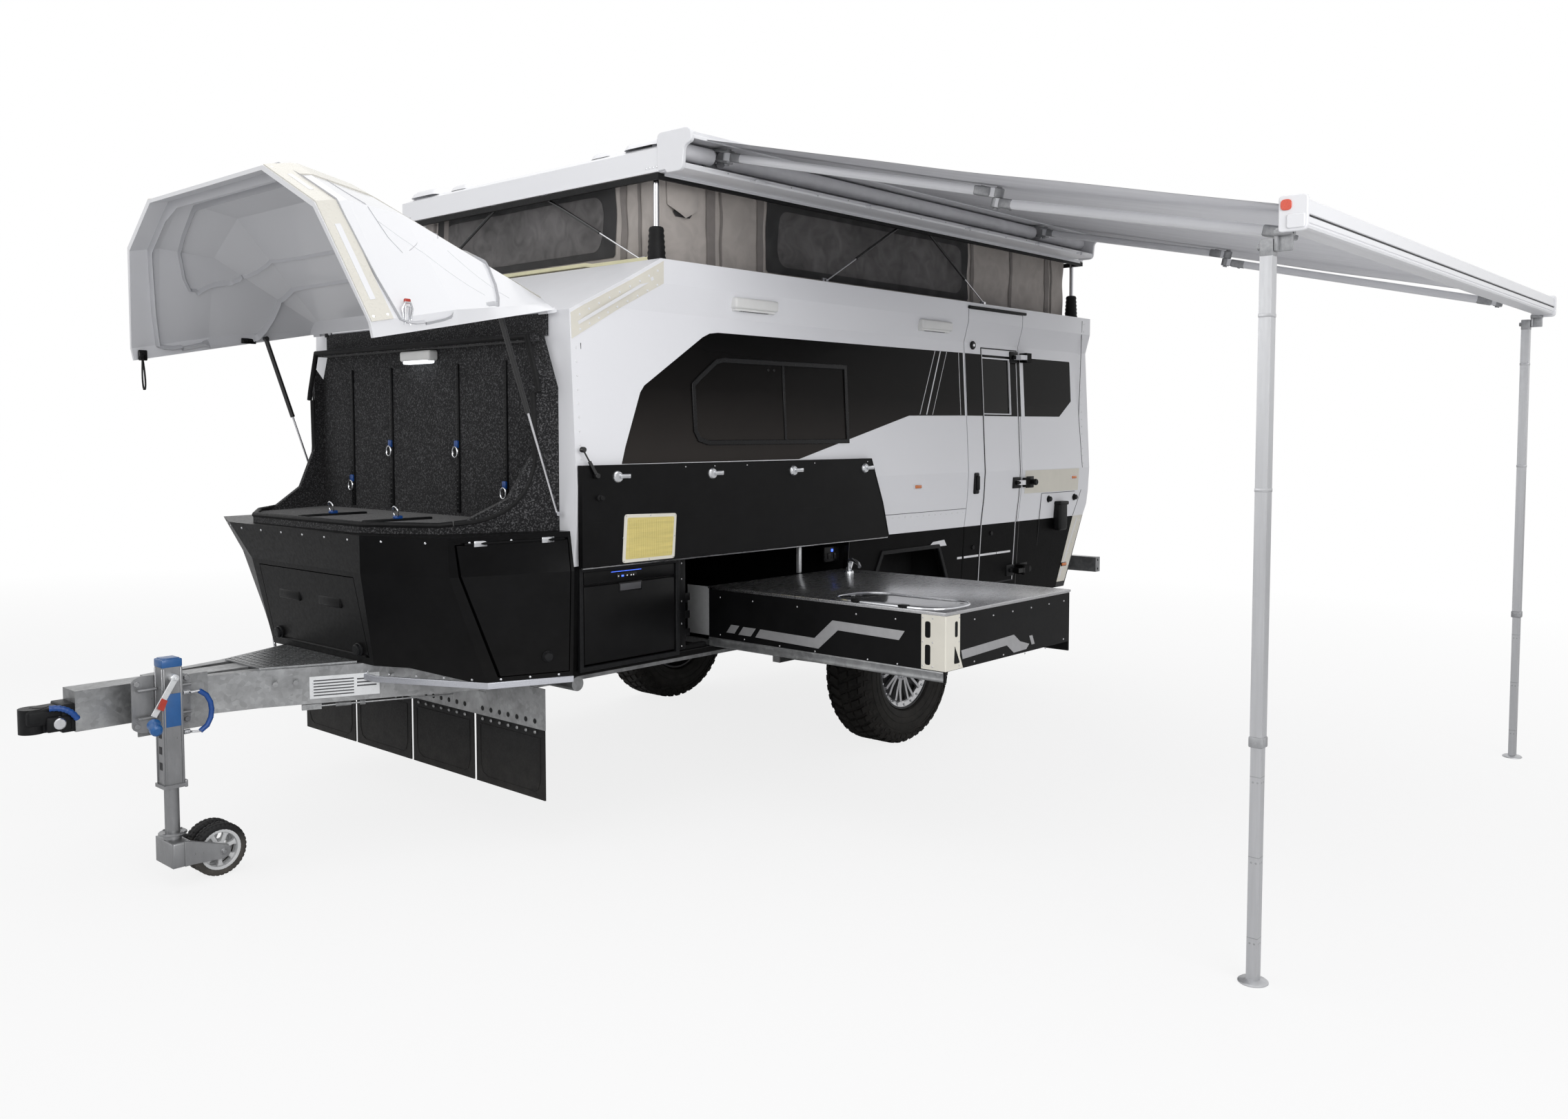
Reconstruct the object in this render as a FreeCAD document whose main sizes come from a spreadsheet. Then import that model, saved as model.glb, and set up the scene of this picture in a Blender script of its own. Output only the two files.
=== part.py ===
import FreeCAD
import Part
import Sketcher
import os
import re

# Off-road caravan standing on its jack with the roof up, the awning out and the kitchen pulled out.
# +X points forward, +Y to the kerb side, +Z up. The origin is the centre of the coupling's pin bore.
# Outlines are drawn with heights above the ground, and every sub-part is lowered by coupling_height.

SIZES = [
    # Drawbar and coupling
    ("coupling_height", 660), ("coupling_bore", 17.8), ("coupling_pin_sleeve", 32), ("coupling_depth", 90),
    ("beam_front", 115), ("beam_half", 60), ("beam_wall", 5),
    ("frame_top", 755), ("frame_depth", 150), ("arm_start", 400), ("arm_bend", 750),
    ("arm_bend_half", 180), ("arm_end", 1600), ("arm_width", 60), ("arm_end_half", 560), ("deck_front", 760), ("deck_back", 1102), ("deck_thick", 5),
    # Main rails and what they carry
    ("front", 1648), ("rail_back", 6230), ("rail_half", 510), ("rail_width", 60),
    ("rail_top", 699), ("rail_depth", 138), ("cross_width", 60), ("cross_depth", 90), ("cross_start", 150), ("cross_pitch", 950), ("pipe_radius", 30),
    ("rear_bar_x", 6285), ("rear_bar_thick", 60), ("rear_bar_half", 950), ("rear_bar_top", 845),
    ("rear_bar_depth", 100), ("bar_plate", 8), ("bar_hole", 8), ("bar_hole_pitch", 60),
    ("flap_bar_x", 1535), ("flap_bar_top", 669), ("flap_bar_low", 500), ("flap_bar_step", 4), ("flap_bar_thick", 5),
    ("flap_width", 470), ("flap_pitch", 490), ("flap_bottom", 210), ("flap_top", 520), ("flap_thick", 6),
    ("flap_round", 60),
    # Cabin walls
    ("body_length", 4292), ("wall", 30), ("floor_base", 700), ("floor_thick", 25),
    ("stripe_height", 1156), ("tuck_height", 1320), ("bulge_height", 1470), ("eave_low", 2215),
    ("eave_height", 2335), ("wall_top", 2440), ("base_half", 995), ("stripe_half", 1022),
    ("tuck_half", 1042), ("bulge_half", 1050), ("eave_low_half", 1010), ("eave_half", 1042),
    ("front_edge", 2193), ("slope_run", 471), ("slope_wall", 34), ("departure", 1230), ("departure_run", 225),
    # Side openings, measured back from the front of the body
    ("window_start", 673), ("window_end", 1749), ("window_low", 1655), ("window_high", 2026),
    ("window_cut", 172), ("window_drop", 118), ("window_heel", 62), ("window_rise", 38), ("window_thick", 12),
    ("door_start", 2847), ("door_width", 598), ("door_sill", 730), ("door_head", 2410), ("door_gap", 8),
    ("door_pane_start", 185), ("door_pane_width", 300), ("door_pane_low", 1810), ("door_pane_high", 2130),
    ("bay_low", 726), ("bay_high", 1140), ("fridge_start", 36), ("fridge_width", 552),
    ("kitchen_start", 600), ("kitchen_width", 1190),
    ("hinge_radius", 9), ("hinge_pin", 6), ("hinge_half", 14), ("hinge_outer", 28), ("hinge_stand", 14),
    ("hinge_high", 2150), ("hinge_mid", 1395), ("hinge_low", 860), ("leaf", 50), ("running", 0.05),
    # Axle, wheels and arches
    ("axle_back", 2303), ("axle_height", 415), ("track_half", 900), ("tyre_radius", 415), ("tyre_width", 285),
    ("rim_radius", 225), ("rim_width", 220), ("hub_radius", 75), ("stub_radius", 30), ("dish", 60),
    ("arch_foot_front", 400), ("arch_top_front", 240), ("arch_top_rear", 300), ("arch_foot_rear", 480),
    ("arch_height", 1050), ("tub_inner", 700), ("tub_wall", 4), ("tub_rise", 30),
    ("swing_arm", 470), ("swing_pivot_height", 520), ("swing_half", 590), ("swing_width", 60),
    # Front box, boot and lid
    ("box_low_mid", 950), ("box_crease", 1140), ("ledge", 1300), ("box_wall", 20), ("box_centre", 755),
    ("box_side_low", 1014), ("box_side_mid", 1030), ("box_side_top", 1005),
    ("corner_x_low", 1331), ("corner_y_low", 881), ("nose_x_low", 1115), ("nose_y_low", 420),
    ("corner_x_mid", 1175), ("corner_y_mid", 860), ("nose_x_mid", 1030), ("nose_y_mid", 460),
    ("corner_x_top", 1121), ("corner_y_top", 935), ("nose_x_top", 975), ("nose_y_top", 555),
    ("box_rise_inner", 575), ("box_rise_outer", 880), ("panel_gap", 4), ("barrel", 6),
    ("drop_low", 790), ("drop_high", 1120), ("drop_half", 400), ("side_low", 730), ("side_high", 1272), ("side_margin", 12),
    ("side_edge", 35), ("side_inner", 825),
    ("tub_floor", 30), ("tub_board", 24), ("tub_half", 938), ("tub_bend_x", 1200), ("tub_bend_y", 750),
    ("tub_nose_x", 1035), ("tub_nose_y", 450), ("tub_top", 2095), ("tub_chamfer", 88), ("tub_shoulder", 1880), ("tub_rim", 60), ("tub_curve", 300),
    ("lid_hinge_x", 1635), ("lid_hinge_height", 2190), ("lid_open", 79), ("lid_wall", 15),
    ("lid_seat", 880), ("lid_rear", 5), ("lid_half", 1035), ("lid_square", 60),
    ("lid_knee_x", 493), ("lid_knee_y", 820), ("lid_nose_x", 662), ("lid_nose_y", 510),
    ("lid_lip", 128), ("lid_bend", 354), ("lid_bend_knee_x", 430), ("lid_bend_knee_y", 800),
    ("lid_bend_nose_x", 573), ("lid_bend_nose_y", 500), ("lid_top", 25), ("lid_top_half", 930),
    ("lid_pin", 8), ("lid_ear", 60), ("lid_pin_y", 880), ("lid_lug", 24), ("lid_lug_gap", 2),
    ("header_thick", 16), ("lid_stud", 20), ("stud_radius", 7),
    # Gas struts of the lid, in the lid's open place
    ("strut_y", 953), ("lid_strut_x", 1357), ("lid_strut_z", 2155), ("lid_eye_x", 1622), ("lid_eye_z", 1370),
    ("strut_tube", 11), ("strut_rod", 5), ("strut_clear", 0.1), ("eye_radius", 11), ("eye_small", 9), ("eye_half", 8), ("lid_eye_half", 12),
    ("lid_tube_length", 400), ("lid_rod_in", 70),
    # Roof, posts and tent
    ("roof_low", 2815), ("roof_height", 130), ("roof_front", 2145), ("roof_back", 5900), ("roof_half", 1000),
    ("roof_wall", 22), ("roof_rim", 10), ("roof_bevel", 60), ("post_front", 2185), ("post_back", 5860), ("post_half", 945),
    ("post_radius", 13), ("post_low", 2050), ("sleeve_bore", 13.3), ("sleeve_radius", 22), ("sleeve_low", 1630),
    ("boot_radius", 24), ("boot_height", 75), ("tent_front", 2205), ("tent_back", 5850), ("tent_half", 920),
    ("tent_thick", 5), ("ring_low", 2405), ("ring_thick", 9.5), ("ring_lip", 20), ("soft_gap", 0.3),
    # Gas struts of the roof
    ("roof_strut_y", 978), ("roof_strut_x", 2172), ("roof_strut_tail", 5878), ("lug_half", 15), ("lug_thick", 9),
    ("side_tube_front", 3921), ("side_tube_back", 4181), ("side_rod_front", 3302), ("side_rod_back", 4755),
    ("end_tube", 200), ("end_rod", 860), ("roof_strut_high", 2800), ("roof_strut_low", 2456),
    ("roof_tube", 7.5), ("roof_rod", 4), ("roof_tube_length", 430), ("end_tube_length", 430), ("roof_rod_in", 60),
    # Awning
    ("case_front", 2155), ("case_back", 5757), ("case_low", 2825), ("case_height", 130), ("case_depth", 200),
    ("case_wall", 4), ("shoulder_y", 1130), ("shoulder_z", 2885), ("tip_y", 3575), ("slope", 12.69),
    ("arm_reach", 2506.12), ("arm_lean", 250), ("arm_half", 19), ("arm_thick", 34), ("arm_gap", 2),
    ("arm_pin", 8), ("cheek", 6), ("shoulder_front", 2435), ("shoulder_back", 5185), ("fabric_thick", 3),
    ("lead_front", 2215), ("lead_back", 5835), ("lead_y", 3620), ("lead_depth", 65), ("lead_low", 2300),
    ("lead_height", 80), ("leg_y", 3570), ("leg_front", 2245), ("leg_back", 5815), ("leg_pivot", 2255),
    ("leg_half", 19), ("leg_wall", 2), ("leg_outer_low", 740), ("leg_inner_half", 16.5), ("leg_overlap", 250),
    ("foot_half", 40), ("foot_thick", 8), ("leg_pin", 6),
    # Kitchen drawer, fridge and hatch
    ("drawer_front", 807), ("drawer_width", 975), ("drawer_low", 770), ("drawer_top", 1000),
    ("drawer_out", 2280), ("drawer_length", 1290), ("drawer_stroke", 1260), ("drawer_wall", 15),
    ("slide_height", 24), ("slide_thick", 10), ("slide_gap", 0.4), ("slide_low", 728), ("slide_length", 1250),
    ("slide_end", 960), ("top_thick", 12), ("sink_depth", 60), ("fridge_depth", 520),
    ("hatch_thick", 25), ("hatch_low", 1153), ("hatch_crease", 1333),
    ("hatch_high", 1566), ("hatch_front", 5), ("hatch_back_low", 2059), ("hatch_back_mid", 2007),
    ("hatch_back_high", 1908),
    # Jack
    ("jack_x", 390), ("jack_y", 200), ("jack_half", 35), ("jack_low", 370), ("jack_high", 843),
    ("jack_bore", 26), ("jack_leg_low", 175), ("jack_leg_high", 650), ("jack_pivot", 670), ("jack_hub", 30),
    ("jack_plate_front", 300), ("jack_plate_back", 560), ("jack_plate_low", 565), ("jack_plate_high", 775),
    ("jack_plate_thick", 8), ("jack_seat", 134), ("spacer_length", 68), ("swing_pin", 8), ("stem_radius", 14), ("stem_high", 240), ("trail", 155), ("jockey_radius", 102),
    ("jockey_width", 45), ("jockey_gap", 24), ("fork_half", 76), ("fork_thick", 5), ("fork_height", 90),
    ("jockey_pin", 8),
]

doc = FreeCAD.newDocument("caravan")
dims = doc.addObject("Spreadsheet::Sheet", "Dims")
for row, (alias, value) in enumerate(SIZES, start=1):
    dims.set("A%d" % row, alias)
    dims.set("B%d" % row, str(value))
    dims.setAlias("B%d" % row, alias)
doc.recompute()

ALIASES = {alias for alias, value in SIZES}
WORD = re.compile(r"[a-z][a-z_0-9]*")
SUBPARTS = []


def link(text):
    """Turn the size names in a formula into references to the sheet."""
    return WORD.sub(lambda word: "Dims." + word.group() if word.group() in ALIASES else word.group(), text)


def size(text):
    """Value of a formula of size names."""
    return float(dims.evalExpression(link(text)))


def bind(thing, name, text):
    thing.setExpression(name, link(text))


def seat(thing, x="0", y="0", z="0", turns=()):
    """Place a thing by formulas: turns are (axis, degrees) pairs, the last one applied first."""
    spins = ["rotation(vector(%s); %s)" % turn for turn in turns] or ["rotation(vector(0; 0; 1); 0)"]
    bind(thing, "Placement", "placement(vector(%s; %s; %s); %s)" % (x, y, z, " * ".join(spins)))


def subpart(label, thing, x="0", y="0", z="0", turns=()):
    """Name a finished sub-part and lower it from ground heights to the coupling's frame."""
    thing.Label = label
    seat(thing, x, y, "%s - coupling_height" % z, turns)
    SUBPARTS.append(thing)
    return thing


def new_body(name):
    return doc.addObject("PartDesign::Body", name)


def attach(body, name, role, at):
    """Empty sketch on one of the body's own planes, moved along that plane's axis to the place at."""
    plane = [item for item in body.Origin.OriginFeatures if item.Role == role + "_Plane"][0]
    sketch = body.newObject("Sketcher::SketchObject", name)
    sketch.AttachmentSupport = (plane, [""])
    sketch.MapMode = "FlatFace"
    sign = "-" if role == "XZ" else ""
    bind(sketch, "AttachmentOffset.Base.z", "%s(%s)" % (sign, at))
    return sketch


def pin_point(sketch, index, position, u, v):
    """Tie one point of a sketch to two formulas."""
    for kind, text in (("DistanceX", u), ("DistanceY", v)):
        number = sketch.addConstraint(Sketcher.Constraint(kind, -1, 1, index, position, size(text)))
        bind(sketch, "Constraints[%d]" % number, text)


def add_polygon(sketch, points):
    first = sketch.GeometryCount
    corners = [FreeCAD.Vector(size(u), size(v), 0) for u, v in points]
    count = len(points)
    for i in range(count):
        sketch.addGeometry(Part.LineSegment(corners[i], corners[(i + 1) % count]))
    for i in range(count):
        following = first + (i + 1) % count
        sketch.addConstraint(Sketcher.Constraint("Coincident", first + i, 2, following, 1))
    for i, (u, v) in enumerate(points):
        pin_point(sketch, first + i, 1, u, v)


def add_circle(sketch, u, v, radius):
    centre = FreeCAD.Vector(size(u), size(v), 0)
    index = sketch.addGeometry(Part.Circle(centre, FreeCAD.Vector(0, 0, 1), size(radius)))
    pin_point(sketch, index, 3, u, v)
    number = sketch.addConstraint(Sketcher.Constraint("Radius", index, size(radius)))
    bind(sketch, "Constraints[%d]" % number, radius)


def outline(body, name, role, at, points):
    sketch = attach(body, name, role, at)
    add_polygon(sketch, points)
    return sketch


def circle(body, name, role, at, u, v, radius):
    sketch = attach(body, name, role, at)
    add_circle(sketch, u, v, radius)
    return sketch


def pad(body, sketch, length, middle=False):
    """Extrude a sketch towards +X, +Y or +Z, or half to each side."""
    feature = body.newObject("PartDesign::Pad", sketch.Name + "Pad")
    feature.Profile = sketch
    bind(feature, "Length", length)
    feature.Midplane = middle
    feature.Reversed = not middle and "XZ" in sketch.AttachmentSupport[0][0].Role
    sketch.Visibility = False
    return feature


def cut(body, sketch, length):
    """Pocket half to each side of the sketch."""
    feature = body.newObject("PartDesign::Pocket", sketch.Name + "Cut")
    feature.Profile = sketch
    bind(feature, "Length", length)
    feature.Midplane = True
    return feature


def plate(name, role, at, points, length, middle=False):
    """Body made of one extruded outline."""
    body = new_body(name)
    pad(body, outline(body, name + "Outline", role, at, points), length, middle)
    return body


def loft(body, sketches, kind="Additive"):
    feature = body.newObject("PartDesign::%sLoft" % kind, sketches[0].Name + "Loft")
    feature.Profile = sketches[0]
    feature.Sections = [(sketch, [""]) for sketch in sketches[1:]]
    feature.Ruled = True
    return feature


def turned(body, sketch, axis, kind="Revolution"):
    """Full turn of a sketch about a named axis of the body's origin."""
    line = [item for item in body.Origin.OriginFeatures if item.Role == axis + "_Axis"][0]
    feature = body.newObject("PartDesign::" + kind, sketch.Name + kind)
    feature.Profile = sketch
    feature.ReferenceAxis = (line, [""])
    feature.Angle = 360
    return feature


def block(name, x, y, z, length, width, height):
    thing = doc.addObject("Part::Box", name)
    bind(thing, "Length", length)
    bind(thing, "Width", width)
    bind(thing, "Height", height)
    seat(thing, x, y, z)
    return thing


TURNS = {"z": (), "x": (("0; 1; 0", "90"),), "y": (("1; 0; 0", "-90"),)}


def rod(name, axis, x, y, z, radius, length):
    """Cylinder from a point towards +X, +Y or +Z."""
    thing = doc.addObject("Part::Cylinder", name)
    bind(thing, "Radius", radius)
    bind(thing, "Height", length)
    seat(thing, x, y, z, TURNS[axis])
    return thing


def fuse(name, shapes):
    thing = doc.addObject("Part::MultiFuse", name)
    thing.Shapes = shapes
    thing.Refine = True
    return thing


def minus(name, base, tool):
    thing = doc.addObject("Part::Cut", name)
    thing.Base = base
    thing.Tool = tool
    return thing


def common(name, first, second):
    thing = doc.addObject("Part::MultiCommon", name)
    thing.Shapes = [first, second]
    return thing


def signed(side, text):
    return text if side > 0 else "-(%s)" % text


def mirrored(points):
    """Half outline from rear to nose at +Y, closed by its mirror image."""
    return points + [(u, "-(%s)" % v) for u, v in reversed(points)]


SIDES = (("left", 1), ("right", -1))

# Outer half section of the cabin from skirt to roof edge, as half width and height
SECTION = [("base_half", "floor_base"), ("stripe_half", "stripe_height"), ("tuck_half", "tuck_height"),
           ("bulge_half", "bulge_height"), ("eave_low_half", "eave_low"), ("eave_half", "eave_height"),
           ("eave_half", "wall_top")]


def wall_band(side):
    """Section through one side wall."""
    outer = [(signed(side, u), v) for u, v in SECTION]
    inner = [(signed(side, u + " - wall"), v) for u, v in reversed(SECTION)]
    return outer + inner


def cabin_core(name, at, length):
    """Solid that fills the cabin between the side walls over a stretch of its length."""
    right = [("-(%s - wall)" % u, v) for u, v in reversed(SECTION)]
    left = [("%s - wall" % u, v) for u, v in SECTION]
    return plate(name, "YZ", at, left + right, length)


def jack_mount():
    """Plate, spacer, hub and pin that hold the jack beside the nose beam."""
    face = "jack_y - jack_half - 2"
    return [block("JackPlate", "-jack_plate_back", "jack_seat", "jack_plate_low",
                  "jack_plate_back - jack_plate_front", "jack_plate_thick", "jack_plate_high - jack_plate_low"),
            block("JackSpacer", "-arm_start + 2", "beam_half", "frame_top - frame_depth", "spacer_length",
                  "jack_seat - beam_half", "frame_depth"),
            rod("JackPivot", "y", "-jack_x", "jack_seat", "jack_pivot", "jack_hub", "%s - jack_seat" % face),
            rod("JackPin", "y", "-jack_x", "jack_seat", "jack_pivot", "swing_pin", "%s - jack_seat + 5" % face)]


def make_chassis():
    """Galvanised drawbar, main rails, cross members, rear bar and jack mount, welded in one."""
    base = "frame_top - frame_depth"
    rails = [block("NoseBeam", "-deck_front", "-beam_half", base, "deck_front - beam_front",
                   "2 * beam_half", "frame_depth")]
    for name, side in SIDES:
        arm = [("-arm_start", signed(side, "beam_half - 1")),
               ("-arm_bend", signed(side, "arm_bend_half - arm_width")),
               ("-arm_end", signed(side, "arm_end_half - arm_width")),
               ("-arm_end", signed(side, "arm_end_half")),
               ("-arm_bend", signed(side, "arm_bend_half")),
               ("-arm_start", signed(side, "beam_half + arm_width / 2"))]
        rails.append(plate("Arm" + name, "XY", base, arm, "frame_depth"))
        inner = "rail_half - rail_width" if side > 0 else "-rail_half"
        rails.append(block("Rail" + name, "-rail_back", inner, "rail_top - rail_depth",
                           "rail_back - flap_bar_x", "rail_width", "rail_depth"))
        rails.append(block("RearPost" + name, "-rear_bar_x", inner, "rail_top - rail_depth",
                           "rear_bar_thick", "rail_width", "rear_bar_top - rail_top + rail_depth"))
        for number, place in enumerate(("front + 40", "front + 1300", "front + 3300")):
            start = "rail_half - 1" if side > 0 else "-base_half"
            rails.append(rod("Pipe%s%d" % (name, number), "y", "-(%s)" % place, start,
                             "rail_top - pipe_radius", "pipe_radius", "base_half - rail_half + 1"))
        end = "rear_bar_half - 1" if side > 0 else "-rear_bar_half - bar_plate"
        rails.append(block("BarPlate" + name, "-rear_bar_x", end, "rear_bar_top - rear_bar_depth",
                           "rear_bar_thick", "bar_plate + 1", "rear_bar_depth"))
    for number in range(5):
        rails.append(block("Cross%d" % number, "-front - cross_start - %d * cross_pitch" % number, "-rail_half",
                           "rail_top - cross_depth", "cross_width", "2 * rail_half", "cross_depth"))
    rear_low = "rear_bar_top - rear_bar_depth"
    rails.append(minus("RearTube", block("RearBar", "-rear_bar_x", "-rear_bar_half", rear_low, "rear_bar_thick",
                                         "2 * rear_bar_half", "rear_bar_depth"),
                       block("RearHollow", "-rear_bar_x + beam_wall", "-rear_bar_half", rear_low + " + beam_wall",
                             "rear_bar_thick - 2 * beam_wall", "2 * rear_bar_half",
                             "rear_bar_depth - 2 * beam_wall")))
    frame = fuse("ChassisWeld", rails + jack_mount())
    holes = []
    for name, side in SIDES:
        start = "rear_bar_half - 40" if side > 0 else "-rear_bar_half - bar_plate - 10"
        for number, sign in enumerate("-+"):
            height = "rear_bar_top - rear_bar_depth / 2 %s bar_hole_pitch / 2" % sign
            holes.append(rod("BarHole%s%d" % (name, number), "y", "-rear_bar_x + rear_bar_thick / 2",
                             start, height, "bar_hole", "50 + bar_plate"))
    subpart("chassis_frame", minus("Chassis", frame, fuse("BarHoles", holes)))


def make_coupling():
    """Coupling head on the nose beam, with the upright bore that takes the towing pin."""
    head = new_body("Coupling")
    arm = [("coupling_pin_sleeve - 5", "-coupling_pin_sleeve"), ("coupling_pin_sleeve - 5", "coupling_pin_sleeve"),
           ("-beam_front", "beam_half - 15"), ("-beam_front", "-beam_half + 15")]
    low = "coupling_height - coupling_depth / 2"
    pad(head, outline(head, "HeadPlan", "XY", low, arm), "coupling_depth")
    pad(head, circle(head, "Sleeve", "XY", low, "10", "0", "coupling_pin_sleeve + 12"), "coupling_depth")
    cut(head, circle(head, "PinBore", "XY", low, "0", "0", "coupling_bore"), "4 * coupling_depth")
    subpart("coupling_head", head)


def make_deck():
    """Tread plate between the drawbar's arms."""
    half_front = "beam_half + 90"
    half_back = "beam_half + 235"
    points = mirrored([("-deck_back", half_back), ("-deck_front", half_front)])
    subpart("drawbar_deck", plate("Deck", "XY", "frame_top", points, "deck_thick"))


def make_flap_bar():
    """Bar across the front of the main rails, stepped down under the drawbar's arms, with four mud flaps."""
    ends = "2 * flap_pitch"
    under = "frame_top - frame_depth - flap_bar_step"
    half = [(ends, "flap_bar_low"), (ends, "flap_bar_top"), ("arm_end_half + 60", "flap_bar_top"),
            ("arm_end_half + 20", under)]
    points = half + [("-(%s)" % u, v) for u, v in reversed(half)]
    subpart("flap_bar", plate("FlapBar", "YZ", "-flap_bar_x", points, "flap_bar_thick"))
    flaps = []
    for number in range(4):
        low = "(%d - 2) * flap_pitch + (flap_pitch - flap_width) / 2" % number
        flaps.append(block("Flap%d" % number, "-flap_bar_x - flap_thick", low, "flap_bottom", "flap_thick",
                           "flap_width", "flap_top - flap_bottom"))
    subpart("mud_flaps", fuse("Flaps", flaps))


def make_swing_arms():
    """Trailing arms with their pivot brackets and stub axles."""
    pieces = []
    for name, side in SIDES:
        low = "swing_half - swing_width / 2"
        start = low if side > 0 else "-(swing_half + swing_width / 2)"
        pivot = "-front - axle_back + swing_arm"
        arm = [(pivot, "swing_pivot_height - 45"), (pivot + " + 45", "swing_pivot_height"),
               (pivot, "swing_pivot_height + 45"), ("-front - axle_back - 60", "axle_height + 60"),
               ("-front - axle_back - 60", "axle_height - 60")]
        pieces.append(plate("SwingArm" + name, "XZ", start, arm, "swing_width"))
        bracket = "rail_half" if side > 0 else "-(swing_half - swing_width / 2 + 1)"
        pieces.append(block("SwingBracket" + name, pivot + " - 60", bracket, "swing_pivot_height - 60", "120",
                            "swing_half - swing_width / 2 - rail_half + 1", "rail_top - swing_pivot_height + 20"))
        hub = "swing_half" if side > 0 else "-(track_half + rim_width / 2)"
        pieces.append(rod("Stub" + name, "y", "-front - axle_back", hub, "axle_height", "stub_radius",
                          "track_half + rim_width / 2 - swing_half"))
        spring = "swing_half" if side > 0 else "-swing_half"
        pieces.append(rod("Spring" + name, "z", "-front - axle_back", spring, "axle_height + 40", "40",
                          "rail_top - axle_height - 40"))
        seat_start = "rail_half" if side > 0 else "-(swing_half + 40)"
        pieces.append(block("SpringSeat" + name, "-front - axle_back - 60", seat_start, "rail_top - 40", "120",
                            "swing_half + 40 - rail_half", "40"))
    subpart("suspension_arms", fuse("SwingArms", pieces))


def make_wheel(name, side):
    """Tyre and rim turned about their axle, with the dish facing outwards."""
    turn = () if side > 0 else (("0; 0; 1", "180"),)
    place = ("-front - axle_back", signed(side, "track_half"), "axle_height", turn)
    tyre = new_body("Tyre" + name)
    points = [("rim_radius", "-rim_width / 2"), ("tyre_radius - 60", "-tyre_width / 2"),
              ("tyre_radius - 20", "-tyre_width / 2 + 8"), ("tyre_radius", "-tyre_width / 2 + 30"),
              ("tyre_radius", "tyre_width / 2 - 30"), ("tyre_radius - 20", "tyre_width / 2 - 8"),
              ("tyre_radius - 60", "tyre_width / 2"), ("rim_radius", "rim_width / 2")]
    turned(tyre, outline(tyre, "TyreSection" + name, "XY", "0", points), "Y")
    subpart("tyre_" + name, tyre, *place)
    rim = new_body("Rim" + name)
    barrel = [("rim_radius - 10", "-rim_width / 2"), ("rim_radius", "-rim_width / 2"),
              ("rim_radius", "rim_width / 2"), ("rim_radius - 10", "rim_width / 2"),
              ("rim_radius - 10", "rim_width / 2 - dish + 12"), ("hub_radius", "rim_width / 2 - dish + 12"),
              ("hub_radius - 15", "rim_width / 2 - 30"), ("stub_radius + running", "rim_width / 2 - 30"),
              ("stub_radius + running", "-rim_width / 4"), ("hub_radius", "-rim_width / 4"),
              ("hub_radius", "rim_width / 2 - dish - 8"), ("rim_radius - 10", "rim_width / 2 - dish - 8")]
    turned(rim, outline(rim, "RimSection" + name, "XY", "0", barrel), "Y")
    subpart("rim_" + name, rim, *place)


def make_side_wall(name, side):
    """Side wall bent to the cabin section, with its openings cut."""
    wall = new_body("SideWall" + name)
    pad(wall, outline(wall, "WallSection" + name, "YZ", "-front - body_length", wall_band(side)), "body_length")
    middle = signed(side, "bulge_half - wall")
    through = "8 * wall"
    nose = [("-front + 5", "front_edge"), ("-front", "front_edge"), ("-front - slope_run", "wall_top"),
            ("-front - slope_run", "wall_top + 5"), ("-front + 5", "wall_top + 5")]
    cut(wall, outline(wall, "NoseSlope" + name, "XZ", middle, nose), through)
    rear = "-front - body_length"
    tail = [(rear, "departure"), (rear + " + departure_run", "floor_base"),
            (rear + " + departure_run", "floor_base - 5"), (rear + " - 5", "floor_base - 5"),
            (rear + " - 5", "departure")]
    cut(wall, outline(wall, "Departure" + name, "XZ", middle, tail), through)
    axle = "-front - axle_back"
    arch = [(axle + " + arch_foot_front", "floor_base"), (axle + " + arch_top_front", "arch_height"),
            (axle + " - arch_top_rear", "arch_height"), (axle + " - arch_foot_rear", "floor_base"),
            (axle + " - arch_foot_rear", "floor_base - 5"), (axle + " + arch_foot_front", "floor_base - 5")]
    cut(wall, outline(wall, "Arch" + name, "XZ", middle, arch), through)
    cut(wall, outline(wall, "WindowHole" + name, "XZ", middle, window_points("0")), through)
    if side > 0:
        start = "-front - door_start"
        door = [(start, "door_sill"), (start + " - door_width", "door_sill"),
                (start + " - door_width", "door_head"), (start, "door_head")]
        cut(wall, outline(wall, "DoorHole", "XZ", middle, door), through)
        for label, place, width in (("Fridge", "fridge_start", "fridge_width"),
                                    ("Kitchen", "kitchen_start", "kitchen_width")):
            start = "-front - %s" % place
            bay = [(start, "bay_low"), ("%s - %s" % (start, width), "bay_low"),
                   ("%s - %s" % (start, width), "bay_high"), (start, "bay_high")]
            cut(wall, outline(wall, label + "Hole", "XZ", middle, bay), through)
    subpart("side_wall_" + name, wall)


def window_points(inset):
    """Side window with its front corners cut off, shrunk by an inset."""
    start = "-front - window_start - %s" % inset
    end = "-front - window_end + %s" % inset
    low = "window_low + %s" % inset
    high = "window_high - %s" % inset
    return [(start, low + " + window_rise"), (start, high + " - window_drop"), (start + " - window_cut", high),
            (end, high), (end, low), (start + " - window_heel", low)]


def make_windows():
    """Panes in the side walls' window holes, one solid each side."""
    panes = [pane_in_wall("Pane" + name, side, window_points("soft_gap")) for name, side in SIDES]
    subpart("side_windows", fuse("Panes", panes))


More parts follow.
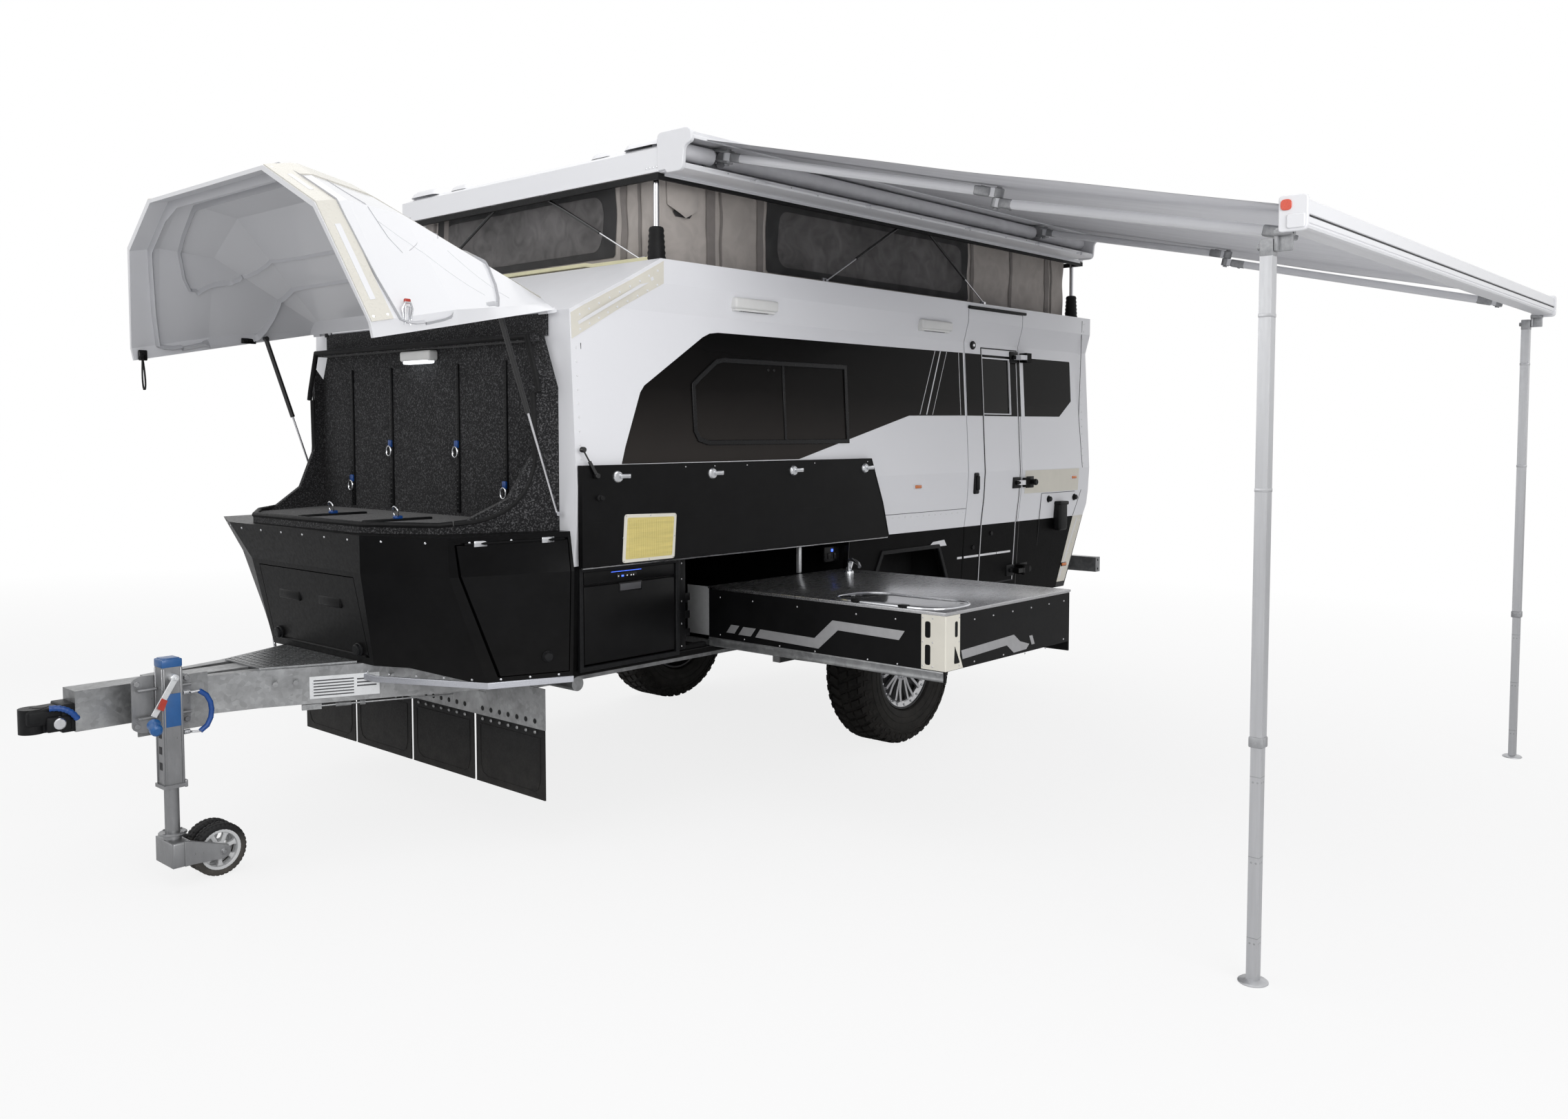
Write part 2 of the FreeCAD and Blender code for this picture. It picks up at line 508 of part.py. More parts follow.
def make_end_walls():
    """Front and rear walls that close the section between the side walls."""
    front_core = cabin_core("FrontCore", "-front - slope_run - wall", "slope_run + wall")
    strip = [("-front", "floor_base + floor_thick"), ("-front", "front_edge"),
             ("-front - slope_run", "wall_top"), ("-front - slope_run - wall", "wall_top"),
             ("-front - slope_run - wall", "wall_top - slope_wall"),
             ("-front - wall", "front_edge - slope_wall + 10"), ("-front - wall", "floor_base + floor_thick")]
    subpart("front_wall", common("FrontWall", front_core, plate("FrontStrip", "XZ", "0", strip, "2600", True)))
    rear = "-front - body_length"
    rear_core = cabin_core("RearCore", rear, "departure_run + 2 * wall")
    strip = [(rear, "departure"), (rear, "wall_top"), (rear + " + wall", "wall_top"),
             (rear + " + wall", "departure + 5"), (rear + " + departure_run + wall", "floor_base + floor_thick"),
             (rear + " + departure_run - 10", "floor_base + floor_thick")]
    subpart("rear_wall", common("RearWall", rear_core, plate("RearStrip", "XZ", "0", strip, "2600", True)))


def make_floor():
    """Floor panel with cut-outs over the wheels and a tub bonded over each."""
    core = cabin_core("FloorCore", "-front - body_length + departure_run", "body_length - departure_run")
    slab = block("FloorSlab", "-front - body_length", "-bulge_half", "floor_base", "body_length",
                 "2 * bulge_half", "floor_thick")
    base = common("FloorBase", core, slab)
    x = "-front - axle_back - arch_foot_rear"
    length = "arch_foot_rear + arch_foot_front"
    low = "floor_base + floor_thick"
    high = "arch_height + tub_rise"
    holes = []
    shells = []
    for name, side in SIDES:
        start = "tub_inner" if side > 0 else "-bulge_half"
        holes.append(block("WheelHole" + name, x, start, "floor_base - 5", length, "bulge_half - tub_inner",
                           "floor_thick + 10"))
        start = "tub_inner - tub_wall" if side > 0 else "-(base_half - wall)"
        outer = block("Tub" + name, x + " - tub_wall", start, low, length + " + 2 * tub_wall",
                      "base_half - wall - tub_inner + tub_wall", "%s - (%s)" % (high, low))
        start = "tub_inner" if side > 0 else "-base_half"
        inner = block("TubInner" + name, x, start, low + " - 5", length, "base_half - tub_inner",
                      "%s - tub_wall - (%s) + 5" % (high, low))
        shells.append(minus("TubShell" + name, outer, inner))
    floor = minus("Floor", base, fuse("WheelHoles", holes))
    subpart("floor_panel", fuse("FloorWithTubs", [floor] + shells))


def make_entry_door():
    """Door bent to the wall's section, hung on three hinges at its rear edge."""
    door = new_body("EntryDoor")
    pin_x = "-front - door_start - door_width"
    pad(door, outline(door, "DoorSection", "YZ", pin_x + " + door_gap", wall_band(1)), "door_width - 2 * door_gap")
    middle = "bulge_half - wall"
    through = "8 * wall"
    for name, edge, end in (("DoorFoot", "door_sill + door_gap", "floor_base - 5"),
                            ("DoorHead", "door_head - door_gap", "wall_top + 5")):
        away = [(pin_x, edge), (pin_x + " + door_width", edge), (pin_x + " + door_width", end), (pin_x, end)]
        cut(door, outline(door, name, "XZ", middle, away), through)
    cut(door, outline(door, "DoorPaneHole", "XZ", middle, door_pane_points("0")), through)
    pin_y = "bulge_half + hinge_stand"
    solids = [door]
    bores = []
    fixed = []
    for height, skin in (("hinge_low", "base_half"), ("hinge_mid", "tuck_half"), ("hinge_high", "eave_low_half")):
        foot = height + " - hinge_half"
        low = height + " - hinge_outer"
        reach = "bulge_half + hinge_stand + 4 - %s" % skin
        solids.append(block("DoorLeaf" + height, pin_x + " + 12", skin + " - wall / 3", foot, "leaf",
                            reach + " + wall / 3", "2 * hinge_half"))
        solids.append(block("DoorArm" + height, pin_x, pin_y + " - 4", foot, "15", "8", "2 * hinge_half"))
        solids.append(rod("DoorKnuckle" + height, "z", pin_x, pin_y, foot, "hinge_radius", "2 * hinge_half"))
        bores.append(rod("DoorBore" + height, "z", pin_x, pin_y, low, "hinge_pin + running", "2 * hinge_outer"))
        fixed.append(rod("HingePin" + height, "z", pin_x, pin_y, low, "hinge_pin", "2 * hinge_outer"))
        fixed.append(block("WallLeaf" + height, pin_x + " - 12 - leaf", skin, low, "leaf", reach,
                           "2 * hinge_outer"))
        ear = "hinge_outer - hinge_half - 1"
        for end, place in enumerate((low, height + " + hinge_half + 1")):
            fixed.append(block("WallArm%s%d" % (height, end), pin_x + " - 15", pin_y + " - 4", place, "15", "8", ear))
            fixed.append(rod("WallKnuckle%s%d" % (height, end), "z", pin_x, pin_y, place, "hinge_radius", ear))
    subpart("entry_door", minus("EntryDoorBored", fuse("DoorSolids", solids), fuse("DoorBores", bores)))
    walls = plate("HingeWallCopy", "YZ", "-front - body_length", wall_band(1), "body_length")
    subpart("door_hinges", minus("DoorHinges", fuse("HingeFixed", fixed), walls))
    subpart("door_pane", pane_in_wall("DoorPane", 1, door_pane_points("soft_gap")))


def box_rings(inset, low, high):
    """Plan outlines of the front box at its three levels, shrunk by an inset."""
    levels = [(low, "box_side_low", "corner_x_low", "corner_y_low", "nose_x_low", "nose_y_low"),
              ("box_crease", "box_side_mid", "corner_x_mid", "corner_y_mid", "nose_x_mid", "nose_y_mid"),
              (high, "box_side_top", "corner_x_top", "corner_y_top", "nose_x_top", "nose_y_top")]
    rings = []
    for height, side, corner_x, corner_y, nose_x, nose_y in levels:
        rings.append((height, mirrored([("-front", "%s - %s" % (side, inset)),
                                        ("-%s - %s" % (corner_x, inset), "%s - %s" % (corner_y, inset)),
                                        ("-%s - %s" % (nose_x, inset), "%s - %s" % (nose_y, inset))])))
    return rings


def make_front_box():
    """Moulded box under the boot, hollow, with three flush locker doors cut from its skin."""
    outer = box_form("BoxOuter", "0", "0", "ledge")
    inner = box_form("BoxInner", "box_wall", "box_wall", "ledge - box_wall")
    shell = minus("BoxShell", outer, inner)
    holes = []
    middle = [("-drop_half", "drop_low"), ("drop_half", "drop_low"), ("drop_half", "drop_high"),
              ("-drop_half", "drop_high")]
    holes.append(plate("DropHole", "YZ", "-corner_x_low", middle, "corner_x_low - nose_x_top"))
    inset = [("-drop_half + panel_gap", "drop_low + panel_gap"), ("drop_half - panel_gap", "drop_low + panel_gap"),
             ("drop_half - panel_gap", "drop_high - panel_gap"), ("-drop_half + panel_gap", "drop_high - panel_gap")]
    shape = plate("DropShape", "YZ", "-corner_x_low", inset, "corner_x_low - nose_x_top")
    barrel = rod("DropBarrel", "y", surface_x("drop_low"), "-drop_half + 20", "drop_low", "barrel",
                 "2 * drop_half - 40")
    holes.append(rod("DropGroove", "y", surface_x("drop_low"), "-drop_half", "drop_low", "barrel + soft_gap",
                     "2 * drop_half"))
    subpart("locker_door_centre", fuse("DropDoor", [common("DropPanel", shell, shape), barrel]))
    y_rear = "(box_side_top + (box_side_mid - box_side_top) * (ledge - side_high) / (ledge - box_crease))"
    y_front = "(corner_y_top + (corner_y_mid - corner_y_top) * (ledge - side_high) / (ledge - box_crease))"
    x_front = "(corner_x_top + (corner_x_mid - corner_x_top) * (ledge - side_high) / (ledge - box_crease))"
    swing = "atan((%s - %s) / (front - %s))" % (y_rear, y_front, x_front)
    for name, side in SIDES:
        start = "side_inner" if side > 0 else "-1.5 * bulge_half"
        depth = "1.5 * bulge_half - side_inner"
        holes.append(plate("SideHole" + name, "XZ", start, side_door_points("0"), depth))
        shape = plate("SideShape" + name, "XZ", start, side_door_points("panel_gap"), depth)
        turns = (("0; 0; 1", signed(-side, swing)), ("0; 1; 0", "90"))
        barrels = []
        for label, radius, margin in (("Barrel", "barrel", "30"), ("Groove", "barrel + soft_gap", "14")):
            tube = doc.addObject("Part::Cylinder", "Side" + label + name)
            bind(tube, "Radius", radius)
            bind(tube, "Height", "(front - %s - side_edge) / cos(%s) - 2 * %s" % (x_front, swing, margin))
            y = "%s - %s * sin(%s)" % (y_rear, margin, swing)
            seat(tube, "-front + %s * cos(%s)" % (margin, swing), signed(side, y), "side_high", turns)
            barrels.append(tube)
        holes.append(barrels[1])
        door = fuse("SideDoor" + name, [common("SidePanel" + name, shell, shape), barrels[0]])
        subpart("locker_door_" + name, door)
    subpart("front_box", minus("FrontBox", shell, fuse("BoxHoles", holes)))


def make_boot_tub():
    """Lined boot: floor, back and curved side boards, with a header that carries the lid's hinges."""
    floor_plan = mirrored([("-front", "tub_half"), ("-tub_bend_x", "tub_bend_y"),
                           ("-tub_nose_x", "tub_nose_y")])
    pieces = [plate("BootFloor", "XY", "ledge", floor_plan, "tub_floor")]
    pieces.append(block("BootBack", "-front", "-tub_half", "ledge", "tub_board", "2 * tub_half",
                        "tub_top - ledge"))
    rim_x = "-front + tub_board + tub_rim"
    for name, side in SIDES:
        board = new_body("BootSide" + name)
        plan = [("-front", signed(side, "tub_half")), ("-tub_bend_x", signed(side, "tub_bend_y")),
                ("-tub_bend_x", signed(side, "tub_bend_y - tub_board")),
                ("-front", signed(side, "tub_half - tub_board"))]
        pad(board, outline(board, "BootSidePlan" + name, "XY", "ledge", plan), "tub_top - ledge")
        away = [(rim_x, "ledge + tub_floor + tub_curve"), (rim_x, "tub_top + 5"),
                ("-tub_bend_x + 5", "tub_top + 5"), ("-tub_bend_x + 5", "ledge + tub_floor"),
                (rim_x + " + tub_curve", "ledge + tub_floor"),
                (rim_x + " + tub_curve * 0.35", "ledge + tub_floor + tub_curve * 0.35")]
        cut(board, outline(board, "BootSideCurve" + name, "XZ", signed(side, "tub_half"), away),
            "2 * (tub_half - tub_bend_y + 2 * tub_board)")
        pieces.append(board)
    pieces.append(block("BootRimTop", "-front", "-tub_half", "tub_top - tub_board", "tub_board + tub_rim",
                        "2 * tub_half", "tub_board"))
    clip = plate("BootClip", "XY", "ledge - 5", floor_plan, "1000")
    half = [("tub_half", "ledge - 5"), ("tub_half", "tub_shoulder"), ("tub_half - tub_chamfer", "tub_top")]
    front_view = half + [("-(%s)" % u, v) for u, v in reversed(half)]
    shoulders = plate("BootShoulders", "YZ", "-front", front_view, "front")
    header_half = "lid_pin_y - lid_lug_gap"
    carried = [common("BootTubShaped", common("BootTubPlan", fuse("BootTub", pieces), clip), shoulders),
               block("Header", "-front", "-(%s)" % header_half, "tub_top - 1", "header_thick",
                     "2 * (%s)" % header_half, "lid_hinge_height - 5 - tub_top + 1")]
    bores = []
    for name, side in SIDES:
        start = "%s - lid_lug" % header_half if side > 0 else "-(%s)" % header_half
        carried.append(block("LidLug" + name, "-front", start, "lid_hinge_height - 18", "front - lid_hinge_x + 12",
                             "lid_lug", "36"))
        start = "lid_pin_y - 2 * lid_lug" if side > 0 else "-(lid_pin_y + lid_lug)"
        bores.append(rod("LidLugBore" + name, "y", "-lid_hinge_x", start, "lid_hinge_height",
                         "lid_pin + running", "3 * lid_lug"))
        reach = "strut_y - lid_eye_half - soft_gap - tub_half + tub_board / 2"
        start = "tub_half - tub_board / 2" if side > 0 else "-(strut_y - lid_eye_half - soft_gap)"
        carried.append(rod("BallStud" + name, "y", "-lid_eye_x", start, "lid_eye_z", "stud_radius", reach))
    subpart("boot_tub", minus("BootTubBored", fuse("BootTubSolids", carried), fuse("LidLugBores", bores)))


def lid_rings(inset):
    """Plan outlines of the closed lid from its hinge line, at four depths below it."""
    rear = "lid_rear"
    if inset != "0":
        rear = "lid_rear - 40"
    rings = [("-lid_seat", [(rear, "lid_half - %s" % inset), ("lid_square", "lid_half - %s" % inset),
                            ("lid_knee_x - %s" % inset, "lid_knee_y - %s" % inset),
                            ("lid_nose_x - %s" % inset, "lid_nose_y - %s" % inset)]),
             ("-lid_seat + lid_lip", [(rear, "lid_half - %s" % inset), ("lid_square", "lid_half - %s" % inset),
                                      ("lid_knee_x - %s" % inset, "lid_knee_y - %s" % inset),
                                      ("lid_nose_x - %s" % inset, "lid_nose_y - %s" % inset)]),
             ("-lid_seat + lid_bend", [(rear, "lid_half - %s" % inset), ("lid_square", "lid_half - %s" % inset),
                                       ("lid_bend_knee_x - %s" % inset, "lid_bend_knee_y - %s" % inset),
                                       ("lid_bend_nose_x - %s" % inset, "lid_bend_nose_y - %s" % inset)]),
             ("-lid_top", [(rear, "lid_top_half + 40 - %s" % inset), ("lid_square / 2", "lid_top_half - %s" % inset),
                           ("lid_square", "lid_top_half - 40 - %s" % inset),
                           ("lid_square + 10", "lid_top_half - 80 - %s" % inset)])]
    return [(height, mirrored(points)) for height, points in rings]


def make_boot_lid():
    """Faceted lid shell, drawn closed about its hinge line and swung open."""
    lid = new_body("BootLid")
    loft(lid, [outline(lid, "LidOuter%d" % number, "XY", height, points)
               for number, (height, points) in enumerate(lid_rings("0"))])
    inner = []
    for number, (height, points) in enumerate(lid_rings("lid_wall")):
        if number == 0:
            height = "-lid_seat - 5"
        if number == 3:
            height = "-lid_top - lid_wall - 20"
        inner.append(outline(lid, "LidInner%d" % number, "XY", height, points))
    loft(lid, inner, "Subtractive")
    carried = [lid]
    stud_x = "(lid_hinge_x - lid_strut_x) * cos(lid_open) + (lid_strut_z - lid_hinge_height) * sin(lid_open)"
    stud_z = "(lid_strut_z - lid_hinge_height) * cos(lid_open) - (lid_hinge_x - lid_strut_x) * sin(lid_open)"
    for name, side in SIDES:
        pin = "lid_pin_y - lid_lug_gap - lid_lug + 2"
        length = "lid_ear + lid_lug_gap + lid_lug - 2"
        start = pin if side > 0 else "-(lid_pin_y + lid_ear)"
        carried.append(rod("LidPin" + name, "y", "0", start, "0", "lid_pin", length))
        start = "lid_pin_y" if side > 0 else "-(lid_pin_y + lid_ear)"
        carried.append(block("LidEar" + name, "-8", start, "-lid_top - 15", "lid_rear + 16", "lid_ear",
                             "lid_top + 15"))
        start = "strut_y + lid_eye_half + soft_gap" if side > 0 else "-(strut_y + lid_eye_half + soft_gap + lid_stud)"
        carried.append(rod("LidStud" + name, "y", stud_x, start, stud_z, "stud_radius", "lid_stud"))
    place = ("-lid_hinge_x", "0", "lid_hinge_height", (("0; 1; 0", "-lid_open"),))
    subpart("boot_lid", fuse("BootLidEars", carried), *place)


def make_strut(name, starts, eye, tube_radius, rod_radius, tube_length, reach, rod_in):
    """Tube and rod of gas struts along +X from their upper eyes, one pair for each start."""
    tubes = []
    bores = []
    rods = []
    for number, (y, z) in enumerate(starts):
        tubes.append(rod("%sTube%d" % (name, number), "x", "0", y, z, tube_radius, tube_length))
        tubes.append(rod("%sTubeEye%d" % (name, number), "y", "0", "%s - %s" % (y, eye), z, "eye_radius",
                         "2 * " + eye))
        bores.append(rod("%sBore%d" % (name, number), "x", "eye_radius + 5", y, z, rod_radius + " + strut_clear",
                         tube_length))
        rods.append(rod("%sRod%d" % (name, number), "x", "%s - %s" % (tube_length, rod_in), y, z, rod_radius,
                        "%s - %s + %s" % (reach, tube_length, rod_in)))
        rods.append(rod("%sRodEye%d" % (name, number), "y", reach, "%s - %s" % (y, eye), z, "eye_small",
                        "2 * " + eye))
    tube = minus(name + "Tubes", fuse(name + "TubeSolids", tubes), fuse(name + "TubeBores", bores))
    return tube, fuse(name + "Rods", rods)


def make_lid_struts():
    """Gas struts at both ends of the lid: tubes on the lid, rod eyes low on the body."""
    run = "(lid_eye_x - lid_strut_x)"
    drop = "(lid_strut_z - lid_eye_z)"
    reach = "sqrt(%s ^ 2 + %s ^ 2)" % (run, drop)
    turns = (("0; 1; 0", "180 deg - atan(%s / %s)" % (drop, run)),)
    tube, rods = make_strut("LidStrut", (("strut_y", "0"), ("-strut_y", "0")), "lid_eye_half", "strut_tube", "strut_rod",
                            "lid_tube_length", reach, "lid_rod_in")
    subpart("lid_strut_tubes", tube, "-lid_strut_x", "0", "lid_strut_z", turns)
    subpart("lid_strut_rods", rods, "-lid_strut_x", "0", "lid_strut_z", turns)


def make_roof_struts():
    """Roof gas struts: pairs along both sides and across both ends, tubes hung from the roof."""
    drop = "(roof_strut_high - roof_strut_low)"
    for name, start, end in (("front", "side_tube_front", "side_rod_front"),
                             ("rear", "side_tube_back", "side_rod_back")):
        run = "abs(%s - %s)" % (end, start)
        reach = "sqrt(%s ^ 2 + %s ^ 2)" % (run, drop)
        lean = "atan(%s / %s)" % (drop, run)
        angle = lean if name == "front" else "180 deg - %s" % lean
        tube, rods = make_strut("Side" + name, (("roof_strut_y", "0"), ("-roof_strut_y", "0")), "eye_half", "roof_tube",
                                "roof_rod", "roof_tube_length", reach, "roof_rod_in")
        turns = (("0; 1; 0", angle),)
        subpart("side_strut_tubes_" + name, tube, "-" + start, "0", "roof_strut_high", turns)
        subpart("side_strut_rods_" + name, rods, "-" + start, "0", "roof_strut_high", turns)
    for name, side in SIDES:
        run = "(end_rod - end_tube)"
        reach = "sqrt(%s ^ 2 + %s ^ 2)" % (run, drop)
        lean = "atan(%s / %s)" % (drop, run)
        turns = (("1; 0; 0", "-(%s)" % lean if side > 0 else "180 deg + %s" % lean), ("0; 0; 1", "90"))
        # After the quarter turn the strut runs along Y and its spread lies along X
        spread = "roof_strut_tail - roof_strut_x"
        tube, rods = make_strut("End" + name, (("0", "0"), (spread, "0")), "eye_half", "roof_tube",
                                "roof_rod", "end_tube_length", reach, "roof_rod_in")
        y = signed(side, "end_tube")
        subpart("end_strut_tubes_" + name, tube, "-roof_strut_x", y, "roof_strut_high", turns)
        subpart("end_strut_rods_" + name, rods, "-roof_strut_x", y, "roof_strut_high", turns)


def make_roof():
    """Roof shell with its strut lugs, the four guide posts, and what guides and holds them on the body."""
    roof = new_body("Roof")
    side = mirrored([("-roof_back", "roof_half"), ("-roof_front", "roof_half")])
    top = mirrored([("-roof_back + roof_bevel", "roof_half - roof_bevel"),
                    ("-roof_front - roof_bevel", "roof_half - roof_bevel")])
    shoulder = "roof_low + roof_height - roof_bevel / 2"
    loft(roof, [outline(roof, "RoofLow", "XY", "roof_low", side), outline(roof, "RoofMid", "XY", shoulder, side),
                outline(roof, "RoofTop", "XY", "roof_low + roof_height", top)])
    hollow = mirrored([("-roof_back + roof_rim", "roof_half - roof_rim"),
                       ("-roof_front - roof_rim", "roof_half - roof_rim")])
    depth = "roof_height - roof_bevel / 2 - roof_wall"
    cut(roof, outline(roof, "RoofHollow", "XY", "roof_low", hollow), "2 * (%s)" % depth)
    shell = [roof]
    mounts = []
    reach = "roof_strut_y + eye_half + soft_gap"
    for name, side in SIDES:
        for end, high, low in (("Front", "side_tube_front", "side_rod_front"),
                               ("Rear", "side_tube_back", "side_rod_back")):
            start = reach if side > 0 else "-(roof_half - roof_rim / 2)"
            shell.append(block("RoofLug%s%s" % (name, end), "-%s - lug_half" % high, start,
                               "roof_strut_high - 12", "2 * lug_half", "roof_half - roof_rim / 2 - (%s)" % reach,
                               "roof_low - roof_strut_high + 30"))
            inner = "roof_strut_y - eye_half - soft_gap - lug_thick"
            start = inner if side > 0 else "-(eave_half - wall)"
            mounts.append(block("SideShelf%s%s" % (name, end), "-%s - lug_half" % low, start, "wall_top - 10",
                                "2 * lug_half", "eave_half - wall - (%s)" % inner, "10"))
            start = inner if side > 0 else "-(%s + lug_thick)" % inner
            mounts.append(block("SideLug%s%s" % (name, end), "-%s - lug_half" % low, start, "wall_top - 10",
                                "2 * lug_half", "lug_thick", "roof_strut_low - wall_top + 24"))
        y = signed(side, "end_tube") + " - lug_half"
        shell.append(block("RoofEndLugFront" + name, "-roof_strut_x + eye_half + soft_gap", y,
                           "roof_strut_high - 12", "roof_strut_x - eye_half - soft_gap - roof_front - roof_rim + 3",
                           "2 * lug_half", "roof_low - roof_strut_high + 30"))
        shell.append(block("RoofEndLugRear" + name, "-roof_back + roof_rim - 3", y, "roof_strut_high - 12",
                           "roof_back - roof_rim + 3 - roof_strut_tail - eye_half - soft_gap",
                           "2 * lug_half", "roof_low - roof_strut_high + 30"))
        y = signed(side, "end_rod") + " - lug_half"
        front_face = "-front - slope_run - wall"
        start = "-roof_strut_x - eye_half - soft_gap - lug_thick"
        mounts.append(block("FrontShelf" + name, start, y, "wall_top - 10", "%s - (%s)" % (front_face, start),
                            "2 * lug_half", "10"))
        mounts.append(block("FrontLug" + name, start, y, "wall_top - 10", "lug_thick", "2 * lug_half",
                            "roof_strut_low - wall_top + 24"))
        start = "-roof_strut_tail + eye_half + soft_gap"
        rear_face = "-front - body_length + wall"
        mounts.append(block("RearShelf" + name, rear_face, y, "wall_top - 10",
                            "%s + lug_thick - (%s)" % (start, rear_face), "2 * lug_half", "10"))
        mounts.append(block("RearLug" + name, start, y, "wall_top - 10", "lug_thick", "2 * lug_half",
                            "roof_strut_low - wall_top + 24"))
    subpart("roof_shell", fuse("RoofShell", shell))
    posts = []
    bores = []
    for name, side in SIDES:
        for end in ("front", "back"):
            label = name + end
            x = "-post_" + end
            y = signed(side, "post_half")
            posts.append(rod("Post" + label, "z", x, y, "post_low", "post_radius", "roof_low + %s - post_low" % depth))
            mounts.append(rod("Sleeve" + label, "z", x, y, "sleeve_low", "sleeve_radius", "wall_top - sleeve_low"))
            mounts.append(rod("Bellows" + label, "z", x, y, "wall_top - 1", "boot_radius", "boot_height + 1"))
            start = "post_half" if side > 0 else "-eave_low_half"
            mounts.append(block("SleeveFoot" + label, "%s - lug_half" % x, start, "eave_low - 30",
                                "2 * lug_half", "eave_low_half - post_half", "60"))
            bores.append(rod("SleeveBore" + label, "z", x, y, "sleeve_low + 10", "sleeve_bore", "wall_top"))
    mounts += wall_strips()
    walls = [plate("MountWallCopy" + name, "YZ", "-front - body_length", thick_band(side), "body_length")
             for name, side in SIDES]
    subpart("roof_posts", fuse("RoofPosts", posts))
    subpart("roof_mounts", minus("RoofMounts", fuse("MountSolids", mounts), fuse("MountVoids", bores + walls)))


def make_tent():
    """Fabric walls between body and raised roof, a closed ring."""
    low = "ring_low + ring_thick + soft_gap"
    height = "roof_low + roof_height - roof_bevel / 2 - roof_wall - soft_gap - (%s)" % low
    outer = block("TentOuter", "-tent_back", "-tent_half", low, "tent_back - tent_front", "2 * tent_half", height)
    inner = block("TentInner", "-tent_back + tent_thick", "-tent_half + tent_thick", low + " - 5",
                  "tent_back - tent_front - 2 * tent_thick", "2 * (tent_half - tent_thick)", height + " + 10")
    subpart("tent_walls", minus("Tent", outer, inner))


def make_awning_case():
    """Awning case along the roof's edge, open towards the kerb, with the arms' shoulder brackets."""
    case = new_body("AwningCase")
    back = "roof_half"
    front = "roof_half + case_depth"
    high = "case_low + case_height"
    points = [(back, "case_low"), (front + " - 60", "case_low"), (front + " - 60", "case_low + case_wall"),
              (back + " + case_wall", "case_low + case_wall"), (back + " + case_wall", high + " - case_wall"),
              (front + " - case_wall", high + " - case_wall"), (front + " - case_wall", high + " - 26"),
              (front, high + " - 26"), (front, high), (back, high)]
    pad(case, outline(case, "CaseSection", "YZ", "-case_back", points), "case_back - case_front")
    parts = [case]
    for name, place in (("Front", "-case_front - case_wall"), ("Back", "-case_back")):
        parts.append(block("CaseCap" + name, place, back, "case_low", "case_wall", "case_depth - 62",
                           "case_height"))
    for name, place in (("Front", "shoulder_front"), ("Back", "shoulder_back")):
        bracket = new_body("Shoulder" + name)
        reach = "-(shoulder_y - roof_half - case_wall) / cos(slope) + 8"
        cheek = [(signed(1, "-arm_half"), reach), ("arm_half", reach), ("arm_half", "arm_half"),
                 ("-arm_half", "arm_half")]
        low = "-cheek"
        high_w = "arm_gap + arm_thick"
        pad(bracket, outline(bracket, "LowCheek" + name, "XY", low, cheek), "cheek")
        web = [("-arm_half", reach), ("arm_half", reach), ("arm_half", reach + " + 12"), ("-arm_half", reach + " + 12")]
        pad(bracket, outline(bracket, "Web" + name, "XY", low, web), "2 * cheek + " + high_w)
        pad(bracket, outline(bracket, "HighCheek" + name, "XY", high_w, cheek), "cheek")
        pad(bracket, circle(bracket, "ShoulderPin" + name, "XY", low, "0", "0", "arm_pin"),
            "2 * cheek + " + high_w)
        seat(bracket, "-" + place, "shoulder_y", "shoulder_z", (TILT,))
        parts.append(bracket)
        parts.append(block("ShoulderFoot" + name, "-%s - arm_half" % place, back + " + 1", "shoulder_z - 20",
                           "2 * arm_half", "30", "70"))
    subpart("awning_case", fuse("AwningCaseSolid", parts))


def arm_body(name, low, bore_near, bore_far):
    """Flat arm along +X between two eyes, low and thickness along Z."""
    length = "arm_length"
    arm = new_body(name)
    half = [("0", "-arm_half"), (ARM, "-arm_half"), (ARM, "arm_half"), ("0", "arm_half")]
    pad(arm, outline(arm, name + "Bar", "XY", low, half), "arm_thick")
    for end, place in (("Near", "0"), ("Far", ARM)):
        pad(arm, circle(arm, name + end, "XY", low, place, "0", "arm_half"), "arm_thick")
    for end, place, radius in (("Near", "0", bore_near), ("Far", ARM, bore_far)):
        if radius:
            cut(arm, circle(arm, name + end + "Bore", "XY", low, place, "0", radius), "4 * arm_thick")
    return arm


# Length of each arm from the reach of the awning along its slope and the elbow's lean
ARM = "sqrt((arm_reach / 2) ^ 2 + arm_lean ^ 2)"
TILT = ("1; 0; 0", "-slope")
LEAN = "atan(arm_reach / 2 / arm_lean)"


def make_awning_arms():
    """Two folding arms, each an upper and a lower bar joined at the elbow by the upper bar's pin."""
    elbow_run = "arm_reach / 2"
    for name, place, side in (("front", "shoulder_front", -1), ("back", "shoulder_back", 1)):
        # side is the way the elbow points along X
        lean = LEAN if side > 0 else "180 deg - %s" % LEAN
        upper = arm_body("Upper" + name, "arm_gap / 2", "arm_pin + running", None)
        pin = rod("ElbowPin" + name, "z", ARM, "0", "-arm_thick - arm_gap / 2", "arm_pin", "arm_thick + arm_gap + 2")
        subpart("arm_upper_" + name, fuse("UpperArm" + name, [upper, pin]), "-" + place, "shoulder_y", "shoulder_z",
                (TILT, ("0; 0; 1", lean)))
        lower = arm_body("Lower" + name, "-arm_thick - arm_gap / 2", "arm_pin + running", "arm_pin + running")
        back = "180 deg - %s" % LEAN if side > 0 else LEAN
        elbow_x = "-%s %s arm_lean" % (place, "+" if side > 0 else "-")
        subpart("arm_lower_" + name, lower, elbow_x, "shoulder_y + cos(slope) * %s" % elbow_run,
                "shoulder_z - sin(slope) * %s" % elbow_run, (TILT, ("0; 0; 1", back)))


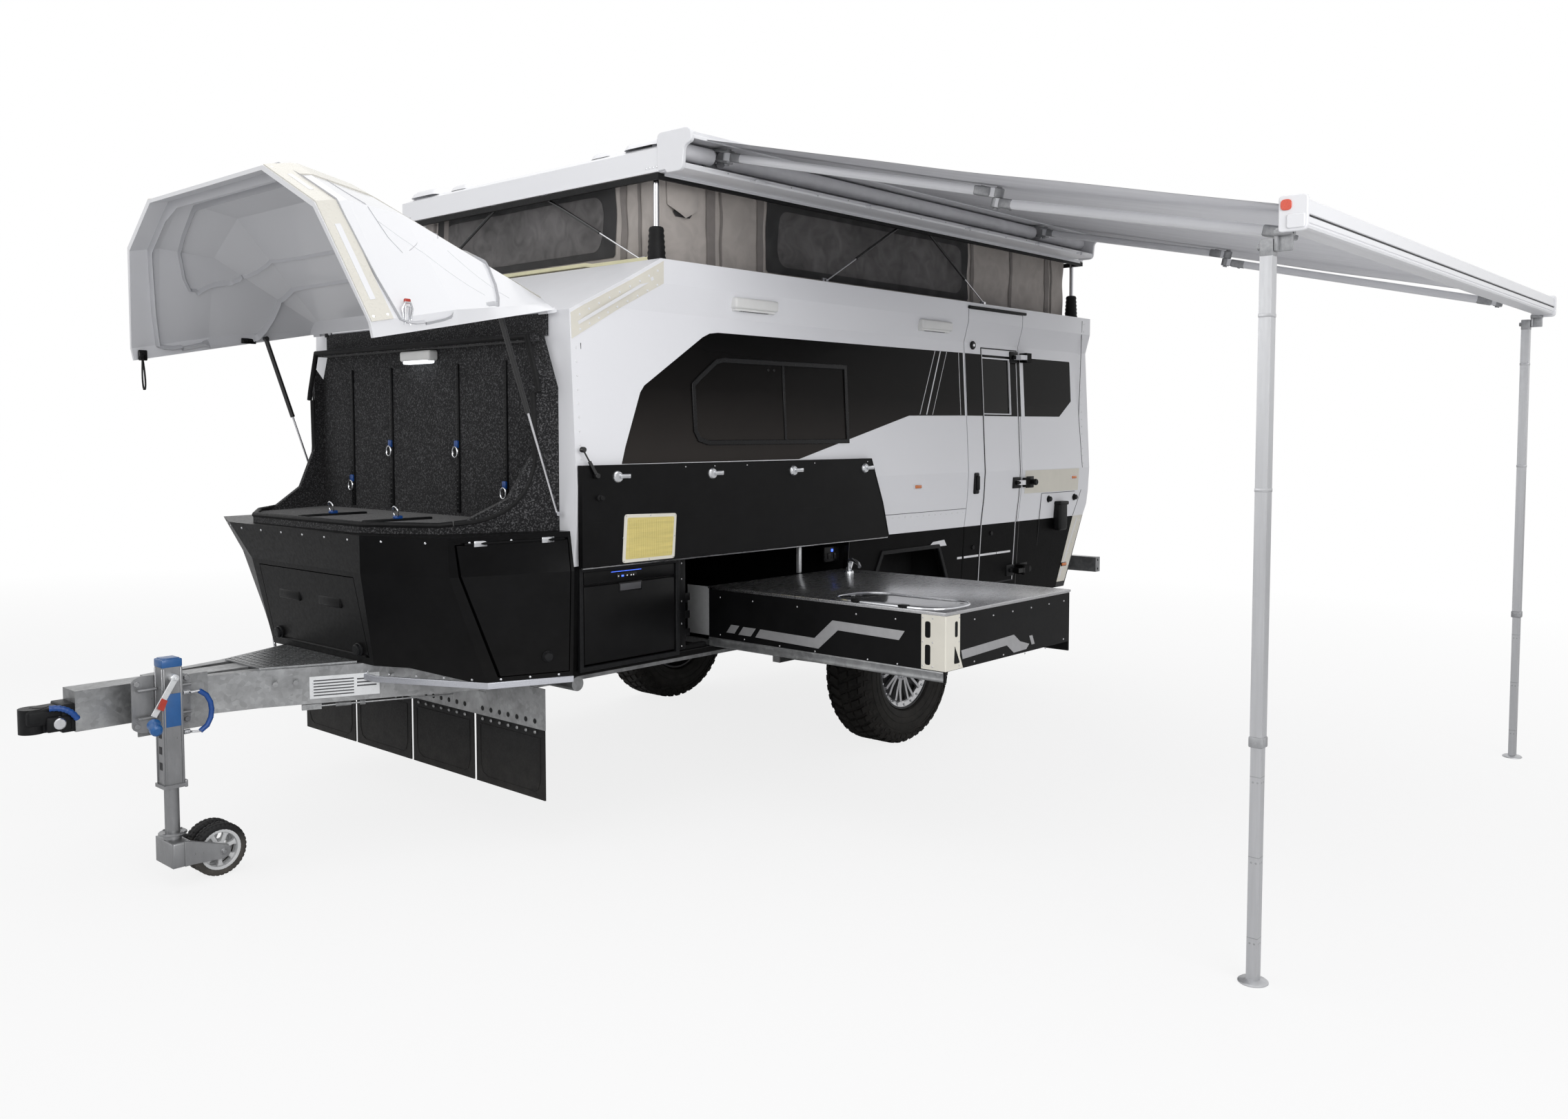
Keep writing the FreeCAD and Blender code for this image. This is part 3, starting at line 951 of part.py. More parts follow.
def make_lead_rail():
    """Lead rail at the awning's outer edge, with a tongue and pin for each arm's tip."""
    rail = plate("LeadRail", "YZ", "-lead_back",
                 [("lead_y", "lead_low"), ("lead_y + lead_depth", "lead_low"),
                  ("lead_y + lead_depth", "lead_low + lead_height"), ("lead_y", "lead_low + lead_height")],
                 "lead_back - lead_front")
    pieces = [rail]
    for name, place in (("Front", "shoulder_front"), ("Back", "shoulder_back")):
        tongue = new_body("Tongue" + name)
        points = [("-arm_pin - 8", "-arm_pin - 8"), ("arm_pin + 8", "-arm_pin - 8"), ("arm_pin + 8", "60"),
                  ("-arm_pin - 8", "60")]
        pad(tongue, outline(tongue, "TonguePlan" + name, "XY", "arm_gap / 2 + 1", points), "8")
        pad(tongue, circle(tongue, "TonguePin" + name, "XY", "-arm_thick - arm_gap / 2", "0", "0", "arm_pin"),
            "arm_thick + arm_gap + 4")
        seat(tongue, "-" + place, "shoulder_y + cos(slope) * arm_reach", "shoulder_z - sin(slope) * arm_reach",
             (TILT,))
        pieces.append(tongue)
    for name, place in (("Front", "leg_front"), ("Back", "leg_back")):
        pieces.append(block("LegLug" + name, "-%s - 4" % place, "leg_y + leg_half + 2", "leg_pivot - 14", "8",
                            "lead_y + 20 - leg_y - leg_half - 2", "lead_low - leg_pivot + 20"))
        pieces.append(rod("LegPin" + name, "y", "-" + place, "leg_y - leg_half - 4", "leg_pivot", "leg_pin",
                          "2 * leg_half + 8"))
    subpart("lead_rail", fuse("LeadRailSolid", pieces))


def make_fabric():
    """Awning cloth from the case's lip to the lead rail."""
    inner = ("roof_half + case_depth + soft_gap", "case_low + case_height - 20")
    outer = ("lead_y - soft_gap", "lead_low + lead_height - 6")
    points = [inner, outer] + [(u, v + " - fabric_thick") for u, v in (outer, inner)]
    subpart("awning_fabric", plate("Cloth", "YZ", "-case_back + 20", points, "case_back - case_front - 100"))


def make_awning_legs():
    """Telescopic square legs hung from the lead rail."""
    for name, place in (("front", "leg_front"), ("back", "leg_back")):
        x = "-" + place
        outer = block("LegOuter" + name, x + " - leg_half", "leg_y - leg_half", "leg_outer_low", "2 * leg_half",
                      "2 * leg_half", "leg_pivot + leg_half - leg_outer_low")
        inside = "leg_half - leg_wall"
        hollow = block("LegHollow" + name, "%s - (%s)" % (x, inside), "leg_y - (%s)" % inside, "leg_outer_low - 5",
                       "2 * (%s)" % inside, "2 * (%s)" % inside, "leg_pivot - 30 - leg_outer_low")
        bore = rod("LegBore" + name, "y", x, "leg_y - leg_half - 5", "leg_pivot", "leg_pin + running",
                   "2 * leg_half + 10")
        tube = minus("LegTube" + name, outer, fuse("LegVoids" + name, [hollow, bore]))
        subpart("leg_outer_" + name, tube)
        inner = block("LegInner" + name, x + " - leg_inner_half", "leg_y - leg_inner_half", "foot_thick - 1",
                      "2 * leg_inner_half", "2 * leg_inner_half", "leg_outer_low + leg_overlap - foot_thick + 1")
        foot = rod("Foot" + name, "z", x, "leg_y", "0", "foot_half", "foot_thick")
        subpart("leg_inner_" + name, fuse("LegFoot" + name, [inner, foot]))


def make_kitchen():
    """Pull-out kitchen: drawer box with its top, slides in three stages, fridge and folded-up hatch."""
    x = "-front - drawer_front - drawer_width"
    inner_end = "drawer_out - drawer_length"
    box = block("DrawerBox", x, inner_end, "drawer_low", "drawer_width", "drawer_length",
                "drawer_top - top_thick - drawer_low")
    hollow = block("DrawerHollow", x + " + drawer_wall", inner_end + " + drawer_wall", "drawer_low + drawer_wall",
                   "drawer_width - 2 * drawer_wall", "drawer_length - 2 * drawer_wall", "drawer_top")
    moving = [minus("DrawerShell", box, hollow)]
    middle = []
    fixed = []
    step = "slide_thick + slide_gap"
    floor = "floor_base + floor_thick"
    for name, base, sign in (("Rear", x, "+"), ("Front", x + " + drawer_width - slide_thick", "-")):
        moving.append(block("SlideOuter" + name, base, inner_end, "slide_low", "slide_thick", "drawer_length",
                            "drawer_low - slide_low"))
        middle.append(block("SlideMiddle" + name, "%s %s (%s)" % (base, sign, step),
                            inner_end + " - drawer_stroke / 2", "slide_low", "slide_thick", "slide_length",
                            "slide_height"))
        fixed.append(block("SlideFixed" + name, "%s %s 2 * (%s)" % (base, sign, step),
                           "slide_end - slide_length", floor, "slide_thick", "slide_length",
                           "slide_low + slide_height - (%s)" % floor))
    subpart("kitchen_drawer", fuse("DrawerSolid", moving))
    subpart("kitchen_slide_middle", fuse("SlideMiddle", middle))
    subpart("kitchen_slide_fixed", fuse("SlideFixed", fixed))
    top = block("DrawerTop", x, inner_end, "drawer_top - top_thick", "drawer_width", "drawer_length", "top_thick")
    bowl = block("SinkBowl", x + " + 120", inner_end + " + 700", "drawer_top - sink_depth", "560", "400",
                 "sink_depth")
    basin = block("SinkHollow", x + " + 124", inner_end + " + 704", "drawer_top - sink_depth + 4", "552", "392",
                  "sink_depth")
    subpart("kitchen_top", minus("KitchenTop", fuse("TopSolids", [top, bowl]), basin))
    fridge = block("FridgeBox", "-front - fridge_start - fridge_width + 6", "base_half + 12 - fridge_depth",
                   "bay_low + 20", "fridge_width - 12", "fridge_depth", "bay_high - bay_low - 26")
    foot = block("FridgeFoot", "-front - fridge_start - fridge_width + 30", "base_half - fridge_depth + 20",
                 floor, "fridge_width - 60", "fridge_depth - 80", "bay_low + 21 - (%s)" % floor)
    subpart("fridge", fuse("Fridge", [fridge, foot]))
    front = "-front - hatch_front"
    hatch = [(front, "hatch_low"), (front, "hatch_high"), ("-front - hatch_back_high", "hatch_high"),
             ("-front - hatch_back_mid", "hatch_crease"), ("-front - hatch_back_low", "hatch_low")]
    subpart("kitchen_hatch", plate("Hatch", "XZ", "bulge_half + soft_gap", hatch, "hatch_thick"))


def make_jack():
    """Swing jack beside the drawbar: sleeve, crank leg, caster fork and twin jockey wheels."""
    sleeve = new_body("JackSleeve")
    square = [("-jack_x - jack_half", "jack_y - jack_half"), ("-jack_x + jack_half", "jack_y - jack_half"),
              ("-jack_x + jack_half", "jack_y + jack_half"), ("-jack_x - jack_half", "jack_y + jack_half")]
    pad(sleeve, outline(sleeve, "SleevePlan", "XY", "jack_low", square), "jack_high - jack_low")
    cut(sleeve, circle(sleeve, "SleeveRound", "XY", "jack_low", "-jack_x", "jack_y", "jack_bore + running"),
        "2 * (jack_high - jack_low - 15)")
    cut(sleeve, circle(sleeve, "PivotRound", "XZ", "jack_y - jack_half", "-jack_x", "jack_pivot",
                       "swing_pin + running"), "8")
    subpart("jack_sleeve", sleeve)
    leg = new_body("JackLeg")
    pad(leg, circle(leg, "LegRound", "XY", "jack_leg_low", "-jack_x", "jack_y", "jack_bore"),
        "jack_leg_high - jack_leg_low")
    cut(leg, circle(leg, "StemRound", "XY", "jack_leg_low", "-jack_x", "jack_y", "stem_radius + running"),
        "2 * (stem_high - jack_leg_low + 2)")
    subpart("jack_leg", leg)
    foot = "fork_height - 10"
    pieces = [rod("Stem", "z", "-jack_x", "jack_y", "fork_height", "stem_radius", "stem_high - fork_height"),
              block("ForkHead", "-jack_x - 32", "jack_y - fork_half", foot, "64", "2 * fork_half",
                    "jack_leg_low - 2 - (%s)" % foot)]
    for name, start in (("Left", "jack_y + fork_half - fork_thick"), ("Right", "jack_y - fork_half")):
        cheek = [("-jack_x - 30", foot), ("-jack_x - 30", "jack_leg_low - 2"),
                 ("-jack_x - trail - 20", "jockey_radius + 22"), ("-jack_x - trail - 20", "jockey_radius - 22")]
        pieces.append(plate("Cheek" + name, "XZ", start, cheek, "fork_thick"))
    room = rod("WheelRoom", "y", "-jack_x - trail", "jack_y - fork_half + fork_thick", "jockey_radius",
               "jockey_radius + 8", "2 * (fork_half - fork_thick)")
    bore = rod("AxleRoom", "y", "-jack_x - trail", "jack_y - fork_half - 5", "jockey_radius",
               "jockey_pin + running", "2 * fork_half + 10")
    subpart("jockey_fork", minus("Fork", fuse("ForkSolid", pieces), fuse("ForkVoids", [room, bore])))
    wheels = []
    for name, start in (("Left", "jack_y + jockey_gap / 2"), ("Right", "jack_y - jockey_gap / 2 - jockey_width")):
        wheels.append(rod("Jockey" + name, "y", "-jack_x - trail", start, "jockey_radius", "jockey_radius",
                          "jockey_width"))
    wheels.append(rod("JockeyAxle", "y", "-jack_x - trail", "jack_y - fork_half", "jockey_radius", "jockey_pin",
                      "2 * fork_half"))
    subpart("jockey_wheels", fuse("JockeyWheels", wheels))


def pane_in_wall(name, side, points):
    """Pane that follows the wall's middle inside an outline seen from the side."""
    deep = "wall / 2 + window_thick / 2"
    shallow = "wall / 2 - window_thick / 2"
    band = [("bulge_half - (%s)" % shallow, "bulge_height"), ("eave_low_half - (%s)" % shallow, "eave_low"),
            ("eave_low_half - (%s)" % deep, "eave_low"), ("bulge_half - (%s)" % deep, "bulge_height")]
    band = [(signed(side, u), v) for u, v in band]
    slab = plate(name + "Slab", "YZ", "-front - body_length", band, "body_length")
    start = "0" if side > 0 else "-2 * bulge_half"
    return common(name, slab, plate(name + "Shape", "XZ", start, points, "2 * bulge_half"))


def door_pane_points(inset):
    """Window of the entry door, shrunk by an inset."""
    start = "-front - door_start - door_pane_start - %s" % inset
    end = "-front - door_start - door_pane_start - door_pane_width + %s" % inset
    low = "door_pane_low + %s" % inset
    high = "door_pane_high - %s" % inset
    return [(start, low), (end, low), (end, high), (start, high)]


def box_form(name, inset, lift, high):
    """Solid of the front box, its underside raised in the middle to clear the drawbar."""
    body = new_body(name)
    loft(body, [outline(body, "%sRing%d" % (name, number), "XY", height, points)
                for number, (height, points) in enumerate(box_rings(inset, "floor_base + " + lift, high))])
    half = [("box_rise_outer", "floor_base - 5"), ("box_rise_outer", "floor_base + " + lift),
            ("box_rise_inner", "box_centre + " + lift)]
    points = half + [("-" + u, v) for u, v in reversed(half)]
    cut(body, outline(body, name + "Under", "YZ", "-front", points), "4 * front")
    return body


def surface_x(height):
    """Front face of the box at a height between its lowest ring and its crease."""
    return ("-nose_x_low + (nose_x_low - nose_x_mid) * (%s - floor_base) / (box_crease - floor_base)" % height)


def side_door_points(gap):
    """Side locker's outline seen from the side, its front edge parallel to the box's corner."""
    back = "-front + side_margin + %s" % gap
    edge = "side_edge - 2.5 * %s" % gap
    return [(back, "side_low + %s" % gap), ("-corner_x_low - " + edge, "side_low + %s" % gap),
            ("-corner_x_mid - " + edge, "box_crease"), ("-corner_x_top - " + edge, "side_high - %s" % gap),
            (back, "side_high - %s" % gap)]


def wall_strips():
    """Flat strips inside the top of the walls that the tent is clamped to, clear of the guide posts."""
    clear = "post_half - sleeve_radius - 8"
    side_run = "tent_back - tent_front - 2 * ring_lip - 2 * soft_gap"
    strips = [block("StripFront", "-tent_front - ring_lip", "-(%s)" % clear, "ring_low",
                    "tent_front + ring_lip - front - slope_run - wall", "2 * (%s)" % clear, "ring_thick"),
              block("StripRear", "-front - body_length + wall", "-(%s)" % clear, "ring_low",
                    "front + body_length - wall - tent_back + ring_lip", "2 * (%s)" % clear, "ring_thick")]
    for name, side in SIDES:
        start = "tent_half - ring_lip" if side > 0 else "-(eave_half - wall)"
        strips.append(block("Strip" + name, "-tent_back + ring_lip + soft_gap", start, "ring_low", side_run,
                            "eave_half - wall - tent_half + ring_lip", "ring_thick"))
    return strips


def thick_band(side):
    """Section through one side wall and the space outside it."""
    inner = [(signed(side, u + " - wall"), v) for u, v in SECTION]
    outer = [(signed(side, u + " + wall"), v) for u, v in reversed(SECTION)]
    return inner + outer

make_chassis()
make_coupling()
make_deck()
make_flap_bar()
make_swing_arms()
for wheel_name, wheel_side in SIDES:
    make_wheel(wheel_name, wheel_side)
    make_side_wall(wheel_name, wheel_side)
make_windows()
make_end_walls()
make_floor()
make_entry_door()
make_front_box()
make_boot_tub()
make_boot_lid()
make_lid_struts()
make_roof()
make_roof_struts()
make_tent()
make_awning_case()
make_awning_arms()
make_lead_rail()
make_fabric()
make_awning_legs()
make_kitchen()
make_jack()

doc.recompute()
for thing in doc.Objects:
    if "Invalid" in thing.State or "Error" in thing.State:
        raise RuntimeError("%s failed: %s" % (thing.Name, thing.State))
for thing in SUBPARTS:
    if thing.Shape.isNull() or not thing.Shape.isValid():
        raise RuntimeError("%s has no valid shape" % thing.Label)

os.makedirs("parts", exist_ok=True)
for thing in SUBPARTS:
    thing.Shape.exportStep("parts/%s.step" % thing.Label)
    print("%-26s solids %d volume %.0f" % (thing.Label, len(thing.Shape.Solids), thing.Shape.Volume))
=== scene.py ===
"""An off-road pop-top caravan dressed over its solid model, standing open as it is sold.

The file follows the caravan as it is put together: studio, chassis, running gear, body, front box, boot,
roof and tent, awning, kitchen, jack and rear wall. Lengths are metres, and heights are given above the
ground.
"""

import bmesh
import bpy
import numpy as np
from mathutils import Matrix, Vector


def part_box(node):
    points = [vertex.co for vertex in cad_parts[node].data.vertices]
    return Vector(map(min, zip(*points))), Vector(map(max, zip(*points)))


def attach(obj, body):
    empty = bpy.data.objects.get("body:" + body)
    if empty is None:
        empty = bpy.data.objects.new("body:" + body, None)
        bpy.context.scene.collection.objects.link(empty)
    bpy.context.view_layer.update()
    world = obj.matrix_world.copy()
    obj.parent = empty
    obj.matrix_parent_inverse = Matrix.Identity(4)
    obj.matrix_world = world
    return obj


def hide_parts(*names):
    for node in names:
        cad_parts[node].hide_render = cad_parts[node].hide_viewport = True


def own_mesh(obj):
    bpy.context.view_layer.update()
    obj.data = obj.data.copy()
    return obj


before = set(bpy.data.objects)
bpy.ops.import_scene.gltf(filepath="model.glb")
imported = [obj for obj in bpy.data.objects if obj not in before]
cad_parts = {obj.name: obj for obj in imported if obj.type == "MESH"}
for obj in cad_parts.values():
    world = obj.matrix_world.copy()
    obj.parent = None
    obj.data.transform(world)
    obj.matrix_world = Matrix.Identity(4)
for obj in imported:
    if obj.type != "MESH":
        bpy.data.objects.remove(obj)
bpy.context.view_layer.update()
GROUND = -0.66

# The studio. A pale floor and a white surround, one broad soft lamp overhead, one high on the kerb side
# behind the camera and a weaker one off the nose, so that the white body shades softly.
camera = bpy.data.objects.new("camera", bpy.data.cameras.new("camera"))
bpy.context.scene.collection.objects.link(camera)
bpy.context.scene.camera = camera
frame_pixels, focal_pixels, shift_pixels = 2275, 1804.43, -85.05
camera.data.sensor_width = 36.0
camera.data.lens = camera.data.sensor_width * focal_pixels / frame_pixels
camera.data.shift_y = shift_pixels / frame_pixels
camera.data.clip_end = 200.0
heading, dip = 0.724256, 0.055230
sight = Vector((-np.cos(heading) * np.cos(dip), -np.sin(heading) * np.cos(dip), -np.sin(dip)))
camera.location = (1.535, 4.9756, GROUND + 1.7002)
camera.rotation_euler = sight.to_track_quat("-Z", "Y").to_euler()
bpy.context.scene.view_settings.view_transform = "Standard"


def wire(node, inputs):
    """Gives a shader node its inputs, each as a value or as a socket to link."""
    for key, value in inputs.items():
        if isinstance(value, bpy.types.NodeSocket):
            node.id_data.links.new(value, node.inputs[key])
        else:
            node.inputs[key].default_value = value


def add(tree, kind, inputs=None, **settings):
    """Adds a shader node, with its settings by name and its inputs as above."""
    made = tree.nodes.new("ShaderNode" + kind)
    for key, value in settings.items():
        setattr(made, key, value)
    wire(made, inputs or {})
    return made


def ramp(tree, source, low, high, start=0.0, end=1.0):
    """A blend between two colours, driven by a value that runs from start to end."""
    made = add(tree, "ValToRGB", {0: source})
    for element, place, colour in zip(made.color_ramp.elements, (start, end), (low, high)):
        element.position = place
        element.color = (*colour, 1)
    return made


def lamp(name, place, target, width, height, power):
    """A rectangular soft lamp that faces a point."""
    data = bpy.data.lights.new(name, "AREA")
    data.shape = "RECTANGLE"
    data.size = width
    data.size_y = height
    data.energy = power
    made = bpy.data.objects.new(name, data)
    made.location = place
    made.rotation_euler = (Vector(target) - Vector(place)).to_track_quat("-Z", "Y").to_euler()
    bpy.context.scene.collection.objects.link(made)


lamp("overhead", (-2.5, 0.5, 5.2), (-2.5, 0.5, 0.0), 9.0, 7.0, 160)
lamp("kerb_side", (1.0, 9.0, 3.0), (-2.9, 0.6, 0.6), 6.0, 4.0, 340)
lamp("off_nose", (6.0, -1.5, 2.6), (-1.2, 0.0, 0.6), 4.0, 3.0, 80)

surround = bpy.data.worlds.new("surround")
bpy.context.scene.world = surround
surround.use_nodes = True
sky = surround.node_tree
sky.nodes.clear()
ray = add(sky, "LightPath")
seen = add(sky, "Math", {0: ray.outputs["Is Camera Ray"], 1: ray.outputs["Is Glossy Ray"]},
           operation="MAXIMUM")
seen = add(sky, "Math", {0: seen.outputs[0], 1: ray.outputs["Is Transmission Ray"]}, operation="MAXIMUM")
plain = add(sky, "Background", {"Color": (1, 1, 1, 1), "Strength": 0.52})
white = add(sky, "Background", {"Color": (1, 1, 1, 1), "Strength": 1.0})
both = add(sky, "MixShader", {0: seen.outputs[0], 1: plain.outputs[0], 2: white.outputs[0]})
sky.links.new(both.outputs[0], add(sky, "OutputWorld").inputs[0])

ground = bpy.data.meshes.new("studio_floor")
ground.from_pydata([(-60, -60, GROUND), (60, -60, GROUND), (60, 60, GROUND), (-60, 60, GROUND)],
                   [], [(0, 1, 2, 3)])
floor = bpy.data.objects.new("studio_floor", ground)
bpy.context.scene.collection.objects.link(floor)
paper = bpy.data.materials.new("studio_paper")
paper.use_nodes = True
tree = paper.node_tree
tree.nodes.clear()
ray = add(tree, "LightPath")
grain = add(tree, "TexNoise", {"Scale": 3.0, "Detail": 2.0})
tint = ramp(tree, grain.outputs[0], (0.80, 0.80, 0.81), (0.84, 0.84, 0.84))
matt = add(tree, "BsdfDiffuse", {"Color": tint.outputs[0]})
glow = add(tree, "Emission", {"Color": (1, 1, 1, 1), "Strength": 1.0})
place = add(tree, "TexCoord").outputs["Object"]
far = add(tree, "VectorMath", {0: place}, operation="LENGTH")
fade = add(tree, "MapRange", {0: far.outputs["Value"], 1: 5.0, 2: 12.0, 3: 0.82, 4: 1.0})
amount = add(tree, "Math", {0: ray.outputs["Is Camera Ray"], 1: fade.outputs[0]}, operation="MULTIPLY")
mixed = add(tree, "MixShader", {0: amount.outputs[0], 1: matt.outputs[0], 2: glow.outputs[0]})
tree.links.new(mixed.outputs[0], add(tree, "OutputMaterial").inputs[0])
ground.materials.append(paper)


# The chassis: two rectangular rails with cross members and an A-frame drawbar, welded in mild steel and
# hot-dip galvanised, so the metal is grey with a faint crystal pattern and darker patches.
def surface(name, inputs):
    """A new material with its shader's inputs set. Returned with its node tree and that shader."""
    made = bpy.data.materials.new(name)
    made.use_nodes = True
    shader = made.node_tree.nodes["Principled BSDF"]
    wire(shader, inputs)
    return made, made.node_tree, shader


def emboss(shader, height, strength, distance=0.001):
    """Puts relief on a surface, from a socket that gives its height."""
    bump = add(shader.id_data, "Bump", {"Height": height, "Strength": strength, "Distance": distance})
    wire(shader, {"Normal": bump.outputs[0]})


def finish(name, colour, rough, metal=0.0, coat=0.0, vary=0.06, size=4.0, relief=0.0, relief_size=350.0,
           stretch=(1, 1, 1), dust=0.0, dust_top=0.6, crystals=0.0, shine=0.5, uneven=0.07):
    """A procedural surface: a slow mottle tints it, finer noise works its gloss and relief, stretch draws
    both out along an axis as brushing does, crystals adds a zinc pattern and dust settles low down."""
    made, tree, shader = surface(name, {"Metallic": metal, "Coat Weight": coat, "Coat Roughness": 0.12,
                                        "Specular IOR Level": shine})
    place = add(tree, "TexCoord").outputs["Object"]
    drawn = add(tree, "Mapping", {"Vector": place, "Scale": stretch}).outputs[0]
    mottle = add(tree, "TexNoise", {"Vector": drawn, "Scale": size, "Detail": 6.0, "Roughness": 0.62})
    shade = ramp(tree, mottle.outputs[0], [c * (1 - vary) for c in colour],
                 [min(c * (1 + vary), 1.0) for c in colour], 0.32, 0.68).outputs[0]
    if crystals:
        cells = add(tree, "TexVoronoi", {"Vector": drawn, "Scale": 55.0, "Randomness": 1.0})
        grey = add(tree, "RGBToBW", {0: cells.outputs["Color"]})
        level = add(tree, "MapRange", {0: grey.outputs[0], 3: 1 - crystals, 4: 1 + crystals})
        shade = add(tree, "VectorMath", {0: shade, 3: level.outputs[0]}, operation="SCALE").outputs[0]
    if dust:
        parts = add(tree, "SeparateXYZ", {0: place})
        fall = add(tree, "MapRange", {0: parts.outputs[2], 1: GROUND + dust_top, 2: GROUND + 0.1,
                                      3: 0.0, 4: dust})
        spots = add(tree, "TexNoise", {"Vector": place, "Scale": 22.0, "Detail": 8.0})
        amount = add(tree, "Math", {0: fall.outputs[0], 1: spots.outputs[0]}, operation="MULTIPLY")
        shade = add(tree, "MixRGB", {0: amount.outputs[0], 1: shade, 2: (0.36, 0.33, 0.29, 1)}).outputs[0]
    fine = add(tree, "TexNoise", {"Vector": drawn, "Scale": size * 9, "Detail": 4.0})
    gloss = add(tree, "MapRange", {0: fine.outputs[0], 1: 0.3, 2: 0.7, 3: max(rough - uneven, 0.03),
                                   4: min(rough + uneven, 1.0)})
    wire(shader, {"Base Color": shade, "Roughness": gloss.outputs[0]})
    if relief:
        grain = add(tree, "TexNoise", {"Vector": drawn, "Scale": relief_size, "Detail": 3.0})
        emboss(shader, grain.outputs[0], relief)
    return made


def dress(material, *names):
    """Gives solids of the model their finish."""
    for name in names:
        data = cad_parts[name].data
        data.materials.clear()
        data.materials.append(material)


def grid(points, round_u=False, round_v=False):
    """A surface over a grid of points, rows by columns, with a quad between each four neighbours."""
    rows, columns = points.shape[:2]
    u = np.arange(rows if round_u else rows - 1)[:, None]
    v = np.arange(columns if round_v else columns - 1)[None]
    after, beside = (u + 1) % rows, (v + 1) % columns
    corners = (u * columns + v, after * columns + v, after * columns + beside, u * columns + beside)
    quads = np.stack(np.broadcast_arrays(*corners), -1).reshape(-1, 4)
    return points.reshape(-1, 3), quads, []


def unit(vectors):
    """The same directions at length one."""
    vectors = np.asarray(vectors, float)
    return vectors / np.maximum(np.linalg.norm(vectors, axis=-1, keepdims=True), 1e-12)


def carried(path, section, up=(0, 0, 1), ring=False):
    """A closed outline carried along a path and mitred at its corners. The outline's first number is
    measured to the right of the path and its second towards up."""
    path = np.asarray(path, float)
    section = np.asarray(section, float)
    turned_on = np.roll(section, -1, 0)
    if np.sum(section[:, 0] * turned_on[:, 1] - section[:, 1] * turned_on[:, 0]) < 0:
        section = section[::-1]
    steps = np.roll(path, -1, 0) - path
    ahead = unit(steps if ring else np.vstack([steps[:-1], steps[-2:-1]]))
    behind = np.roll(ahead, 1, 0)
    if not ring:
        behind[0] = ahead[0]
    along = unit(ahead + behind)
    right = unit(np.cross(along, up))
    over = np.cross(right, along)
    offset = section[None, :, :1] * right[:, None] + section[None, :, 1:] * over[:, None]
    bend = unit(ahead - behind)
    grow = 1 / np.maximum(np.sum(along * ahead, 1), 0.3) - 1
    reach = np.einsum("pqk,pk->pq", offset, bend) * grow[:, None]
    points, quads, _ = grid(path[:, None] + offset + reach[..., None] * bend[:, None], ring, True)
    count = len(section)
    ends = [] if ring else [list(range(count)), list(range(len(points) - 1, len(points) - count - 1, -1))]
    return points, quads, ends


def turned(profile, centre, axis, count=28):
    """A profile of (distance from the axis, distance along it) turned once round that axis."""
    profile = np.asarray(profile, float)
    near, far = profile[:-1], profile[1:]
    volume = np.sum((near[:, 0] ** 2 + near[:, 0] * far[:, 0] + far[:, 0] ** 2) * (far[:, 1] - near[:, 1]))
    if volume > 0:
        profile = profile[::-1]
    axis = unit(axis)
    side = unit(np.cross(axis, (0.31, 0.53, 0.79)))
    angle = np.arange(count) * 2 * np.pi / count
    spokes = np.cos(angle)[:, None] * side + np.sin(angle)[:, None] * np.cross(axis, side)
    points = np.asarray(centre, float) + profile[:, :1, None] * spokes[None] + profile[:, 1:, None] * axis
    return grid(points, False, True)


def domes(places, facing, radius, height=None, count=8):
    """Low domed heads, one at each place, each a quarter arc turned round the way that it faces."""
    places = np.asarray(places, float).reshape(-1, 3)
    facing = unit(np.broadcast_to(np.asarray(facing, float), places.shape))
    rise = np.linspace(np.pi / 2, 0, 3)
    angle = np.arange(count) * 2 * np.pi / count
    side = unit(np.cross(facing, (0.31, 0.53, 0.79)))
    third = np.cross(facing, side)
    spokes = np.cos(angle)[:, None, None] * side + np.sin(angle)[:, None, None] * third
    heads = (places[None, None] + radius * np.cos(rise)[:, None, None, None] * spokes[None]
             + (height or radius * 0.6) * np.sin(rise)[:, None, None, None] * facing[None, None])
    heads = heads.transpose(2, 0, 1, 3)
    _, quads, _ = grid(heads[0], False, True)
    steps = np.arange(len(places))[:, None, None] * heads.shape[1] * count
    return heads.reshape(-1, 3), (quads[None] + steps).reshape(-1, 4), []


def rounded_box(low, high, radius=0.002, steps=2):
    """A box with rounded edges: a sphere's points, each pushed out to the corner on its own side."""
    low, high = np.minimum(low, high).astype(float), np.maximum(low, high).astype(float)
    half = (high - low) / 2
    radius = min(radius, half.min() * 0.98)
    quarter = np.linspace(0, np.pi / 2, steps + 1)
    turn = np.concatenate([quarter + k * np.pi / 2 for k in range(4)])[None, :, None]
    lift = np.concatenate([quarter - np.pi / 2, quarter])[::-1, None, None]
    sides = np.repeat([(1, 1), (-1, 1), (-1, -1), (1, -1)], steps + 1, 0)[None]
    height = np.repeat([1, -1], steps + 1)[:, None, None]
    signs = np.concatenate([np.broadcast_to(sides, (2 * steps + 2, 4 * steps + 4, 2)),
                            np.broadcast_to(height, (2 * steps + 2, 4 * steps + 4, 1))], -1)
    flat = np.broadcast_to(np.cos(lift), (2 * steps + 2, 4 * steps + 4, 1))
    ball = np.concatenate([flat * np.cos(turn), flat * np.sin(turn), np.sin(lift) + 0 * turn], -1)
    points, quads, _ = grid((low + high) / 2 + signs * (half - radius) + radius * ball, False, True)
    count = 4 * steps + 4
    top, bottom = np.arange(0, count, steps + 1), len(points) - 1 - np.arange(0, count, steps + 1)
    return points, quads, [top.tolist(), bottom.tolist()]


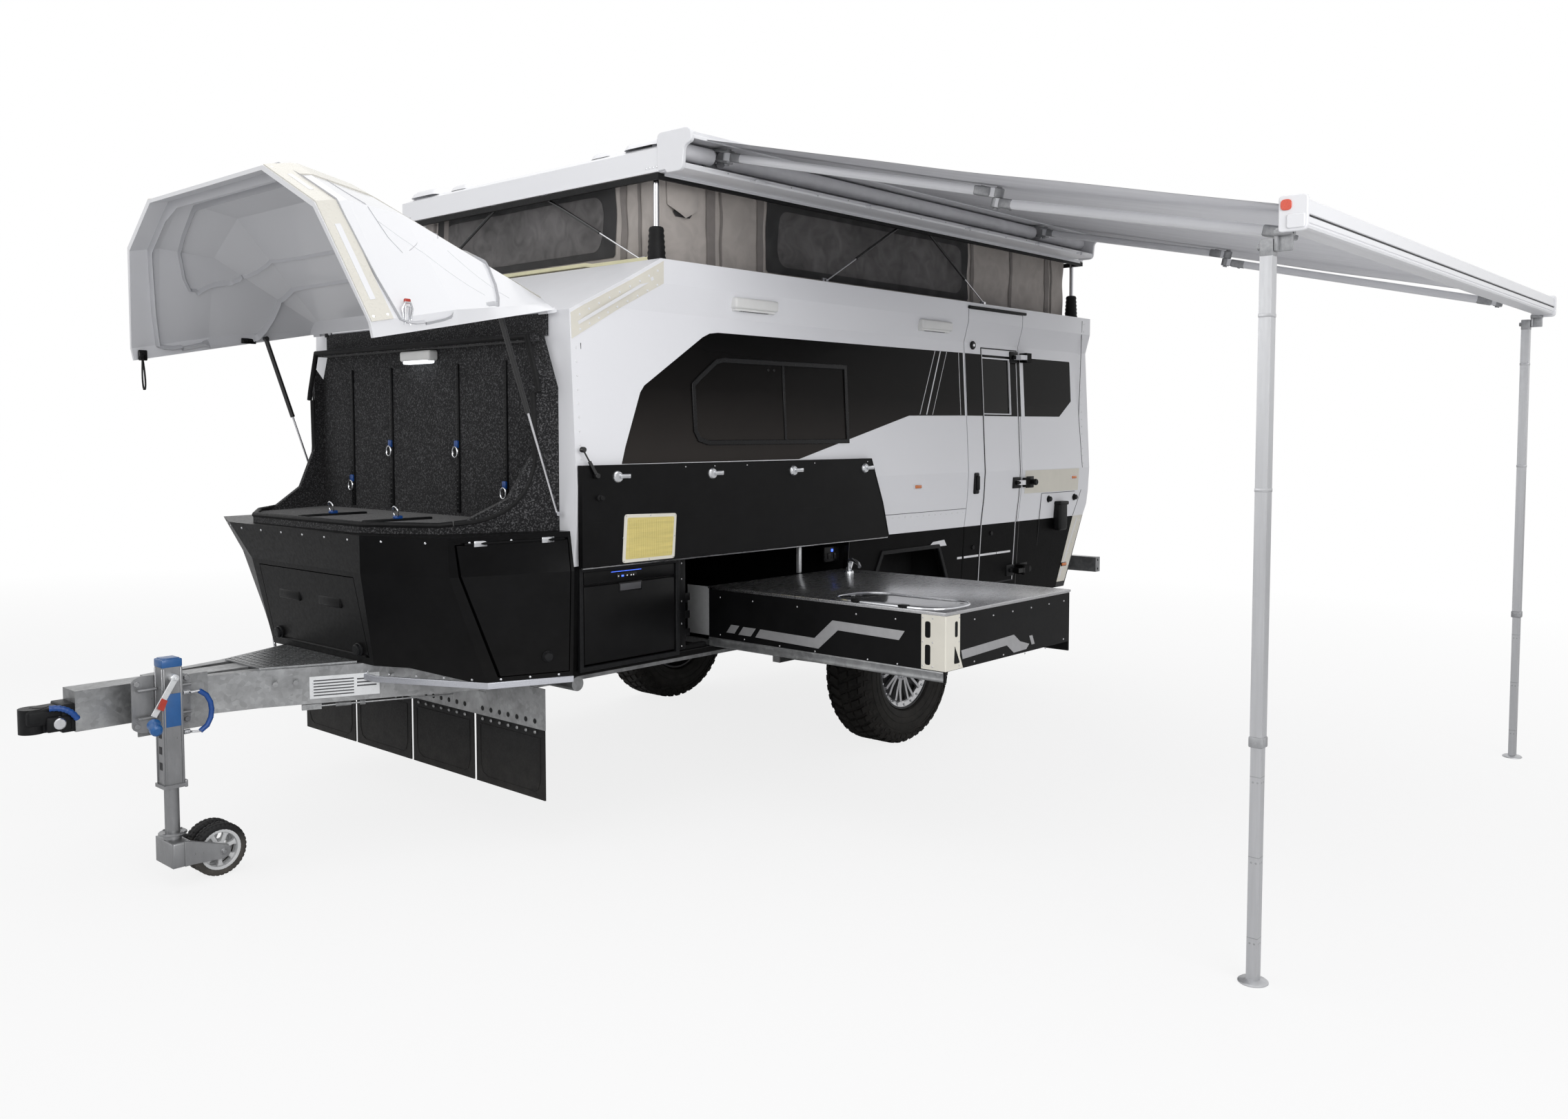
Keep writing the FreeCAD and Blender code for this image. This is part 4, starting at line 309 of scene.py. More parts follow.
def piece(name, shapes, material, body="caravan", smooth=True, bevel=0.0, thick=0.0):
    """Joins shapes into one mesh, merges the points that meet, and lets it ride on a body."""
    starts = np.cumsum([0] + [len(points) for points, _, _ in shapes])
    faces = [face for start, (_, quads, _) in zip(starts, shapes) for face in (quads + start).tolist()]
    faces += [[corner + int(start) for corner in end] for start, (_, _, ends) in zip(starts, shapes)
              for end in ends]
    data = bpy.data.meshes.new(name)
    data.from_pydata(np.vstack([points for points, _, _ in shapes]).tolist(), [], faces)
    data.materials.append(material)
    made = bpy.data.objects.new(name, data)
    bpy.context.scene.collection.objects.link(made)
    work = bmesh.new()
    work.from_mesh(data)
    bmesh.ops.remove_doubles(work, verts=work.verts, dist=2e-6)
    bmesh.ops.dissolve_degenerate(work, edges=work.edges, dist=2e-6)
    work.to_mesh(data)
    work.free()
    if smooth:
        data.shade_smooth()
        data.set_sharp_from_angle(angle=0.6)
    if thick:
        wall = made.modifiers.new("wall", "SOLIDIFY")
        wall.thickness = thick
        wall.offset = -1
    if bevel:
        edge = made.modifiers.new("edge", "BEVEL")
        edge.width = bevel
        edge.segments = 2
        edge.limit_method = "ANGLE"
    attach(made, body)
    return made


def disc(radius, count=12):
    """A round outline."""
    angle = np.arange(count) * 2 * np.pi / count
    return np.stack([np.cos(angle), np.sin(angle)], 1) * radius


def bar(width, height):
    """A rectangular outline."""
    return np.array([(-width, -height), (width, -height), (width, height), (-width, height)]) / 2


zinc = finish("zinc_coat", (0.27, 0.275, 0.28), 0.36, metal=0.75, vary=0.28, size=6.0, relief=0.12,
              relief_size=160.0, crystals=0.16, dust=0.35, dust_top=0.75)
dress(zinc, "chassis_frame", "suspension_arms")
bolts = []
for side in (-1, 1):
    for x, y in ((-0.79, 0.222), (-0.86, 0.252), (-1.20, 0.405)):
        bolts.append(turned([(0, 0.010), (0.011, 0.010), (0.011, 0), (0, 0)], (x, side * y, GROUND + 0.700),
                            (0.42, side * 0.91, 0), 6))
piece("frame_bolts", bolts, zinc, smooth=False)
plate_steel = finish("plate_aluminium", (0.66, 0.67, 0.68), 0.34, metal=0.7, vary=0.05, size=30.0)
ink = finish("plate_print", (0.05, 0.05, 0.055), 0.5, vary=0.1)
slope = unit((-0.85, 0.38, 0))
arm_face = np.array((0.408, 0.913, 0))
arm_start = np.array((-0.888, 0.2425, 0))


def on_arm(along, height, out=0.0):
    """A point on the outer face of the kerb side drawbar arm."""
    return arm_start + slope * along + arm_face * out + np.array((0, 0, GROUND + height))


def arm_plate(start, end, low, high, out, thick):
    """A flat plate lying on that face."""
    path = [on_arm(start, (low + high) / 2, out + thick / 2), on_arm(end, (low + high) / 2, out + thick / 2)]
    return carried(path, bar(thick, high - low))


piece("data_plate", [arm_plate(0.03, 0.30, 0.625, 0.715, 0.0, 0.002)], plate_steel)
rules = [arm_plate(0.045, 0.20, h, h + 0.005, 0.002, 0.0004) for h in np.arange(0.635, 0.70, 0.012)]
rules += [arm_plate(0.212, 0.288, h, h + 0.006, 0.002, 0.0004) for h in (0.690, 0.676, 0.662)]
piece("data_plate_rules", rules, ink, smooth=False)


# The tread plate over the drawbar: bare aluminium sheet rolled with short bars that stand in alternate
# directions, bright on the bar tops and dark grey between them.
tread = finish("tread_sheet", (0.25, 0.255, 0.26), 0.38, metal=0.85, vary=0.16, size=14.0, relief=0.05)
dress(tread, "drawbar_deck")
low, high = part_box("drawbar_deck")
pitch = 0.030
across, back = np.meshgrid(np.arange(-0.275, 0.28, pitch), np.arange(low.x + 0.02, high.x - 0.01, pitch))
inside = np.abs(across) < 0.155 + (high.x - back) * 0.36
place = np.stack([back[inside], across[inside]], 1)
lean = np.where(np.round(place / pitch).sum(1) % 2 > 0, 0.785, -0.785)
ends = np.array([(-1, 0, 0), (-0.4, -0.24, 1), (0.4, -0.24, 1), (1, 0, 0), (0.4, 0.24, 1), (-0.4, 0.24, 1)])
turn = np.stack([np.cos(lean), -np.sin(lean), np.sin(lean), np.cos(lean)], 1).reshape(-1, 2, 2)
flat = np.einsum("pij,kj->pki", turn, ends[:, :2] * 0.012)
tops = np.concatenate([place[:, None] + flat,
                       np.broadcast_to(high.z + ends[:, 2:] * 0.0016, flat.shape[:2] + (1,))], -1)
count = len(tops)
faces = np.array([(0, 1, 2, 3), (0, 3, 4, 5), (1, 5, 4, 2)])[None] + np.arange(count)[:, None, None] * 6
bars = (tops.reshape(-1, 3), faces.reshape(-1, 4), [])
piece("tread_bars", [bars], finish("tread_tops", (0.72, 0.73, 0.74), 0.28, metal=0.9, vary=0.08, size=40.0),
      smooth=False)


# The coupling: a cast off-road hitch head, painted black, on the drawbar's end plate. A chromed cross pin
# goes through it, its release lever has a blue grip and a yellow reflector sits in its nose.
cast = finish("cast_black", (0.008, 0.0083, 0.009), 0.42, vary=0.3, size=40.0, shine=0.15, relief=0.5,
              relief_size=420.0)
chrome = finish("bright_pins", (0.62, 0.63, 0.65), 0.22, metal=0.95, vary=0.08, size=60.0)
blue = finish("blue_grip", (0.006, 0.060, 0.26), 0.38, vary=0.15, size=60.0, relief=0.2)
reflector = finish("yellow_reflector", (0.62, 0.55, 0.02), 0.25, coat=0.6, vary=0.1, size=120.0, relief=0.6,
                   relief_size=900.0)
dress(cast, "coupling_head")
deep = GROUND + 0.660
head = [rounded_box((-0.100, -0.052, deep - 0.016), (0.040, 0.052, deep + 0.044), 0.014, 4),
        rounded_box((-0.118, -0.058, deep - 0.052), (-0.070, 0.058, deep + 0.052), 0.006, 3),
        turned([(0, 0.047), (0.026, 0.047), (0.033, 0.041), (0.033, 0)], (-0.020, 0, deep), (0, 0, 1), 24)]
for side in (-1, 1):
    head.append(rounded_box((-0.105, side * 0.044, deep - 0.044), (-0.020, side * 0.062, deep + 0.014),
                            0.012, 4))
piece("hitch_casting", head, cast)
pins = [turned([(0, 0.070), (0.017, 0.070), (0.021, 0.067), (0.021, 0.0605), (0.025, 0.060), (0.025, -0.060),
                (0.021, -0.0605), (0.021, -0.067), (0.017, -0.070), (0, -0.070)], (-0.062, 0, deep - 0.014),
               (0, 1, 0), 24)]
piece("hitch_cross_pin", pins, chrome)
piece("hitch_reflector", [rounded_box((0.036, -0.016, deep - 0.036), (0.0445, 0.016, deep + 0.002), 0.002)],
      reflector)


def bent(start, middle, end, t):
    """Points on the quadratic curve that leaves start and reaches end, drawn towards middle."""
    return (1 - t) ** 2 * start + 2 * t * (1 - t) * middle + t ** 2 * end


t = np.linspace(0, 1, 22)[:, None]
grip = bent(np.array((-0.030, 0.060, deep + 0.046)), np.array((-0.085, 0.085, deep + 0.050)),
            np.array((-0.118, 0.072, deep - 0.004)), t)
grip_sides = 14
wave = 1 + 0.10 * np.cos(t * 46)
points, quads, ends = carried(grip, disc(0.0105, grip_sides))
middle = np.repeat(grip, grip_sides, 0)
points = middle + (points - middle) * np.repeat(wave, grip_sides, 0)
piece("hitch_lever_grip", [(points, quads, ends)], blue)


# The brake rod: a galvanised steel rod under the kerb side drawbar arm, held in a square block at its front,
# with a six-sided turnbuckle and a lock nut on it.
zinc_links = finish("zinc_links", (0.30, 0.305, 0.31), 0.33, metal=0.8, vary=0.22, size=60.0, relief=0.2)
rig = [carried([on_arm(start, low, -0.02), on_arm(end, high, -0.02)], outline)
       for start, low, end, high, outline in ((0.02, 0.590, 0.60, 0.592, disc(0.0035, 8)),
                                              (0.0, 0.590, 0.075, 0.590, bar(0.022, 0.022)),
                                              (0.13, 0.5905, 0.19, 0.5905, disc(0.008, 6)),
                                              (0.225, 0.591, 0.245, 0.591, disc(0.010, 6)))]
piece("brake_rod", rig, zinc_links)


# The mud flaps: four black rubber flaps riveted under a tapered galvanised bar that has a row of punched
# holes. They are plain, with a moulded border and round lower corners.
rubber = finish("flap_rubber", (0.010, 0.010, 0.0105), 0.55, vary=0.25, size=12.0, shine=0.15, relief=0.25,
                dust=0.12, dust_top=0.5)
dress(rubber, "mud_flaps")
dress(zinc, "flap_bar")
bar_face, flap_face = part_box("flap_bar")[1].x + 0.0004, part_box("mud_flaps")[1].x + 0.0008
rim = [(-0.205, 0.46), (-0.205, 0.29), (-0.190, 0.252), (-0.155, 0.236), (0.155, 0.236), (0.190, 0.252),
       (0.205, 0.29), (0.205, 0.46)]
rivets, holes, ribs = [], [], []
for middle in -0.735 + np.arange(4) * 0.49:
    for step in range(7):
        rivets.append((bar_face, middle - 0.18 + step * 0.06, GROUND + 0.485))
        holes.append((bar_face, middle - 0.18 + step * 0.06, GROUND + 0.530))
    path = [(flap_face, middle + y, GROUND + h) for y, h in rim]
    ribs.append(carried(path, bar(0.006, 0.0024), (1, 0, 0), ring=True))
piece("flap_rivets", [domes(rivets, (1, 0, 0), 0.008, 0.004)], zinc)
piece("flap_bar_holes", [domes(holes, (1, 0, 0), 0.011, 0.0006, 12)], cast)
piece("flap_borders", ribs, rubber)


# Tyres and rims: off-road tyres with a blocky tread, sidewall lugs and a rim flange, on black alloy rims
# with a ring of bolts, ten spokes and a domed cap.
black_rubber = finish("tyre_rubber", (0.007, 0.007, 0.0073), 0.62, vary=0.22, size=16.0, shine=0.12,
                      relief=0.35, relief_size=240.0, dust=0.10, dust_top=0.9)
alloy = finish("rim_alloy", (0.045, 0.045, 0.047), 0.34, metal=0.5, vary=0.2, size=30.0, coat=0.3)
machined = finish("rim_face", (0.46, 0.46, 0.47), 0.28, metal=0.9, vary=0.08, size=50.0, stretch=(1, 12, 1))


def tread_blocks(centre, radius, width, count, depth, tall):
    """Blocks round a tyre in five rows: each is a tapered box on the crown, and the outer rows wrap over
    the shoulder on to the sidewall. A block is built once and turned round the axle."""
    top = np.array([(-1, -1), (1, -1), (1, 1), (-1, 1)]) / 2
    pitch = 2 * np.pi / count
    points, faces = [], []
    rows = ((0.0, 0.19, 0.0, 0.74), (-0.23, 0.20, 0.5, 0.66), (0.23, 0.20, 0.5, 0.66),
            (-0.44, 0.17, 0.0, 0.70), (0.44, 0.17, 0.0, 0.70))
    for place, wide, shift, long in rows:
        for scale, lift in ((1.0, 0.0), (0.84, tall)):
            angle = (np.arange(count)[:, None] + shift) * pitch + top[None, :, 0] * pitch * long * scale
            angle = angle + (top[None, :, 1] * 0.35 * pitch * (1 if place >= 0 else -1))
            y = (place + top[None, :, 1] * wide * scale) * width + 0 * angle
            droop = np.maximum(np.abs(y) - width * 0.36, 0) * 0.9
            r = radius - depth + lift - droop
            points.append(np.stack([centre[0] + r * np.cos(angle), centre[1] + y,
                                    centre[2] + r * np.sin(angle)], -1))
        base = sum(p.size // 3 for p in points[:-2])
        a = base + np.arange(count)[:, None] * 4
        b = a + count * 4
        faces.append(np.concatenate([b, b + 1, b + 2, b + 3], 1))
        faces += [np.concatenate([a + k, a + (k + 1) % 4, b + (k + 1) % 4, b + k], 1) for k in range(4)]
    return np.vstack([p.reshape(-1, 3) for p in points]), np.vstack(faces), []


for name, side in (("left", 1), ("right", -1)):
    body = "wheel_" + name
    axle = np.array((-3.951, side * 0.900, GROUND + 0.415))
    profile = [(0.226, -0.100), (0.236, -0.122), (0.262, -0.134), (0.310, -0.1405), (0.352, -0.138),
               (0.384, -0.128), (0.399, -0.112), (0.403, -0.060), (0.404, 0.0), (0.403, 0.060),
               (0.399, 0.112), (0.384, 0.128), (0.352, 0.138), (0.310, 0.1405), (0.262, 0.134),
               (0.236, 0.122), (0.226, 0.100), (0.226, -0.100)]
    carcass = [turned(profile, axle, (0, 1, 0), 72)]
    for ring_radius in (0.268, 0.300, 0.340):
        for face in (-1, 1):
            angle = np.arange(72) * 2 * np.pi / 72
            y = 0.1395 if ring_radius > 0.28 else 0.1345
            path = axle + np.stack([ring_radius * np.cos(angle), 0 * angle + face * y,
                                    ring_radius * np.sin(angle)], 1)
            carcass.append(carried(path, disc(0.0022, 6), (0, 1, 0), ring=True))
    carcass.append(tread_blocks(axle, 0.4145, 0.27, 44, 0.014, 0.0135))
    angle = np.arange(44) * 2 * np.pi / 44 + 0.07
    for face in (-1, 1):
        for k in angle:
            out = np.array((np.cos(k), 0, np.sin(k)))
            lug = np.array([axle + out * 0.352 + (0, face * 0.1375, 0),
                            axle + out * 0.392 + (0, face * 0.124, 0)])
            carcass.append(carried(lug, bar(0.030, 0.008), (0, face, 0)))
    tyre = piece("tyre_tread_" + name, carcass, black_rubber, body)
    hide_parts("tyre_" + name)
    dress(alloy, "rim_" + name)
    out = np.array((0, side, 0))
    face = axle + out * 0.070
    spokes, bolts = [], []
    for k in range(10):
        turn = 2 * np.pi * k / 10
        for split in (-0.085, 0.085):
            inner = np.array((np.cos(turn + split * 0.9), 0, np.sin(turn + split * 0.9)))
            outer = np.array((np.cos(turn + split * 1.5), 0, np.sin(turn + split * 1.5)))
            path = np.array([face + inner * 0.060 + out * 0.012, face + (inner + outer) * 0.065 + out * 0.016,
                             face + outer * 0.190 + out * 0.026])
            spokes.append(carried(path, bar(0.016, 0.020), out))
    spokes.append(turned([(0.186, 0.020), (0.215, 0.034), (0.222, 0.030), (0.222, 0.010), (0.186, 0.004),
                          (0.186, 0.020)],
                         face, out, 60))
    spokes.append(turned([(0, 0.034), (0.030, 0.033), (0.040, 0.026), (0.072, 0.020), (0.072, 0), (0, 0)],
                         face, out, 36))
    turn = np.arange(20) * 2 * np.pi / 20
    spots = face + out * 0.030 + np.stack([0.205 * np.cos(turn), 0 * turn, 0.205 * np.sin(turn)], 1)
    piece("rim_spokes_" + name, spokes, machined, body, bevel=0.0015)
    piece("rim_bolts_" + name, [domes(spots, out, 0.0075, 0.006)], chrome, body)
    nuts = [turned([(0, 0.040), (0.008, 0.040), (0.0105, 0.034), (0.0105, 0.018), (0, 0.018)],
                   face + (0.052 * np.cos(k), 0, 0.052 * np.sin(k)), out, 6)
            for k in np.arange(6) * np.pi / 3]
    piece("wheel_nuts_" + name, nuts, chrome, body, smooth=False)


# The body: sandwich panels with a pressed profile, painted white with a fine orange peel over black lower
# skirts. A vinyl band that fades from black to warm grey runs round the windows.
black_coat = finish("body_black", (0.0030, 0.0030, 0.0032), 0.40, vary=0.25, size=9.0, relief=0.18,
                    relief_size=600.0, dust=0.02, dust_top=1.0, shine=0.05)
tan_trim = finish("tan_trim", (0.70, 0.675, 0.60), 0.42, vary=0.03, size=8.0, relief=0.12, relief_size=800.0)
SKIRT_FOOT, SKIRT_TOP = 0.702, 1.156


def skirted(material, line):
    """Turns a paint black below a height, so that the panels' own edges match the skirts laid over them."""
    tree = material.node_tree
    shader = tree.nodes["Principled BSDF"]
    shade = shader.inputs["Base Color"].links[0].from_socket
    rise = add(tree, "SeparateXYZ", {0: add(tree, "TexCoord").outputs["Object"]}).outputs[2]
    below = add(tree, "Math", {0: rise, 1: GROUND + line}, operation="LESS_THAN")
    blended = add(tree, "MixRGB", {0: below.outputs[0], 1: shade, 2: (0.003, 0.003, 0.0032, 1)})
    wire(shader, {"Base Color": blended.outputs[0]})
    return material


panel_paint = skirted(finish("panel_white", (0.80, 0.805, 0.835), 0.26, vary=0.008, size=1.2, relief=0.012,
                             relief_size=420.0, dust=0.04, dust_top=0.9, uneven=0.012, shine=0.4), SKIRT_TOP)
dress(panel_paint, "side_wall_left", "side_wall_right", "front_wall", "rear_wall")
dress(finish("floor_underseal", (0.012, 0.012, 0.0125), 0.6, vary=0.25, size=3.0, shine=0.15, relief=0.4),
      "floor_panel")
wall_heights = np.array([0.700, SKIRT_TOP, 1.320, 1.470, 2.215, 2.335, 2.440])
wall_halves = np.array([0.995, 1.022, 1.042, 1.050, 1.010, 1.042, 1.042])


def on_wall(x, height, lift=0.0, side=1):
    """A point on the outer skin of a side wall, lifted a little outwards."""
    x, height = np.broadcast_arrays(np.asarray(x, float), np.asarray(height, float))
    return np.stack([x, side * (np.interp(height, wall_heights, wall_halves) + lift), GROUND + height], -1)


def skin(low_line, high_line, lift=0.001, side=1, columns=40, rows=1):
    """A thin sheet on a side wall between two lines of (x, height): a grid in x and height, bent where the
    wall is bent, with its border turned down to the wall."""
    low_line, high_line = (np.array(sorted(line), float) for line in (low_line, high_line))
    start, end = max(low_line[0, 0], high_line[0, 0]), min(low_line[-1, 0], high_line[-1, 0])
    x = np.unique(np.concatenate([np.linspace(start, end, columns), low_line[:, 0], high_line[:, 0]]))
    x = x[(x >= start - 1e-9) & (x <= end + 1e-9)]
    low = np.interp(x, low_line[:, 0], low_line[:, 1])[:, None]
    high = np.interp(x, high_line[:, 0], high_line[:, 1])[:, None]
    height = np.sort(np.concatenate([low + (high - low) * np.linspace(0, 1, rows + 1),
                                     np.clip(wall_heights[None, 1:-1], low, high)], 1), 1)
    raised = np.pad(np.full(height.shape, lift), 1, constant_values=-0.0005)
    columns_x = np.pad(np.broadcast_to(x[:, None], height.shape), 1, "edge")
    points, quads, ends = grid(on_wall(columns_x, np.pad(height, 1, "edge"), raised, side))
    return points, quads[:, ::-1] if side > 0 else quads, ends


def band(points, wide, lift=0.004, side=1, deep=0.005):
    """A flat strip that runs along points of (x, height) on a side wall."""
    x, height = np.array(points, float).T
    return carried(on_wall(x, height, lift - deep / 2, side), bar(wide, deep), (0, side, 0))


def faded(name, top, bottom, rough, coat):
    """Film that is black at one height and fades down to warm grey, with a faint speckle."""
    made, tree, shader = surface(name, {"Roughness": rough, "Coat Weight": coat, "Specular IOR Level": 0.05})
    place = add(tree, "TexCoord").outputs["Object"]
    rise = add(tree, "SeparateXYZ", {0: place}).outputs[2]
    speck = add(tree, "TexNoise", {"Vector": place, "Scale": 5.0, "Detail": 8.0})
    share = add(tree, "MapRange", {0: rise, 1: GROUND + bottom, 2: GROUND + top})
    moved = add(tree, "MapRange", {0: speck.outputs[0], 3: -0.05, 4: 0.05})
    total = add(tree, "Math", {0: share.outputs[0], 1: moved.outputs[0]}, operation="ADD")
    tint = ramp(tree, total.outputs[0], (0.030, 0.0265, 0.0245), (0.0012, 0.0012, 0.0012))
    tint.color_ramp.elements.new(0.55).color = (0.0065, 0.0058, 0.0054, 1)
    wire(shader, {"Base Color": tint.outputs[0]})
    return made


film = faded("band_film", 2.15, 1.57, 0.25, 0.02)
glass = faded("window_glass", 2.15, 1.57, 0.06, 0.12)
dress(glass, "side_windows", "door_pane")
dress(panel_paint, "entry_door")
dress(black_coat, "door_hinges")
seam = finish("seam_dark", (0.035, 0.035, 0.037), 0.6, vary=0.1, shine=0.2)
gloss_black = finish("gloss_black", (0.005, 0.005, 0.0055), 0.24, coat=0.08, vary=0.1, size=20.0, shine=0.15)
white_vinyl = finish("white_vinyl", (0.74, 0.74, 0.76), 0.35, vary=0.03, size=12.0)
for name, side in (("left", 1), ("right", -1)):
    low_edge = [(-1.891, 1.568), (-3.018, 1.570), (-3.938, 1.789), (-4.482, 1.795)]
    high_edge = [(-1.891, 1.569), (-1.915, 1.640), (-2.010, 1.868), (-2.035, 1.898), (-2.395, 2.122),
                 (-2.440, 2.141), (-2.494, 2.148), (-4.482, 2.152)]
    rear_low = [(-5.142, 1.796), (-5.564, 1.798), (-5.721, 1.898)]
    rear_high = [(-5.142, 2.152), (-5.715, 2.152), (-5.721, 2.146)]
    if side < 0:
        low_edge[-1] = (-5.145, 1.795)
        high_edge[-1] = (-5.145, 2.152)
    piece("band_film_" + name, [skin(low_edge, high_edge, 0.0008, side, 60),
                                skin(rear_low, rear_high, 0.0008, side)],
          film)
    door_front, door_rear = (-4.493, -5.112) if side > 0 else (-5.2, -5.2)
    skirts = [skin([(-1.652, SKIRT_FOOT), (-1.680, SKIRT_FOOT)], [(-1.652, SKIRT_TOP), (-1.680, SKIRT_TOP)],
                   0.001, side, 2),
              skin([(-3.711, 1.052), (-4.251, 1.052)], [(-3.711, SKIRT_TOP), (-4.251, SKIRT_TOP)],
                   0.001, side),
              skin([(-4.251, 1.052), (-4.431, SKIRT_FOOT), (door_front, SKIRT_FOOT)],
                   [(-4.251, SKIRT_TOP), (door_front, SKIRT_TOP)], 0.001, side),
              skin([(door_rear, SKIRT_FOOT), (-5.606, SKIRT_FOOT), (-5.773, SKIRT_TOP)],
                   [(door_rear, SKIRT_TOP), (-5.773, SKIRT_TOP)], 0.001, side)]
    if side > 0:
        skirts += [skin([(-1.680, 1.142), (-3.445, 1.142)], [(-1.680, SKIRT_TOP), (-3.445, SKIRT_TOP)],
                        0.001, side),
                   skin([(-3.445, SKIRT_FOOT), (-3.551, SKIRT_FOOT), (-3.711, 1.052)],
                        [(-3.445, SKIRT_TOP), (-3.711, SKIRT_TOP)], 0.001, side),
                   skin([(-1.680, SKIRT_FOOT), (-3.445, SKIRT_FOOT)], [(-1.680, 0.724), (-3.445, 0.724)],
                        0.001, side)]
    else:
        skirts += [skin([(-1.680, SKIRT_FOOT), (-3.551, SKIRT_FOOT), (-3.711, 1.052)],
                        [(-1.680, SKIRT_TOP), (-3.711, SKIRT_TOP)], 0.001, side)]
    piece("body_skirt_" + name, skirts, black_coat)
    trims = [band([(-3.562, 0.720), (-3.722, 1.062), (-4.242, 1.062), (-4.420, 0.720)], 0.022, 0.010,
                  side, 0.012)]
    piece("arch_trim_" + name, trims, cast, bevel=0.003)
    corner_low = skin([(-5.616, 0.735), (-5.715, 0.735), (-5.900, SKIRT_TOP)],
                      [(-5.616, 0.736), (-5.773, SKIRT_TOP), (-5.900, 1.157)], 0.002, side, 12)
    tans = [corner_low,
            skin([(-1.655, 2.075), (-2.135, 2.335)], [(-1.655, 2.180), (-2.135, 2.430)], 0.002, side, 12),
            skin([(-5.130, 1.325), (-5.800, 1.325)], [(-5.130, 1.466), (-5.800, 1.466)], 0.0015, side, 10)]
    piece("tan_panels_" + name, tans, tan_trim)
    piece("tan_slots_" + name, [band([(-1.690, 2.140), (-2.075, 2.352)], 0.014, 0.0030, side, 0.001),
                                band([(-5.640, 0.760), (-5.830, 1.140)], 0.012, 0.0030, side, 0.001)],
          white_vinyl)
    seams = [band([(-5.832, 2.420), (-5.820, 1.804), (-5.845, 1.470)], 0.004, 0.0012, side, 0.002),
             band([(-5.845, 1.325), (-5.773, 1.160)], 0.004, 0.0012, side, 0.002),
             band([(-1.700, 2.060), (-1.700, 1.160)], 0.003, 0.0012, side, 0.002),
             band([(-3.720, 1.262), (-4.495 if side > 0 else -5.85, 1.262)], 0.0025, 0.0012, side, 0.002)]
    piece("wall_seams_" + name, seams, seam)
    heads = [on_wall(np.full(16, -1.675), np.linspace(1.20, 2.04, 16), 0, side),
             on_wall(np.full(20, -5.858), np.linspace(1.50, 2.40, 20), 0, side),
             on_wall(np.linspace(-3.74, -4.47, 14), np.full(14, 1.242), 0, side),
             on_wall(np.linspace(-1.70, -2.10, 9), np.linspace(2.115, 2.325, 9), 0.002, side),
             on_wall(np.linspace(-1.70, -2.10, 9), np.linspace(2.175, 2.385, 9), 0.002, side),
             on_wall(np.linspace(-5.66, -5.86, 6), np.linspace(0.78, 1.12, 6), 0.002, side)]
    piece("wall_rivets_" + name, [domes(np.vstack(heads), (0, side, 0), 0.0055, 0.003)], white_vinyl)
    frame_line = np.array([(-2.321, 1.908), (-2.360, 1.940), (-2.470, 2.016), (-2.510, 2.025),
                           (-3.397, 2.027),
                           (-3.397, 1.655), (-2.400, 1.653), (-2.345, 1.668), (-2.323, 1.705)])
    path = on_wall(frame_line[:, 0], frame_line[:, 1], 0.002, side)
    window = [carried(path, bar(0.022, 0.012), (0, side, 0), ring=True),
              band([(-2.925, 2.020), (-2.925, 1.660)], 0.016, 0.005, side, 0.008)]
    for x in (-2.86, -2.82):
        window.append(turned([(0, 0.010), (0.008, 0.010), (0.009, 0), (0, 0)],
                             on_wall(x, 1.992, -0.006, side), (0, side, 0), 14))
    piece("window_frame_" + name, window, gloss_black, bevel=0.002)


# What stands on the kerb side wall: two awning lamps under the eave, marker lamps, a service hatch with
# two knobs and a capped inlet, and pinstripes over the band.
lens = finish("lamp_body", (0.76, 0.76, 0.75), 0.35, vary=0.02, size=20.0, relief=0.05)
amber = finish("amber_lens", (0.62, 0.16, 0.02), 0.2, coat=0.6, vary=0.1, size=200.0, relief=0.4,
               relief_size=700.0)
y = float(np.interp(2.277, wall_heights, wall_halves))
for number, x in enumerate((-2.712, -4.170)):
    box = [rounded_box((x - 0.145, y - 0.012, GROUND + 2.262), (x + 0.145, y + 0.034, GROUND + 2.312),
                       0.010, 3),
           rounded_box((x - 0.135, y - 0.012, GROUND + 2.252), (x + 0.135, y + 0.020, GROUND + 2.268),
                       0.004, 2)]
    piece("awning_lamp_%d" % number, box, lens)
    slots = [rounded_box((x - 0.09 + k * 0.012, y + 0.004, GROUND + 2.2505),
                         (x - 0.083 + k * 0.012, y + 0.017, GROUND + 2.254), 0.001, 1) for k in range(16)]
    piece("awning_lamp_slots_%d" % number, slots, seam)
for number, (x, height) in enumerate(((-4.001, 1.404), (-5.732, 1.410), (-5.692, 0.845))):
    at = on_wall(x, height)
    piece("marker_rim_%d" % number,
          [rounded_box(at - (0.036, 0.004, 0.013), at + (0.036, 0.005, 0.013), 0.004)],
          white_vinyl if number < 2 else cast)
    piece("marker_lens_%d" % number,
          [rounded_box(at - (0.028, 0, 0.009), at + (0.028, 0.011, 0.009), 0.004, 3)],
          amber)
hatch = band([(-5.338, 1.320), (-5.338, 0.990)], 0.003, 0.0014, 1, 0.002)
tops = band([(-5.338, 1.318), (-5.760, 1.318)], 0.003, 0.0014, 1, 0.002)
piece("service_hatch_seam", [hatch, tops], seam)
knobs = [turned([(0, 0.022), (0.012, 0.022), (0.016, 0.018), (0.016, 0.004), (0.022, 0.003), (0.022, 0),
                 (0, 0)],
                on_wall(x, 1.280, 0.0), (0, 1, 0), 22) for x in (-5.433, -5.761)]
at = on_wall(-5.567, 1.168)
knobs.append(rounded_box(at - (0.050, 0.004, 0.092), at + (0.050, 0.052, 0.088), 0.016, 4))
